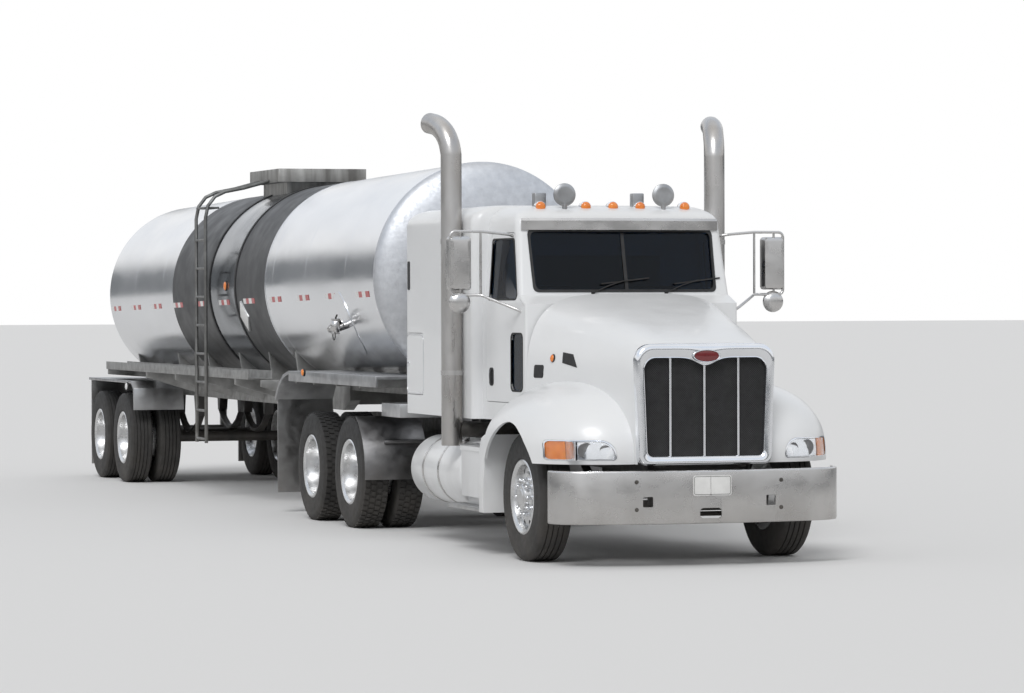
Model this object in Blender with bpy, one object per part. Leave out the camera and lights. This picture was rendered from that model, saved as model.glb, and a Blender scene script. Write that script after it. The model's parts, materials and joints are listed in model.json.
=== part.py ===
"""Articulated tanker truck: a bonneted sleeper tractor coupled to an insulated tank trailer.

Metres. Forward is -Y, the truck's left is +X, +Z is up. Lengths along the truck are
stations, counted rearward from the front axle; the root empty then puts the ground point
below the middle of the overall length at the origin.
"""
import bpy
import bmesh
from math import cos, pi, radians, sin, sqrt
from mathutils import Vector

# Fits and overruns
SEAT_GAP = 0.0003
RUN_GAP = 0.008
OVERRUN = 0.05

# Wheels and axles
TYRE_RADIUS = 0.5175
TYRE_SIDES = 20
STEER_TYRE_WIDTH = 0.285
DUAL_TYRE_WIDTH = 0.268
DUAL_SPACING = 0.33
RIM_RADIUS = 0.286
TREAD_SHOULDER = 0.03
SIDEWALL_DEPTH = 0.11
AXLE_HEIGHT = TYRE_RADIUS * cos(pi / TYRE_SIDES)
STEER_TYRE_X = 1.0225
DUAL_TYRE_FACE_X = 1.215
DUAL_X = DUAL_TYRE_FACE_X - DUAL_TYRE_WIDTH / 2 - DUAL_SPACING / 2
STEER_PIVOT_X = 0.83
DRIVE_AXLE = 4.926
DRIVE_AXLE_SPACING = 1.32
TRAILER_AXLE = 14.576
TRAILER_AXLE_SPACING = 1.25
KINGPIN_LEAD = 0.10
KINGPIN = DRIVE_AXLE + DRIVE_AXLE_SPACING / 2 - KINGPIN_LEAD

# Overall
FRONT_END = -1.19
REAR_END = 16.60
MIRROR_REACH = 1.47

# Tractor frame
RAIL_HALF_WIDTH = 0.43
RAIL_HEIGHT = 0.27
RAIL_FLANGE = 0.085
RAIL_THICKNESS = 0.012
RAIL_TOP = 1.0
RAIL_FRONT = -0.92
RAIL_REAR = 6.95
CROSS_MEMBER_THICKNESS = 0.03

# Hood, hinged low at the front
HOOD_FRONT = -1.02
HOOD_GAP = 0.025
HOOD_BASE = 0.80
HOOD_BASE_REAR = 1.02
HOOD_NOSE_TOP = 1.745
HOOD_RIM_RISE = 0.03
HOOD_NOSE_HALF_WIDTH = 0.56
HOOD_REAR_HALF_WIDTH = 0.93
HOOD_SKIN = 0.022
HOOD_HINGE_STATION = -0.975
HOOD_HINGE_HEIGHT = 0.80
FENDER_HALF_WIDTH = 1.315
FENDER_INNER_X = 0.45
FENDER_CREST = 1.45
FENDER_CREST_STATION = 0.05
FENDER_REACH_REAR = 0.86
FENDER_TAPER = 0.03
ARCH_RADIUS = 0.60
LAMP_INNER_X = 0.70
LAMP_OUTER_X = 1.19
LAMP_BOTTOM = 0.83
LAMP_TOP = 0.99
LAMP_CORNER = 0.03
LAMP_SWEEP = 0.125
LAMP_DEPTH = 0.40

# Grille
SURROUND_TOP = 1.735
SURROUND_BOTTOM = 0.79
SURROUND_HALF_TOP = 0.578
SURROUND_HALF_BOTTOM = 0.553
SURROUND_BAND = 0.072
SURROUND_CORNER = 0.13
SURROUND_FRONT = -1.10
GRILLE_BAR_SPACING = 0.283
GRILLE_BAR_WIDTH = 0.022
GRILLE_PLATE = 0.012

# Bumper
BUMPER_TOP = 0.755
BUMPER_BOTTOM = 0.34
BUMPER_HALF_WIDTH = 1.20
BUMPER_SHEET = 0.012
BUMPER_FLANGE = 0.03
BUMPER_WRAP = 0.41

# Cab and sleeper, heights stacked from the cab's floor
CAB_FRONT = 0.60
CAB_REAR = 1.50
CAB_FLOOR = 1.09
CAB_HALF_FRONT = 0.92
CAB_HALF_REAR = 1.0
CAB_WALL = 0.05
CAB_EDGE = 0.02
CAB_CORNER = 0.06
COWL_RISE = 1.01
COWL_HEIGHT = CAB_FLOOR + COWL_RISE
COWL_ROUND = 0.05
COWL_STEP = 0.02
SCREEN_SETBACK = 0.165
SCREEN_FOOT = CAB_FRONT + SCREEN_SETBACK
SCREEN_LEAN = 0.15
SCREEN_HEAD = SCREEN_FOOT + SCREEN_LEAN
SCREEN_RISE = 0.58
SCREEN_HEAD_HEIGHT = COWL_HEIGHT + SCREEN_RISE
SCREEN_BOW = 0.05
SCREEN_RIM_BOTTOM = 0.05
SCREEN_RIM_TOP = 0.03
SCREEN_TAPER = 0.01
TUMBLEHOME = 0.06
ROOF_RISE = 0.18
CAB_ROOF = SCREEN_HEAD_HEIGHT + ROOF_RISE
ROOF_REACH = 0.34
ROOF_INSET = 0.24
DOOR_INSET = 0.02
DOOR_FRONT = CAB_FRONT + DOOR_INSET
DOOR_POST = 0.07
DOOR_REAR = CAB_REAR - DOOR_POST
DOOR_SILL = 0.15
DOOR_BOTTOM = CAB_FLOOR + DOOR_SILL
DOOR_HEADER = 0.05
DOOR_TOP = SCREEN_HEAD_HEIGHT - DOOR_HEADER
DOOR_FLANGE = 0.11
GLASS = 0.006
SLEEPER_REAR = 3.50
SLEEPER_HALF_WIDTH = 1.085
SLEEPER_RISE = 0.01
SLEEPER_ROOF = CAB_ROOF + SLEEPER_RISE
SLEEPER_EDGE = 0.17
SLEEPER_CROWN = 0.26
SLEEPER_CORNER = 0.08
LOCKER_POST = 0.05
LOCKER_LENGTH = 0.52
LOCKER_REAR = SLEEPER_REAR - LOCKER_POST
LOCKER_FRONT = LOCKER_REAR - LOCKER_LENGTH
LOCKER_SILL = 0.17
LOCKER_HEIGHT = 0.53
LOCKER_BOTTOM = CAB_FLOOR + LOCKER_SILL
LOCKER_TOP = LOCKER_BOTTOM + LOCKER_HEIGHT
LOCKER_CORNER = 0.06
HOOD_REAR = CAB_FRONT - HOOD_GAP
HOOD_REAR_TOP = COWL_HEIGHT + HOOD_RIM_RISE

# Side equipment of the tractor
FUEL_TANK_RADIUS = 0.29
FUEL_TANK_X = 0.865
FUEL_TANK_HEIGHT = 0.62
FUEL_TANK_FRONT = 1.64
FUEL_TANK_REAR = 3.13
STEP_FRONT = 0.80
STEP_REAR = 1.60
STEP_BOX_BOTTOM = 0.45
STEP_BOX_TOP = 0.88
STEP_OUTER_X = 1.16
STACK_X = 1.18
STACK_STATION = 1.80
STACK_RADIUS = 0.088
STACK_WALL = 0.006
STACK_FOOT = 0.86
STACK_BEND = 3.30
STACK_BORE = 0.50
STACK_TIP_RUN = 0.32
STACK_TIP_LEAN = 0.09
STACK_TIP_RISE = 0.275
STACK_STAY_WIDTH = 0.04

# Tank
TANK_FRONT = 4.61
TANK_REAR = 15.96
TANK_RADIUS = 1.045
TANK_FRONT_BELLY = 1.255
TANK_REAR_BELLY = 1.10
TANK_FRONT_AXIS = TANK_FRONT_BELLY + TANK_RADIUS
TANK_REAR_AXIS = TANK_REAR_BELLY + TANK_RADIUS
TANK_SIDES = 36
HEAD_BULGE = 0.21
RIM_LIP = 0.035

# Trailer frame
COUPLER_BOTTOM = 1.20
FIFTH_WHEEL_RADIUS = 0.457
KINGPIN_RADIUS = 0.0445
BEAM_X = 0.47
BEAM_WIDTH = 0.11
BEAM_BOTTOM = 1.00
BEAM_FRONT = 7.30
BEAM_REAR = 16.25
FENDER_PLATE_BOTTOM = 1.37
FENDER_PLATE = 0.03
FENDER_OUTER_X = 1.20

# Small sizes of the tractor's pieces
TOW_HOLE = 0.08
TOW_HOLE_X = 0.51
TOW_HOLE_Z = 0.514
CENTRE_HOLE_WIDTH = 0.18
CENTRE_HOLE_HEIGHT = 0.08
CENTRE_HOLE_Z = 0.422
ARM_X = 0.375
ARM_WIDTH = 0.05
ARM_BOTTOM = 0.42
ARM_TOP = 0.66
CROSS_MEMBER_SHARES = (0.22, 0.42, 0.58, 0.72, 0.83, 0.97)
HINGE_LUG_RADIUS = 0.03
HINGE_LUG_X = 0.34
HINGE_LUG_WIDTH = 0.03
CAB_MOUNT_STATIONS = (0.72, 1.38, 1.75, 3.30)
LEAF_THICKNESS = 0.016
LEAF_WIDTH = 0.075
FRONT_SPRING_HALF = 0.66
DRIVE_SPRING_HALF = 0.55
TRAILER_SPRING_HALF = 0.52
HANGER_BOTTOM = 0.80
HANGER_LIP = 0.03
HANGER_FOOT = 0.08
HANGER_FLARE = 0.04
HANGER_FLARE_WIDE = 0.06
HANGER_MIDDLE_LAP = 0.05
HANGER_MIDDLE_HALF = 0.20
HANGER_OVERLAP = 0.02
AXLE_BEAM_DEPTH = 0.09
AXLE_BEAM_DROP = 0.09
KNUCKLE_HALF_GAP = 0.058
KNUCKLE_BOSS = 0.055
KNUCKLE_PLATE = 0.045
STEER_HUB_FACE = 0.955
STEER_ARM_LENGTH = 0.22
STEER_ARM_INSET = 0.04
TIE_ROD_RADIUS = 0.025
DRUM_RADIUS = 0.20
DRUM_OFFSET = 0.06
BEAD_INSET = 0.03
BEAD_SEAT = 0.008
RIM_FLANGE = 0.006
RIM_EDGE = 0.02
RIM_WELL = 0.045
WHEEL_SHELF = 0.055
WHEEL_FACE = 0.085
WHEEL_FACE_RADIUS = 0.185
WHEEL_HUB_FOOT = 0.105
WHEEL_HUB_END = 0.15
WHEEL_HUB_RADIUS = 0.085
HAND_HOLES = 10
HAND_HOLE_CIRCLE = 0.213
HAND_HOLE_RADIUS = 0.021
HUB_RADIUS = 0.12
DUAL_DISC = 0.03
DUAL_DISC_RADIUS = 0.235
DUAL_HUB_REACH = 0.17
DUAL_VALLEY = 0.04
BRAKE_FLANGE = 0.03
AXLE_TUBE = 0.065
AXLE_BOWL = 0.20
ENGINE_HALF_WIDTH = 0.31
ENGINE_FRONT = -0.62
ENGINE_REAR = 0.50
ENGINE_BOTTOM = 0.66
ENGINE_TOP = 1.42
DOOR_PILLAR = 0.035
WINDOW_FRAME = 0.03
WINDOW_SILL_DROP = 0.01
WINDOW_SILL = COWL_HEIGHT - WINDOW_SILL_DROP
WINDOW_HEAD_DROP = 0.055
WINDOW_HEAD = DOOR_TOP - WINDOW_HEAD_DROP
SCREEN_HALF_WIDTH = 0.79
PASSAGE_HALF_WIDTH = 0.55
PASSAGE_DROP = 0.23
PASSAGE_TOP = SCREEN_HEAD_HEIGHT - PASSAGE_DROP
MARKER_LAMP_X = (-0.634, -0.239, 0, 0.239, 0.634)
HORN_SHIELD_X = 0.434
HORN_SHIELD_STATION = 1.04
HORN_SHIELD_RADIUS = 0.095
HORN_SHIELD_DEPTH = 0.05
HORN_POST_RADIUS = 0.02
HORN_POST_HEIGHT = 0.04
HORN_POST_DROP = 0.08
MARKER_LAMP_RADIUS = 0.045
MARKER_LAMP_LENGTH = 0.12
MARKER_LAMP_SETBACK = 0.12
MARKER_LAMP_SINK = 0.01
GLASS_INSET = 0.015
VISOR_HALF = 0.86
VISOR_REACH = 0.11
VISOR_BOW = 0.09
VISOR_SHEET = 0.012
VISOR_DROP = 0.03
VISOR_RISE = 0.07
VISOR_BRACKET = 0.03
PEEP_OFFSET = 0.05
PEEP_WIDTH = 0.23
PEEP_CORNER = 0.05
PEEP_SHARES = (0.116, 0.651)
MIRROR_STATION = 0.90
MIRROR_HEAD_WIDTH = 0.19
MIRROR_HEAD_DEPTH = 0.10
MIRROR_HEAD_OFFSET = 0.06
MIRROR_HEAD_HEIGHT = 0.44
MIRROR_HEAD_BOTTOM = COWL_HEIGHT + MIRROR_HEAD_OFFSET
MIRROR_HEAD_TOP = MIRROR_HEAD_BOTTOM + MIRROR_HEAD_HEIGHT
MIRROR_HEAD_CORNER = 0.03
MIRROR_HEAD_SPACE = 0.04
MIRROR_TUBE = 0.012
MIRROR_INNER_X = 1.20
MIRROR_ROUND_RADIUS = 0.09
MIRROR_ROUND_DEPTH = 0.05
MIRROR_ROUND_DROP = 0.10
MIRROR_LOW_FOOT = 0.70
MIRROR_LOW_DROP = 0.12
MIRROR_HIGH_FOOT = 0.99
DRIVER_X = 0.46
DASH_INSET = 0.02
DASH_DEPTH = 0.30
DASH_STAND = 0.30
STEERING_RADIUS = 0.243
STEERING_RIM = 0.028
STEERING_REACH = 0.12
STEERING_DROP = 0.14
STEERING_SPOKE = 0.04
STEERING_COLUMN = 0.30
SEAT_STATION = 0.98
SEAT_WIDTH = 0.48
SEAT_DEPTH = 0.42
SEAT_CUSHION = 0.12
SEAT_BASE = 0.35
SEAT_BACK_HEIGHT = 0.70
SEAT_BACK_THICKNESS = 0.11
SEAT_BACK_LEAN = 0.05
SEAT_PEDESTAL = 0.24
FLOOR_MAT = 0.02
FUEL_STRAP_SHARES = (0.42, 0.72)
STRAP_WIDTH = 0.04
STRAP_RISE = 0.006
FUEL_TANK_EDGE = 0.04
FUEL_BRACKET_DEPTH = 0.09
FUEL_BRACKET_INSET = 0.01
STEP_INNER_X = 0.62
STEP_TREAD = 0.06
STEP_TREAD_DEPTH = 0.10
STEP_TREAD_Z = 0.38
STEP_TREAD_SHEET = 0.03
STEP_TREAD_OVERHANG = 0.20
STEP_HANGER = 0.04
STEP_LID = 0.05
STEP_LID_RIM = 0.01
STEP_BRACKET = 0.06
STEP_BRACKET_INSET = 0.10
TAIL_WIDTH = 0.33
TAIL_INSET = 0.04
TAIL_STRUT = 0.12
TAIL_SHOULDER = 0.14
TAIL_SHOULDER_DROP = 0.03
TAIL_SHOULDER_RUN = 0.06
TAIL_RADIUS = 0.645
TAIL_GAP = 0.028
TAIL_REAR = 0.75
TAIL_TOP = 0.99
BRANCH_HEIGHT = 0.99
BRANCH_RADIUS = 0.06
STACK_STAYS = (1.45, 2.55)
DECK_HALF_WIDTH = 1.10
DECK_FRONT = 3.62
DECK_REAR = 4.20
DECK_TOP = 1.16
DECK_DEPTH = 0.12
DECK_FOOT_INSET = 0.02
QUARTER_RADIUS = 0.585
QUARTER_SHEET = 0.008
QUARTER_BOTTOM = 0.46
QUARTER_WIDTH = 0.59
QUARTER_BAR = 0.022
QUARTER_BAR_HEIGHT = 0.80
QUARTER_BAR_INSET = 0.20
FIFTH_WHEEL_PLATE = 0.05
FIFTH_WHEEL_LEG_HALF = 0.26
FIFTH_WHEEL_LEG_TOP = 0.14
FIFTH_WHEEL_LEG_WIDTH = 0.055
KINGPIN_PLAY = 0.002

# Small sizes of the trailer's pieces
HOOP_SHARES = (0.46, 0.56)
HOOP_WIDTH = 0.05
HOOP_RISE = 0.012
MANHOLE_STATION = 10.83
MANHOLE_RADIUS = 0.26
COLLAR_RISE = 0.05
LID_OVERHANG = 0.02
LID_HEIGHT = 0.08
LID_TONGUE = 0.12
LID_HINGE_REACH = 0.05
LID_HINGE_RISE = 0.015
COUPLER_HALF = 0.50
KINGPIN_DROP = 0.08
COUPLER_PLATE = 0.03
COUPLER_INSET = 0.10
COUPLER_LAP = 0.20
COUPLER_WEB = 0.08
COUPLER_WEB_HEIGHT = 0.35
BEAM_HEIGHT = 0.45
BEAM_NOSE_RISE = 0.10
BEAM_NOSE_RUN = 0.25
CROSS_SHEET = 0.04
OUTRIGGER_DEPTH = 0.09
OUTRIGGER_INSET = 0.05
SADDLE_FOOT_RISE = 0.03
SADDLE_DEPTH = 0.06
SADDLE_LAP = 0.005
COUPLER_OUTRIGGERS = (4.75, 5.55, 6.35, 7.0)
SADDLE_SHARES = (0.12, 0.24, 0.38, 0.54, 0.70, 0.927)
TRAY_OVERHANG = 0.105
TRAY_X = TANK_RADIUS + TRAY_OVERHANG
TRAY_WIDTH = 0.26
TRAY_SHEET = 0.01
TRAY_BOTTOM = 1.28
TRAY_HEIGHT = 0.09
TRAY_FRONT = 8.9
TRAY_REAR = 15.7
GUARD_HEIGHT = 0.48
GUARD_HALF = 1.05
GUARD_BAR = 0.10
GUARD_ARM = 0.08
GUARD_ARM_DEPTH = 0.10
GUARD_POST = 0.07
GUARD_SETBACK = 0.02
PANEL_SETBACK = 0.03
PANEL_SHEET = 0.03
PANEL_HEIGHT = 0.16
FENDER_FRONT = 4.05
FENDER_TURN = 7.10
FENDER_REAR = 7.64
FENDER_TURN_DROP = 0.24
FENDER_SKIRT = 0.07
FENDER_SKIRT_SHEET = 0.02
FLAP_SHEET = 0.015
FLAP_SETBACK = 0.035
FLAP_INSET = 0.02
FENDER_INSIDE_X = 0.62
FLAP_BOTTOM = 0.20
REAR_FLAP_DROP = 0.06
REAR_FENDER_TOP = 1.17
REAR_FENDER_FRONT = 13.98
REAR_FENDER_REAR = 16.45
REAR_FENDER_LIP = 0.84
REAR_FENDER_NOSE = 0.16
REAR_FENDER_ARM = 0.06
REAR_FENDER_ARM_SHARES = (0.2, 0.52, 0.9)
LADDER_STATION = 10.83
LADDER_WIDTH = 0.42
LADDER_FOOT = 0.58
LADDER_TUBE = 0.019
LADDER_X = TRAY_X + LADDER_TUBE + SEAT_GAP
RUNG_PITCH = 0.30
RUNG_OFFSET = 0.04
LADDER_BEND_DROP = 0.31
LADDER_TOP_RISE = 0.085
LADDER_PLATE_DROP = 0.21
LADDER_PLATE_WIDTH = 0.15
LADDER_PLATE = 0.02
SPILL_HALF = 0.475
SPILL_LENGTH = 1.24
SPILL_RISE = 0.065
SPILL_HEIGHT = 0.14
SPILL_WALL = 0.02
SPILL_FLOOR = 0.012
COAMING_INSET = 0.12
COAMING_WALL = 0.02
COAMING_DROP = 0.25
LEG = 0.13
LEG_X = BEAM_X + BEAM_WIDTH / 2 + SEAT_GAP + LEG / 2
LEG_STATION = 8.25
LEG_BOTTOM = 0.36
LEG_TOP = 1.20
LEG_SLEEVE = 0.12
LEG_INNER_LAP = 0.20
LEG_SHOE = 0.02
LEG_SHAFT_HEIGHT = 0.80
LEG_SHAFT_RADIUS = 0.02
OUTLET_STATION = 5.90
OUTLET_DROP = 0.42
OUTLET_PAD_HALF_LENGTH = 0.24
OUTLET_PAD_HALF_HEIGHT = 0.30
OUTLET_PAD_FACE_SHARE = 0.985
OUTLET_PAD_DEPTH = 0.43
OUTLET_STUB_RADIUS = 0.035
OUTLET_STUB_REACH = 0.135
OUTLET_STUB_OFFSET = 0.08
OUTLET_VALVE_RADIUS = 0.05
OUTLET_VALVE_HEIGHT = 0.15
OUTLET_NOZZLE_RADIUS = 0.03
OUTLET_NOZZLE_LENGTH = 0.21

COLOURS = {
    # name: (red, green, blue, metallic, roughness)
    "white_paint": (0.86, 0.87, 0.88, 0.0, 0.30),
    "chrome": (0.82, 0.83, 0.85, 1.0, 0.10),
    "polished_steel": (0.66, 0.66, 0.67, 1.0, 0.28),
    "aluminium": (0.60, 0.61, 0.62, 1.0, 0.35),
    "frame_black": (0.03, 0.03, 0.032, 0.2, 0.55),
    "trailer_grey": (0.33, 0.33, 0.33, 0.6, 0.5),
    "tank_steel": (0.72, 0.73, 0.75, 1.0, 0.25),
    "rubber": (0.02, 0.02, 0.02, 0.0, 0.8),
    "glass": (0.05, 0.06, 0.07, 0.0, 0.08),
    "lamp_clear": (0.75, 0.76, 0.78, 0.3, 0.15),
    "cast_iron": (0.08, 0.08, 0.08, 0.4, 0.6),
    "trim_dark": (0.05, 0.05, 0.05, 0.0, 0.6),
}


def clear_scene():
    for item in list(bpy.data.objects):
        bpy.data.objects.remove(item, do_unlink=True)


def make_material(name):
    red, green, blue, metallic, roughness = COLOURS[name]
    material = bpy.data.materials.get(name) or bpy.data.materials.new(name)
    material.use_nodes = True
    shader = material.node_tree.nodes["Principled BSDF"]
    shader.inputs["Base Color"].default_value = (red, green, blue, 1)
    shader.inputs["Metallic"].default_value = metallic
    shader.inputs["Roughness"].default_value = roughness
    material.diffuse_color = (red, green, blue, 1)
    return material


# Closed solids, each a list of points and a list of faces

def loft(rings):
    """Skin equal rings of points one after the other and close both ends."""
    count = len(rings[0])
    points = [Vector(point) for ring in rings for point in ring]
    faces = []
    for row in range(len(rings) - 1):
        for column in range(count):
            after = (column + 1) % count
            faces.append([row * count + column, row * count + after,
                          (row + 1) * count + after, (row + 1) * count + column])
    faces.append(list(range(count))[::-1])
    faces.append([(len(rings) - 1) * count + column for column in range(count)])
    return points, faces


def box(x, y, z):
    return loft([[(x[0], y[0], level), (x[1], y[0], level), (x[1], y[1], level), (x[0], y[1], level)]
                 for level in z])


def prism(outline, axis, span):
    """Extrude an outline along X (y, z points), Y (x, z points) or Z (x, y points)."""
    place = {"X": lambda a, b, along: (along, a, b),
             "Y": lambda a, b, along: (a, along, b),
             "Z": lambda a, b, along: (a, b, along)}[axis]
    return loft([[place(a, b, along) for a, b in outline] for along in span])


def frame_along(direction):
    """Two unit vectors square to a direction, the second one leaning to +Z or +Y."""
    direction = direction.normalized()
    helper = Vector((0, 0, 1)) if abs(direction.z) < 0.9 else Vector((0, 1, 0))
    side = direction.cross(helper).normalized()
    return side, side.cross(direction).normalized()


def turned(profile, sides, centre, direction, closed=False, turn=None):
    """Revolve (along, radius) points; a closed profile makes a ring, an open one a solid."""
    direction = Vector(direction).normalized()
    side, up = frame_along(direction)
    start = pi / sides if turn is None else turn
    centre = Vector(centre)
    points, rows = [], []
    for along, radius in profile:
        middle = centre + direction * along
        if radius == 0:
            rows.append([len(points)] * sides)
            points.append(middle)
            continue
        rows.append(list(range(len(points), len(points) + sides)))
        for step in range(sides):
            angle = start + 2 * pi * step / sides - pi / 2
            points.append(middle + (side * cos(angle) + up * sin(angle)) * radius)
    pairs = list(zip(rows, rows[1:] + rows[:1])) if closed else list(zip(rows, rows[1:]))
    faces = []
    for low, high in pairs:
        for step in range(sides):
            after = (step + 1) % sides
            corners = [low[step], low[after], high[after], high[step]]
            face = [corner for index, corner in enumerate(corners) if corner != corners[index - 1]]
            if len(face) > 2:
                faces.append(face)
    if not closed:
        if profile[0][1] != 0:
            faces.append(rows[0][::-1])
        if profile[-1][1] != 0:
            faces.append(rows[-1])
    return points, faces


def cylinder(start, end, radius, sides, turn=None):
    start, end = Vector(start), Vector(end)
    return turned([(0, radius), ((end - start).length, radius)], sides, start, end - start, turn=turn)


def tube(path, radius, sides):
    """A round bar along a path of points, with flat ends."""
    path = [Vector(point) for point in path]
    rings = []
    side, up = frame_along(path[1] - path[0])
    for index, point in enumerate(path):
        before = path[max(index - 1, 0)]
        after = path[min(index + 1, len(path) - 1)]
        tangent = (after - before).normalized()
        side = (side - tangent * side.dot(tangent)).normalized()
        up = side.cross(tangent).normalized()
        rings.append([point + (side * cos(2 * pi * step / sides) + up * sin(2 * pi * step / sides)) * radius
                      for step in range(sides)])
    return loft(rings)


def arc(centre, radius, start, end, steps):
    """Points on a circle between two angles in degrees."""
    return [(centre[0] + radius * cos(radians(start + (end - start) * step / steps)),
             centre[1] + radius * sin(radians(start + (end - start) * step / steps)))
            for step in range(steps + 1)]


def rounded(low, high, radius, steps=3):
    """A rectangle outline from its low corner to its high corner, with round corners."""
    (a0, b0), (a1, b1) = low, high
    return (arc((a1 - radius, b0 + radius), radius, -90, 0, steps)
            + arc((a1 - radius, b1 - radius), radius, 0, 90, steps)
            + arc((a0 + radius, b1 - radius), radius, 90, 180, steps)
            + arc((a0 + radius, b0 + radius), radius, 180, 270, steps))


def mirrored(solid):
    points, faces = solid
    return [Vector((-point.x, point.y, point.z)) for point in points], [face[::-1] for face in faces]


def sided(solid, side):
    """The solid as drawn for the truck's left, or its mirror image for the right."""
    return solid if side > 0 else mirrored(solid)


def mesh_of(name, solids, origin):
    bm = bmesh.new()
    for points, faces in solids:
        vertices = [bm.verts.new(Vector(point) - Vector(origin)) for point in points]
        for face in faces:
            bm.faces.new([vertices[index] for index in face])
    bmesh.ops.recalc_face_normals(bm, faces=bm.faces)
    mesh = bpy.data.meshes.new(name)
    bm.to_mesh(mesh)
    bm.free()
    return mesh


def boolean(target, operation, solids, origin, parent, label):
    helper = bpy.data.objects.new(f"{target.name}.{label}",
                                  mesh_of(f"{target.name}.{label}", solids, origin))
    bpy.context.scene.collection.objects.link(helper)
    helper.hide_render = True
    helper.display_type = "WIRE"
    helper.parent = parent
    modifier = target.modifiers.new(label, "BOOLEAN")
    modifier.operation = operation
    modifier.solver = "EXACT"
    modifier.use_self = len(solids) > 1
    modifier.object = helper


def node(name, material, joint, solids, cut=(), within=(), sharp=30):
    """One named sub-part: solids joined, limited to what lies within, then cut."""
    origin = joint["station"]
    target = bpy.data.objects.new(name, mesh_of(name, solids[:1], origin))
    bpy.context.scene.collection.objects.link(target)
    target.parent = joint["empty"]
    if len(solids) > 1:
        boolean(target, "UNION", solids[1:], origin, joint["empty"], "joined")
    if within:
        boolean(target, "INTERSECT", list(within), origin, joint["empty"], "limit")
    if cut:
        boolean(target, "DIFFERENCE", list(cut), origin, joint["empty"], "cuts")
    target.data.materials.append(make_material(material))
    target.data.shade_smooth()
    target.data.set_sharp_from_angle(angle=radians(sharp))
    return target


def joint_at(name, station, parent=None):
    """An empty on a joint's axis; its station is kept beside it."""
    empty = bpy.data.objects.new(name, None)
    bpy.context.scene.collection.objects.link(empty)
    if parent is None:
        middle = (FRONT_END + REAR_END) / 2
        empty.location = Vector(station) - Vector((0, middle, 0))
    else:
        empty.parent = parent["empty"]
        empty.location = Vector(station) - Vector(parent["station"])
    return {"empty": empty, "station": station}


# Shared forms

def superellipse(half_width, base, top, power, steps, inner=0):
    """The upper half of a squarish oval from +X over the top to -X, closed along its base."""
    points = []
    for step in range(steps + 1):
        angle = pi * step / steps
        across = abs(cos(angle)) ** (2 / power) * (1 if cos(angle) >= 0 else -1)
        points.append((across * (half_width - inner),
                       base + (top - inner - base) * abs(sin(angle)) ** (2 / power)))
    return points


def hood_body(inner):
    """The middle of the hood, from the grille plane back to the cowl."""
    # columns: share of the hood's length, power of the section's oval
    section_shares = ((0, 7), (0.2, 6), (0.45, 5), (0.75, 4.4), (1, 4.2))
    overrun = OVERRUN if inner else 0
    rings = []
    for share, power in section_shares:
        station = HOOD_FRONT + (HOOD_REAR - HOOD_FRONT) * share
        station += overrun * (1 if share == 1 else -1 if share == 0 else 0)
        width = HOOD_NOSE_HALF_WIDTH + (HOOD_REAR_HALF_WIDTH - HOOD_NOSE_HALF_WIDTH) * share
        top = HOOD_NOSE_TOP + (HOOD_REAR_TOP - HOOD_NOSE_TOP) * share ** 0.85
        base = HOOD_BASE + (HOOD_BASE_REAR - HOOD_BASE) * share
        outline = superellipse(width, base, top, power, 16, inner)
        if inner:
            outline = [(outline[0][0], base - OVERRUN)] + outline + [(outline[-1][0], base - OVERRUN)]
        rings.append([(x, station, z) for x, z in outline])
    return loft(rings)


def fender_width(share):
    return FENDER_INNER_X + (FENDER_HALF_WIDTH - FENDER_INNER_X) * (1 - share ** 2.6) ** (1 / 2.6)


def fender_body(inner):
    """The left fender: an oval crest over the wheel that runs out into the lamp nose."""
    front = HOOD_FRONT + HOOD_SKIN / 2
    # shares of the run from the crest forward, then of the run from the crest back
    ahead_shares, behind_shares = (0.985, 0.94, 0.86, 0.74, 0.55, 0.3, 0), (0.4, 0.75, 1)
    stations = [FENDER_CREST_STATION + (front - FENDER_CREST_STATION) * share for share in ahead_shares]
    stations += [FENDER_CREST_STATION + (HOOD_REAR - FENDER_CREST_STATION) * share for share in behind_shares]
    rings = []
    for index, station in enumerate(stations):
        ahead = station < FENDER_CREST_STATION
        reach = FENDER_CREST_STATION - front if ahead else FENDER_REACH_REAR
        share = abs(station - FENDER_CREST_STATION) / reach
        top = HOOD_BASE + (FENDER_CREST - HOOD_BASE) * (1 - share ** 2.4) ** (1 / 2.4)
        width = fender_width(share) if ahead else FENDER_HALF_WIDTH - FENDER_TAPER * share
        place = station
        if inner and index == 0:
            place += inner
        if inner and index == len(stations) - 1:
            place += OVERRUN
        outline = [(FENDER_INNER_X - (OVERRUN if inner else 0), HOOD_BASE)]
        for step in range(9):
            angle = pi / 2 * step / 8
            outline.append((FENDER_INNER_X + (width - inner - FENDER_INNER_X) * sin(angle) ** (2 / 2.6),
                            HOOD_BASE + max(top - inner - HOOD_BASE, inner) * cos(angle) ** (2 / 2.6)))
        if inner:
            outline = [(x, z if z > HOOD_BASE else HOOD_BASE - OVERRUN) for x, z in outline]
            outline[1] = (outline[0][0], outline[1][1])
        rings.append([(x, place, z) for x, z in outline])
    return loft(rings)


def lamp_outline(grow):
    """The lamp seen from the front: square at its outer end, swept down at its inner end."""
    inner, outer, low, high = LAMP_INNER_X - grow, LAMP_OUTER_X + grow, LAMP_BOTTOM - grow, LAMP_TOP + grow
    corner, sweep = LAMP_CORNER, LAMP_SWEEP
    return (arc((outer - corner, low + corner), corner, -90, 0, 3) + arc((outer - corner, high - corner),
                                                                         corner, 0, 90, 3)
            + arc((inner + sweep, high - sweep), sweep, 90, 180, 5)
            + arc((inner + corner, low + corner), corner, 180, 270, 3))


def lamp_prism(grow):
    return prism(lamp_outline(grow), "Y", (HOOD_FRONT - OVERRUN, HOOD_FRONT + LAMP_DEPTH + grow))


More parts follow.
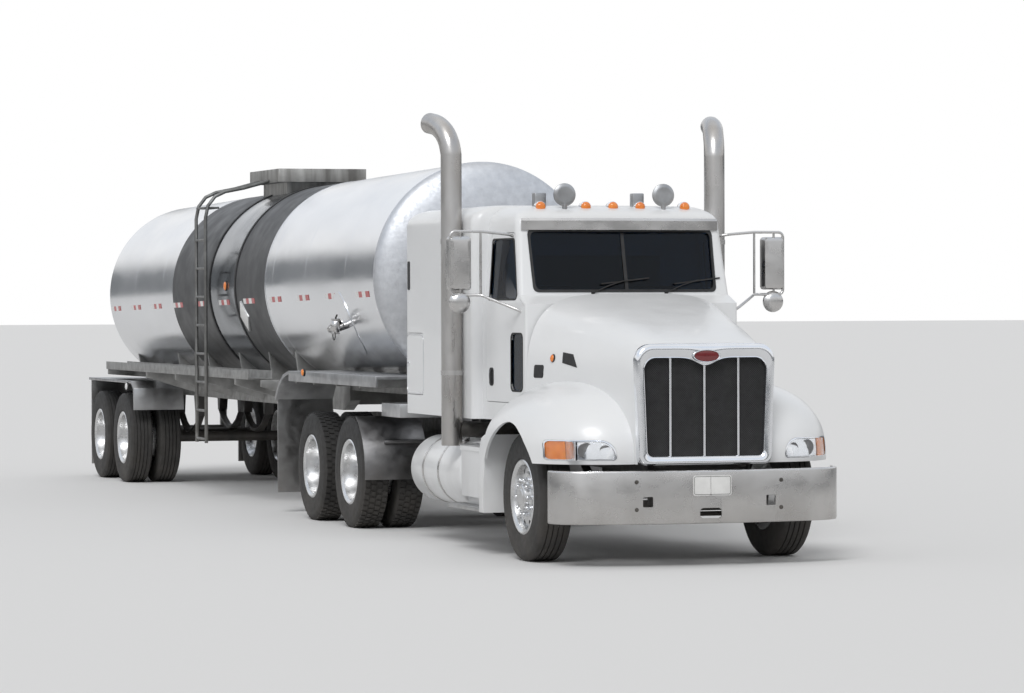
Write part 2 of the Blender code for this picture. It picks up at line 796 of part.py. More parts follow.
def arch_cutter():
    return cylinder((FENDER_INNER_X + OVERRUN, 0, AXLE_HEIGHT),
                    (FENDER_HALF_WIDTH + OVERRUN, 0, AXLE_HEIGHT),
                    ARCH_RADIUS, 32)


def make_hood(joint):
    both = (1, -1)
    outer = [hood_body(0)] + [sided(fender_body(0), side) for side in both]
    hollow = [hood_body(HOOD_SKIN)] + [sided(fender_body(HOOD_SKIN), side) for side in both]
    hollow += [sided(arch_cutter(), side) for side in both]
    hollow += [sided(lamp_prism(SEAT_GAP), side) for side in both]
    node("hood", "white_paint", joint, outer, cut=hollow, sharp=35)
    for side, word in ((1, "left"), (-1, "right")):
        node(f"headlamp_{word}", "lamp_clear", joint, [sided(fender_body(0), side)],
             within=[sided(lamp_prism(0), side)], cut=[sided(fender_body(HOOD_SKIN), side)])


def surround_outline(inset):
    """The grille's keystone outline with round corners, wider at its top."""
    low = SURROUND_HALF_BOTTOM - inset
    high = SURROUND_HALF_TOP - inset
    bottom, top = SURROUND_BOTTOM + inset, SURROUND_TOP - inset
    radius = SURROUND_CORNER - inset / 2
    small = radius / 2
    return (arc((low - small, bottom + small), small, -90, 0, 3) + arc((high - radius, top - radius),
                                                                       radius, 0, 90, 5)
            + arc((radius - high, top - radius), radius, 90, 180, 5)
            + arc((small - low, bottom + small), small, 180, 270, 3))


def make_grille(joint):
    ring = prism(surround_outline(0), "Y", (SURROUND_FRONT, HOOD_FRONT - SEAT_GAP))
    hole = prism(surround_outline(SURROUND_BAND), "Y", (SURROUND_FRONT - OVERRUN, HOOD_FRONT + OVERRUN))
    lug = (arc((HOOD_HINGE_STATION, HOOD_HINGE_HEIGHT), HINGE_LUG_RADIUS, -90, 90, 6)
           + [(HOOD_FRONT - HINGE_LUG_RADIUS, HOOD_HINGE_HEIGHT + HINGE_LUG_RADIUS),
              (HOOD_FRONT - HINGE_LUG_RADIUS, HOOD_HINGE_HEIGHT - HINGE_LUG_RADIUS)])
    lugs = [sided(prism(lug, "X", (HINGE_LUG_X - HINGE_LUG_WIDTH, HINGE_LUG_X)), side) for side in (1, -1)]
    node("grille_surround", "chrome", joint, [ring] + lugs, cut=[hole])
    back = HOOD_FRONT - SEAT_GAP
    plate = prism(surround_outline(SURROUND_BAND + SEAT_GAP), "Y", (back - GRILLE_PLATE, back))
    bars = [box((x - GRILLE_BAR_WIDTH / 2, x + GRILLE_BAR_WIDTH / 2),
                (back - 3 * GRILLE_PLATE, back - GRILLE_PLATE / 2),
                (SURROUND_BOTTOM + SURROUND_BAND + RUN_GAP, SURROUND_TOP - SURROUND_BAND - RUN_GAP))
            for x in (-GRILLE_BAR_SPACING, 0, GRILLE_BAR_SPACING)]
    node("grille", "trim_dark", joint, [plate] + bars)


def make_bumper(joint):
    """A bowed steel sheet with turned-in lips, wrapped back at both corners."""
    half = BUMPER_HALF_WIDTH
    # columns: share of the half width, share of the corners' wrap
    wrap_shares = ((0, 0), (0.3, 0.024), (0.6, 0.134), (0.83, 0.305), (0.94, 0.524), (0.99, 0.78), (1, 1))
    path = [(-half * across, FRONT_END + BUMPER_WRAP * back) for across, back in wrap_shares[:0:-1]]
    path += [(half * across, FRONT_END + BUMPER_WRAP * back) for across, back in wrap_shares]
    section = ((0, BUMPER_BOTTOM), (0, BUMPER_TOP), (BUMPER_FLANGE, BUMPER_TOP),
               (BUMPER_FLANGE, BUMPER_TOP - BUMPER_SHEET), (BUMPER_SHEET, BUMPER_TOP - BUMPER_SHEET),
               (BUMPER_SHEET, BUMPER_BOTTOM + BUMPER_SHEET), (BUMPER_FLANGE, BUMPER_BOTTOM + BUMPER_SHEET),
               (BUMPER_FLANGE, BUMPER_BOTTOM))
    rings = []
    for index, point in enumerate(path):
        before, after = path[max(index - 1, 0)], path[min(index + 1, len(path) - 1)]
        run = Vector((after[0] - before[0], after[1] - before[1])).normalized()
        rings.append([(point[0] - run.y * depth, point[1] + run.x * depth, z) for depth, z in section])
    arms = []
    for side in (1, -1):
        across = (ARM_X, ARM_X + ARM_WIDTH)
        arms.append(sided(box(across, (FRONT_END + BUMPER_SHEET, RAIL_FRONT - SEAT_GAP),
                              (ARM_BOTTOM, ARM_TOP)), side))
        arms.append(sided(box(across, (RAIL_FRONT - BUMPER_SHEET - SEAT_GAP, RAIL_FRONT - SEAT_GAP),
                              (ARM_BOTTOM, RAIL_TOP - RAIL_HEIGHT + OVERRUN)), side))
    through = (FRONT_END - OVERRUN, FRONT_END + 2 * OVERRUN)
    holes = [box((side * TOW_HOLE_X - TOW_HOLE / 2, side * TOW_HOLE_X + TOW_HOLE / 2), through,
                 (TOW_HOLE_Z - TOW_HOLE / 2, TOW_HOLE_Z + TOW_HOLE / 2)) for side in (1, -1)]
    holes.append(prism(rounded((-CENTRE_HOLE_WIDTH / 2, CENTRE_HOLE_Z - CENTRE_HOLE_HEIGHT / 2),
                               (CENTRE_HOLE_WIDTH / 2, CENTRE_HOLE_Z + CENTRE_HOLE_HEIGHT / 2),
                               CENTRE_HOLE_HEIGHT * 0.45), "Y", through))
    node("front_bumper", "polished_steel", joint, [loft(rings)] + arms, cut=holes)


def rail(side):
    """A channel rail, its web outward."""
    outer, inner = side * RAIL_HALF_WIDTH, side * (RAIL_HALF_WIDTH - RAIL_FLANGE)
    web = side * (RAIL_HALF_WIDTH - RAIL_THICKNESS)
    low, high = RAIL_TOP - RAIL_HEIGHT, RAIL_TOP
    outline = [(outer, low), (outer, high), (inner, high), (inner, high - RAIL_THICKNESS),
               (web, high - RAIL_THICKNESS), (web, low + RAIL_THICKNESS), (inner,
                                                                           low + RAIL_THICKNESS), (inner,
                                                                                                   low)]
    return prism(outline, "Y", (RAIL_FRONT, RAIL_REAR))


def make_chassis(joint):
    solids = [rail(1), rail(-1)]
    web = RAIL_HALF_WIDTH - RAIL_THICKNESS / 2
    low, high = RAIL_TOP - RAIL_HEIGHT, RAIL_TOP
    depth = CROSS_MEMBER_THICKNESS
    for share in CROSS_MEMBER_SHARES:
        station = RAIL_FRONT + (RAIL_REAR - RAIL_FRONT) * share
        solids.append(box((-web, web), (station, station + depth), (low + depth, high - depth)))
    # front crossmember with the two lugs that the hood's hinge pins run in
    solids.append(box((-web, web), (RAIL_FRONT + depth, RAIL_FRONT + 3 * depth),
                      (low - depth, high - depth)))
    for side in (1, -1):
        lug = (arc((HOOD_HINGE_STATION, HOOD_HINGE_HEIGHT), HINGE_LUG_RADIUS, 90, 270, 6)
               + [(RAIL_FRONT + 2 * depth, HOOD_HINGE_HEIGHT - HINGE_LUG_RADIUS),
                  (RAIL_FRONT + 2 * depth, HOOD_HINGE_HEIGHT + HINGE_LUG_RADIUS)])
        span = (HINGE_LUG_X + SEAT_GAP, HINGE_LUG_X + HINGE_LUG_WIDTH)
        solids.append(sided(prism(lug, "X", span), side))
    # mounts below the cab, the sleeper and the deck
    for station in CAB_MOUNT_STATIONS:
        for side in (1, -1):
            solids.append(sided(box((RAIL_HALF_WIDTH - RAIL_FLANGE, RAIL_HALF_WIDTH + depth),
                                    (station - depth, station + depth),
                                    (RAIL_TOP - RAIL_THICKNESS, CAB_FLOOR - SEAT_GAP)), side))
    node("chassis_frame", "frame_black", joint, solids)


def leaf_spring(station, half_span, seat, eye_top, side):
    """A bowed leaf pack on the axle seat, its ends just under the frame rail."""
    rise = eye_top - LEAF_THICKNESS - seat
    span_shares = (-1, -0.66, -0.33, 0, 0.33, 0.66, 1)
    low = [(station + half_span * share, seat + rise * share ** 2) for share in span_shares]
    # the pack is thickest at its seat
    high = [(a, b + LEAF_THICKNESS * (3 - 2 * abs(a - station) / half_span)) for a, b in low[::-1]]
    high = [(a, min(b, eye_top)) for a, b in high]
    return sided(prism(low + high, "X", (RAIL_HALF_WIDTH - LEAF_WIDTH, RAIL_HALF_WIDTH)), side)


def make_front_axle(joint):
    """The dropped beam with its kingpin bosses and leaf springs."""
    reach = STEER_PIVOT_X
    depth = AXLE_BEAM_DEPTH / 2
    low = AXLE_HEIGHT - AXLE_BEAM_DROP
    outline = [(-reach, AXLE_HEIGHT - depth), (-reach * 0.86, AXLE_HEIGHT - depth),
               (-reach * 0.72, low - depth),
               (reach * 0.72, low - depth), (reach * 0.86, AXLE_HEIGHT - depth), (reach,
                                                                                  AXLE_HEIGHT - depth),
               (reach, AXLE_HEIGHT + depth), (reach * 0.84, AXLE_HEIGHT + depth), (reach * 0.66,
                                                                                   low + depth),
               (-reach * 0.66, low + depth), (-reach * 0.84, AXLE_HEIGHT + depth), (-reach,
                                                                                    AXLE_HEIGHT + depth)]
    solids = [prism(outline, "Y", (-AXLE_BEAM_DEPTH / 2, AXLE_BEAM_DEPTH / 2))]
    eye_top = RAIL_TOP - RAIL_HEIGHT - SEAT_GAP
    for side in (1, -1):
        solids.append(cylinder((side * reach, 0, AXLE_HEIGHT - KNUCKLE_HALF_GAP),
                               (side * reach, 0, AXLE_HEIGHT + KNUCKLE_HALF_GAP), KNUCKLE_BOSS, 16))
        solids.append(leaf_spring(0, FRONT_SPRING_HALF, low + depth * 0.6, eye_top, side))
    node("front_axle", "frame_black", joint, solids)


def make_knuckle(joint, side, word):
    """Yoke above and below the beam's eye, the spindle and the steering arm."""
    x = STEER_PIVOT_X
    gap = KNUCKLE_HALF_GAP + SEAT_GAP
    plate = KNUCKLE_PLATE
    outer = x + KNUCKLE_BOSS + RUN_GAP
    solids = []
    for low, high in ((AXLE_HEIGHT + gap, AXLE_HEIGHT + gap + plate),
                      (AXLE_HEIGHT - gap - plate, AXLE_HEIGHT - gap)):
        solids.append(cylinder((x, 0, low), (x, 0, high), KNUCKLE_BOSS, 16))
        solids.append(box((x, outer + plate / 2), (-KNUCKLE_BOSS * 0.8, KNUCKLE_BOSS * 0.8), (low, high)))
    solids.append(box((outer, outer + plate), (-KNUCKLE_BOSS, KNUCKLE_BOSS),
                      (AXLE_HEIGHT - gap - plate, AXLE_HEIGHT + gap + plate)))
    solids.append(cylinder((outer + plate / 2, 0, AXLE_HEIGHT), (STEER_HUB_FACE - SEAT_GAP, 0, AXLE_HEIGHT),
                           KNUCKLE_BOSS * 0.9, 16))
    arm_z = AXLE_HEIGHT - gap - plate
    solids.append(box((x - STEER_ARM_INSET - KNUCKLE_PLATE / 2, x + KNUCKLE_PLATE / 2),
                      (0, STEER_ARM_LENGTH), (arm_z - KNUCKLE_PLATE, arm_z + KNUCKLE_PLATE / 4)))
    node(f"knuckle_{word}", "cast_iron", joint, [sided(solid, side) for solid in solids])


def make_tie_rod(joint):
    """The rod that keeps both steering arms parallel, hung below their ends."""
    x = STEER_PIVOT_X - STEER_ARM_INSET
    top = AXLE_HEIGHT - KNUCKLE_HALF_GAP - SEAT_GAP - 2 * KNUCKLE_PLATE - SEAT_GAP
    y = STEER_ARM_LENGTH - TIE_ROD_RADIUS
    ends = [cylinder((side * x, y, top - 2 * TIE_ROD_RADIUS), (side * x, y, top), TIE_ROD_RADIUS * 1.2, 12)
            for side in (1, -1)]
    rod = cylinder((-x, y, top - TIE_ROD_RADIUS), (x, y, top - TIE_ROD_RADIUS), TIE_ROD_RADIUS * 0.8, 12)
    node("tie_rod", "cast_iron", joint, [rod] + ends)


def make_front_wheel(joint, side, word):
    """Tyre and rim as one turned body, with the wheel's hand holes cut through its face."""
    half = STEER_TYRE_WIDTH / 2
    bead = half - BEAD_INSET
    low = RIM_RADIUS - BEAD_SEAT
    tyre = [(-bead, low), (-half, low + TREAD_SHOULDER), (-half, TYRE_RADIUS - SIDEWALL_DEPTH),
            (TREAD_SHOULDER - half, TYRE_RADIUS), (half - TREAD_SHOULDER, TYRE_RADIUS),
            (half, TYRE_RADIUS - SIDEWALL_DEPTH), (half, low + TREAD_SHOULDER), (bead, low)]
    centre = (STEER_TYRE_X, 0, AXLE_HEIGHT)
    hub_face = STEER_HUB_FACE - STEER_TYRE_X
    flange = bead + RIM_FLANGE
    wheel = [(hub_face, 0), (hub_face, DRUM_RADIUS), (hub_face + RIM_EDGE, DRUM_RADIUS + RIM_EDGE),
             (-flange, RIM_RADIUS - RIM_EDGE), (-flange, RIM_RADIUS), (flange, RIM_RADIUS),
             (flange, RIM_RADIUS - RIM_EDGE), (WHEEL_SHELF, RIM_RADIUS - RIM_WELL),
             (WHEEL_FACE, WHEEL_FACE_RADIUS), (WHEEL_FACE, WHEEL_HUB_FOOT), (WHEEL_HUB_END,
                                                                             WHEEL_HUB_RADIUS),
             (WHEEL_HUB_END, 0)]
    holes = []
    for step in range(HAND_HOLES):
        angle = 2 * pi * step / HAND_HOLES
        y, z = HAND_HOLE_CIRCLE * cos(angle), AXLE_HEIGHT + HAND_HOLE_CIRCLE * sin(angle)
        holes.append(cylinder((STEER_TYRE_X + BEAD_INSET, y, z), (STEER_TYRE_X + half, y, z),
                              HAND_HOLE_RADIUS, 8))
    solids = [turned(wheel, TYRE_SIDES, centre, (1, 0, 0)),
              turned(tyre, TYRE_SIDES, centre, (1, 0, 0), closed=True)]
    node(f"front_wheel_{word}", "rubber", joint, [sided(solid, side) for solid in solids],
         cut=[sided(hole, side) for hole in holes])


def make_dual(name, joint, station, side):
    """Two tyres, their rims, the brake drum and the hub as one turned body."""
    d, w, top = DUAL_SPACING / 2, DUAL_TYRE_WIDTH / 2, TYRE_RADIUS
    wall, shoulder = TYRE_RADIUS - SIDEWALL_DEPTH, w - TREAD_SHOULDER
    profile = [(-d - DRUM_OFFSET, 0), (-d - DRUM_OFFSET, DRUM_RADIUS),
               (-d + RIM_EDGE, RIM_RADIUS - BEAD_INSET),
               (-d - w + BEAD_INSET, RIM_RADIUS), (-d - w, wall), (-d - shoulder, top), (-d + shoulder,
                                                                                         top),
               (0, RIM_RADIUS + DUAL_VALLEY), (d - shoulder, top), (d + shoulder, top), (d + w, wall),
               (d + w - BEAD_INSET, RIM_RADIUS - RIM_EDGE / 2), (DUAL_DISC, DUAL_DISC_RADIUS),
               (DUAL_DISC, HUB_RADIUS), (DUAL_HUB_REACH, HUB_RADIUS * 0.75), (DUAL_HUB_REACH, 0)]
    wheel = turned(profile, TYRE_SIDES, (DUAL_X, station, AXLE_HEIGHT), (1, 0, 0))
    node(name, "rubber", joint, [sided(wheel, side)])


def axle_ends(reach, radius):
    """The inner end's profile points of an axle tube: its brake flange, then the tube."""
    flange, step = AXLE_TUBE * 1.5, BRAKE_FLANGE + SEAT_GAP
    return [(-reach, flange), (BRAKE_FLANGE - reach, flange), (step - reach, radius)]


def make_drive_axle(joint, name, station, seat_top):
    """Axle housing with its bowl, brake ends and one leaf spring a side."""
    reach = DUAL_X - DUAL_SPACING / 2 - DRUM_OFFSET - SEAT_GAP
    ends = axle_ends(reach, AXLE_TUBE)
    profile = ends + [(-AXLE_BOWL, AXLE_TUBE), (-AXLE_BOWL * 0.5, AXLE_BOWL), (AXLE_BOWL * 0.5, AXLE_BOWL),
                      (AXLE_BOWL, AXLE_TUBE)] + [(-along, radius) for along, radius in ends[::-1]]
    solids = [turned(profile, 12, (0, station, AXLE_HEIGHT), (1, 0, 0))]
    for side in (1, -1):
        solids.append(leaf_spring(station, DRIVE_SPRING_HALF, AXLE_HEIGHT + AXLE_TUBE * 0.7, seat_top,
                                  side))
    node(name, "frame_black", joint, solids)


def make_engine(joint):
    low, high = ENGINE_BOTTOM, ENGINE_TOP
    block = box((-ENGINE_HALF_WIDTH, ENGINE_HALF_WIDTH), (ENGINE_FRONT, ENGINE_REAR), (low, high))
    lug = box((-RAIL_HALF_WIDTH + RAIL_THICKNESS + SEAT_GAP, RAIL_HALF_WIDTH - RAIL_THICKNESS - SEAT_GAP),
              (ENGINE_FRONT + OVERRUN,
               ENGINE_FRONT + 3 * OVERRUN), (RAIL_TOP - RAIL_HEIGHT / 2 - OVERRUN / 2,
                                                                     RAIL_TOP - RAIL_HEIGHT / 2 + OVERRUN / 2))
    node("engine_block", "cast_iron", joint, [block, lug])


def cab_half(station):
    return CAB_HALF_FRONT + (CAB_HALF_REAR - CAB_HALF_FRONT) * (station - CAB_FRONT) / (CAB_REAR - CAB_FRONT)


def cab_body(inner):
    """The cab's skin moved inward by a distance, lofted up through plan outlines."""
    # columns: height, front, inset of the sides, corner radius, bow of the front
    levels = [(CAB_FLOOR, CAB_FRONT, 0, CAB_EDGE, 0), (COWL_HEIGHT - COWL_ROUND, CAB_FRONT, 0, CAB_EDGE, 0),
              (COWL_HEIGHT + COWL_STEP, SCREEN_FOOT, TUMBLEHOME * 0.4, CAB_CORNER * 0.6, SCREEN_BOW),
              (COWL_HEIGHT + SCREEN_RISE / 2, (SCREEN_FOOT + SCREEN_HEAD) / 2, TUMBLEHOME * 0.7,
               CAB_CORNER * 0.8,
               SCREEN_BOW),
              (SCREEN_HEAD_HEIGHT, SCREEN_HEAD, TUMBLEHOME, CAB_CORNER, SCREEN_BOW)]
    # columns: shares of the roof's rise, of its reach, of its inset, of the corner and of the bow
    roof_shares = ((0.556, 0.176, 0.1, 1.2, 0.8), (0.833, 0.47, 0.36, 1.6, 0.6), (1, 1, 1, 2, 0))
    for rise, reach, inset, corner, bow in roof_shares:
        levels.append((SCREEN_HEAD_HEIGHT + ROOF_RISE * rise, SCREEN_HEAD + ROOF_REACH * reach,
                       TUMBLEHOME + ROOF_INSET * inset, CAB_CORNER * corner, SCREEN_BOW * bow))
    rings = []
    for index, (z, front, inset, radius, bow) in enumerate(levels):
        if inner:
            z += inner if index == 0 else -inner if index == len(levels) - 1 else -inner * index / len(levels)
            front += inner
        rear = CAB_REAR - inner
        side_front = cab_half(front + radius) - inset - inner
        side_rear = cab_half(rear) - inset - inner
        half = [(side_rear, rear), (side_front, front + radius),
                (side_front - radius * 0.3, front + radius * 0.3),
                (side_front - radius, front), (side_front / 2, front - bow * 0.75), (0, front - bow)]
        rings.append([(x, y, z) for x, y in half] + [(-x, y, z) for x, y in half[-2::-1]])
    return loft(rings)


def door_outline(grow):
    return [(DOOR_FRONT - grow, DOOR_BOTTOM - grow), (DOOR_REAR + grow, DOOR_BOTTOM - grow),
            (DOOR_REAR + grow, DOOR_TOP + grow), (SCREEN_HEAD + DOOR_PILLAR - grow, DOOR_TOP + grow),
            (SCREEN_FOOT + DOOR_PILLAR - grow, COWL_HEIGHT + grow),
            (DOOR_FRONT - grow, COWL_HEIGHT - 2 * DOOR_PILLAR + grow)]


def window_outline(shrink):
    sill, head = WINDOW_SILL + shrink, WINDOW_HEAD - shrink
    front = SCREEN_FOOT + DOOR_PILLAR + WINDOW_FRAME + shrink
    lean = (SCREEN_HEAD - SCREEN_FOOT) * 0.9
    rear = DOOR_REAR - WINDOW_FRAME - shrink
    return [(front, sill), (rear, sill), (rear, head), (front + lean, head)]


def door_span(side, grow=0):
    """Across the truck, the run that a door's cutter takes of the cab's side."""
    inner, outer = CAB_HALF_FRONT - DOOR_FLANGE - grow, CAB_HALF_REAR + 2 * OVERRUN
    return (inner, outer) if side > 0 else (-outer, -inner)


def screen_outline(shrink):
    half = SCREEN_HALF_WIDTH - shrink
    bottom, top = COWL_HEIGHT + SCREEN_RIM_BOTTOM + shrink, SCREEN_HEAD_HEIGHT - SCREEN_RIM_TOP - shrink
    return [(-half, bottom), (half, bottom), (half + SCREEN_TAPER, top), (-half - SCREEN_TAPER, top)]


def marker_lamp(x):
    front, z = SCREEN_HEAD + MARKER_LAMP_SETBACK, CAB_ROOF - MARKER_LAMP_SINK
    return cylinder((x, front, z), (x, front + MARKER_LAMP_LENGTH, z), MARKER_LAMP_RADIUS, 12)


def horn_shield(x):
    """A round shield on a short post."""
    depth, radius, post, y = HORN_SHIELD_DEPTH, HORN_SHIELD_RADIUS, HORN_POST_RADIUS, HORN_SHIELD_STATION
    top = CAB_ROOF + HORN_POST_HEIGHT
    disc = [(0, radius * 0.63), (depth * 0.3, radius), (depth * 0.6, radius), (depth, radius * 0.53)]
    return [cylinder((x, y, CAB_ROOF - HORN_POST_DROP), (x, y, top), post, 8),
            turned(disc, 14, (x, y - post, top + radius / 2), (0, 1, 0))]


def make_cab(joint):
    openings = [cab_body(CAB_WALL)]
    openings += [prism(door_outline(RUN_GAP), "X", door_span(side, RUN_GAP)) for side in (1, -1)]
    openings.append(prism(screen_outline(0), "Y", (CAB_FRONT, SCREEN_HEAD + 2 * OVERRUN)))
    openings.append(box((-PASSAGE_HALF_WIDTH, PASSAGE_HALF_WIDTH),
                        (CAB_REAR - CAB_WALL - OVERRUN, CAB_REAR + OVERRUN),
                        (CAB_FLOOR + CAB_WALL + OVERRUN, PASSAGE_TOP)))
    fittings = [marker_lamp(x) for x in MARKER_LAMP_X]
    fittings += horn_shield(HORN_SHIELD_X) + horn_shield(-HORN_SHIELD_X)
    node("cab_shell", "white_paint", joint, [cab_body(0)] + fittings, cut=openings, sharp=25)
    node("windscreen", "glass", joint, [cab_body(GLASS_INSET)],
         within=[prism(screen_outline(SEAT_GAP), "Y", (CAB_FRONT, SCREEN_HEAD + 2 * OVERRUN))],
         cut=[cab_body(GLASS_INSET + GLASS)])


def make_visor(joint):
    """A bent sheet over the windscreen on two brackets."""
    front = SCREEN_HEAD - VISOR_REACH
    bend_shares = (-1, -0.6, -0.2, 0.2, 0.6, 1)
    path = [(VISOR_HALF * share, front + VISOR_BOW * share ** 2) for share in bend_shares]
    outline = path + [(x, y + VISOR_SHEET) for x, y in path[::-1]]
    brackets = []
    for side in (1, -1):
        x = side * VISOR_HALF / 2
        brackets.append(box((x - VISOR_BRACKET / 2, x + VISOR_BRACKET / 2),
                            (front + VISOR_BOW / 4 + VISOR_SHEET / 2, SCREEN_HEAD + VISOR_BRACKET),
                            (SCREEN_HEAD_HEIGHT + VISOR_RISE / 4, SCREEN_HEAD_HEIGHT + VISOR_RISE * 0.7)))
    node("sun_visor", "polished_steel", joint,
         [prism(outline, "Z", (SCREEN_HEAD_HEIGHT - VISOR_DROP, SCREEN_HEAD_HEIGHT + VISOR_RISE))] + brackets,
         cut=[cab_body(-SEAT_GAP)])


def make_door(joint, side, word):
    leaf = prism(door_outline(0), "X", door_span(side))
    window = prism(window_outline(0), "X", door_span(side))
    bottom, top = (DOOR_BOTTOM + (COWL_HEIGHT - DOOR_BOTTOM) * share for share in PEEP_SHARES)
    front = DOOR_FRONT + PEEP_OFFSET
    peep = prism(rounded((front, bottom), (front + PEEP_WIDTH, top), PEEP_CORNER), "X", door_span(side))
    node(f"door_{word}", "white_paint", joint, [cab_body(0)], within=[leaf],
         cut=[cab_body(CAB_WALL), window, peep])
    node(f"door_glass_{word}", "glass", joint, [cab_body(GLASS_INSET)],
         within=[prism(window_outline(SEAT_GAP), "X", door_span(side))],
         cut=[cab_body(GLASS_INSET + GLASS)])


def make_mirror(joint, side, word):
    """Head and round mirror in a loop of tube that starts and ends on the door."""
    reach = MIRROR_REACH - MIRROR_TUBE
    head_x = MIRROR_REACH - MIRROR_HEAD_WIDTH / 2
    face, bend = MIRROR_STATION, MIRROR_HEAD_SPACE
    y = face + MIRROR_HEAD_DEPTH / 4
    low, high = MIRROR_HEAD_BOTTOM - bend, MIRROR_HEAD_TOP + bend
    high_foot = (cab_half(MIRROR_HIGH_FOOT) - TUMBLEHOME - MIRROR_TUBE, MIRROR_HIGH_FOOT,
                 (WINDOW_HEAD + DOOR_TOP) / 2)
    low_foot = (cab_half(MIRROR_LOW_FOOT) - MIRROR_TUBE, MIRROR_LOW_FOOT, COWL_HEIGHT - MIRROR_LOW_DROP)
    loop = [high_foot, (high_foot[0] + 2 * bend, high_foot[1] - bend, high - bend / 2), (MIRROR_INNER_X, y, high),
            (reach - bend, y, high), (reach, y, high - bend), (reach, y, low + bend), (reach - bend, y, low),
            (MIRROR_INNER_X, y, low), (low_foot[0] + 2 * bend, low_foot[1] + bend, low_foot[2] + bend), low_foot]
    head = rounded((head_x - MIRROR_HEAD_WIDTH / 2, MIRROR_HEAD_BOTTOM),
                   (head_x + MIRROR_HEAD_WIDTH / 2, MIRROR_HEAD_TOP), MIRROR_HEAD_CORNER)
    radius, depth, round_z = MIRROR_ROUND_RADIUS, MIRROR_ROUND_DEPTH, MIRROR_HEAD_BOTTOM - MIRROR_ROUND_DROP
    dish = [(0, radius), (depth * 0.6, radius * 0.95), (depth, radius * 0.45)]
    solids = [prism(head, "Y", (face, face + MIRROR_HEAD_DEPTH)), tube(loop, MIRROR_TUBE, 8),
              cylinder((MIRROR_INNER_X, y, low), (MIRROR_INNER_X, y, high), MIRROR_TUBE * 0.8, 8),
              cylinder((head_x, y, round_z), (head_x, y, high), MIRROR_TUBE * 0.8, 8),
              turned(dish, 16, (head_x, face + depth, round_z), (0, -1, 0))]
    node(f"mirror_{word}", "polished_steel", joint, [sided(solid, side) for solid in solids],
         cut=[cab_body(-SEAT_GAP)])


def sleeper_body(inner):
    levels = [(CAB_FLOOR + inner, 0)]
    # columns: share of the roof edge's height still above, share of the crown's inset
    edge_shares = ((1, 0), (0.47, 0.115), (0.176, 0.385), (0, 1))
    for above, inset in edge_shares:
        levels.append((SLEEPER_ROOF - SLEEPER_EDGE * above - inner * (1 - above), SLEEPER_CROWN * inset))
    rings = []
    for z, inset in levels:
        outline = rounded((-SLEEPER_HALF_WIDTH + inset + inner, CAB_REAR + SEAT_GAP + inset * 0.3 + inner),
                          (SLEEPER_HALF_WIDTH - inset - inner,
                           SLEEPER_REAR - inset * 0.6 - inner), SLEEPER_CORNER)
        rings.append([(x, y, z) for x, y in outline])
    return loft(rings)


def locker_prism(side, grow):
    outline = rounded((LOCKER_FRONT - grow, LOCKER_BOTTOM - grow), (LOCKER_REAR + grow, LOCKER_TOP + grow),
                      LOCKER_CORNER)
    span = (SLEEPER_HALF_WIDTH - 2 * CAB_WALL - grow, SLEEPER_HALF_WIDTH + OVERRUN)
    return sided(prism(outline, "X", span), side)


def make_sleeper(joint):
    cuts = [sleeper_body(CAB_WALL)]
    cuts += [locker_prism(side, RUN_GAP) for side in (1, -1)]
    cuts.append(box((-PASSAGE_HALF_WIDTH, PASSAGE_HALF_WIDTH),
                    (CAB_REAR - OVERRUN, CAB_REAR + CAB_WALL + OVERRUN),
                    (CAB_FLOOR + CAB_WALL + OVERRUN, PASSAGE_TOP)))
    node("sleeper_shell", "white_paint", joint, [sleeper_body(0)], cut=cuts)


def make_locker_door(joint, side, word):
    node(f"locker_door_{word}", "white_paint", joint, [sleeper_body(0)], within=[locker_prism(side, 0)],
         cut=[sleeper_body(CAB_WALL)])


def make_dashboard(joint):
    """Panel across the cab with its centre stand and the steering wheel on its column."""
    floor = CAB_FLOOR + CAB_WALL + SEAT_GAP
    half = CAB_HALF_FRONT - DOOR_FLANGE - DASH_INSET
    front = CAB_FRONT + CAB_WALL + RUN_GAP
    rise = COWL_HEIGHT - floor
    # columns: share of the panel's depth, share of the rise from the floor to the cowl
    panel_shares = ((0, 0.365), (0, 0.833), (0.667, 0.875), (1, 0.687), (0.733, 0.417))
    panel = prism([(front + DASH_DEPTH * depth, floor + rise * height) for depth, height in panel_shares],
                  "X",
                  (-half, half))
    stand = box((-DASH_STAND / 2, DASH_STAND / 2), (front, front + DASH_DEPTH * 0.6),
                (floor, floor + rise / 2))
    centre = Vector((DRIVER_X, front + DASH_DEPTH + STEERING_REACH, COWL_HEIGHT - STEERING_DROP))
    lean = Vector((0, -0.5, -0.86)).normalized()
    inner, thick = STEERING_RADIUS - STEERING_RIM, STEERING_RIM / 2
    rim = turned([(-thick, inner), (thick, inner), (thick, STEERING_RADIUS), (-thick, STEERING_RADIUS)], 20,
                 centre, lean,
                 closed=True)
    reach = inner + thick
    points, faces = box((-reach, reach), (-STEERING_SPOKE / 2, STEERING_SPOKE / 2),
                        (-STEERING_RIM / 3, STEERING_RIM / 3))
    up = frame_along(lean)[1]
    spoke = ([centre + Vector((point.x, 0, 0)) + up * point.y + lean * point.z for point in points], faces)
    column = cylinder(centre - lean * STEERING_RIM / 3, centre + lean * STEERING_COLUMN, STEERING_RIM, 10)
    node("dashboard", "trim_dark", joint, [panel, stand, rim, spoke, column])


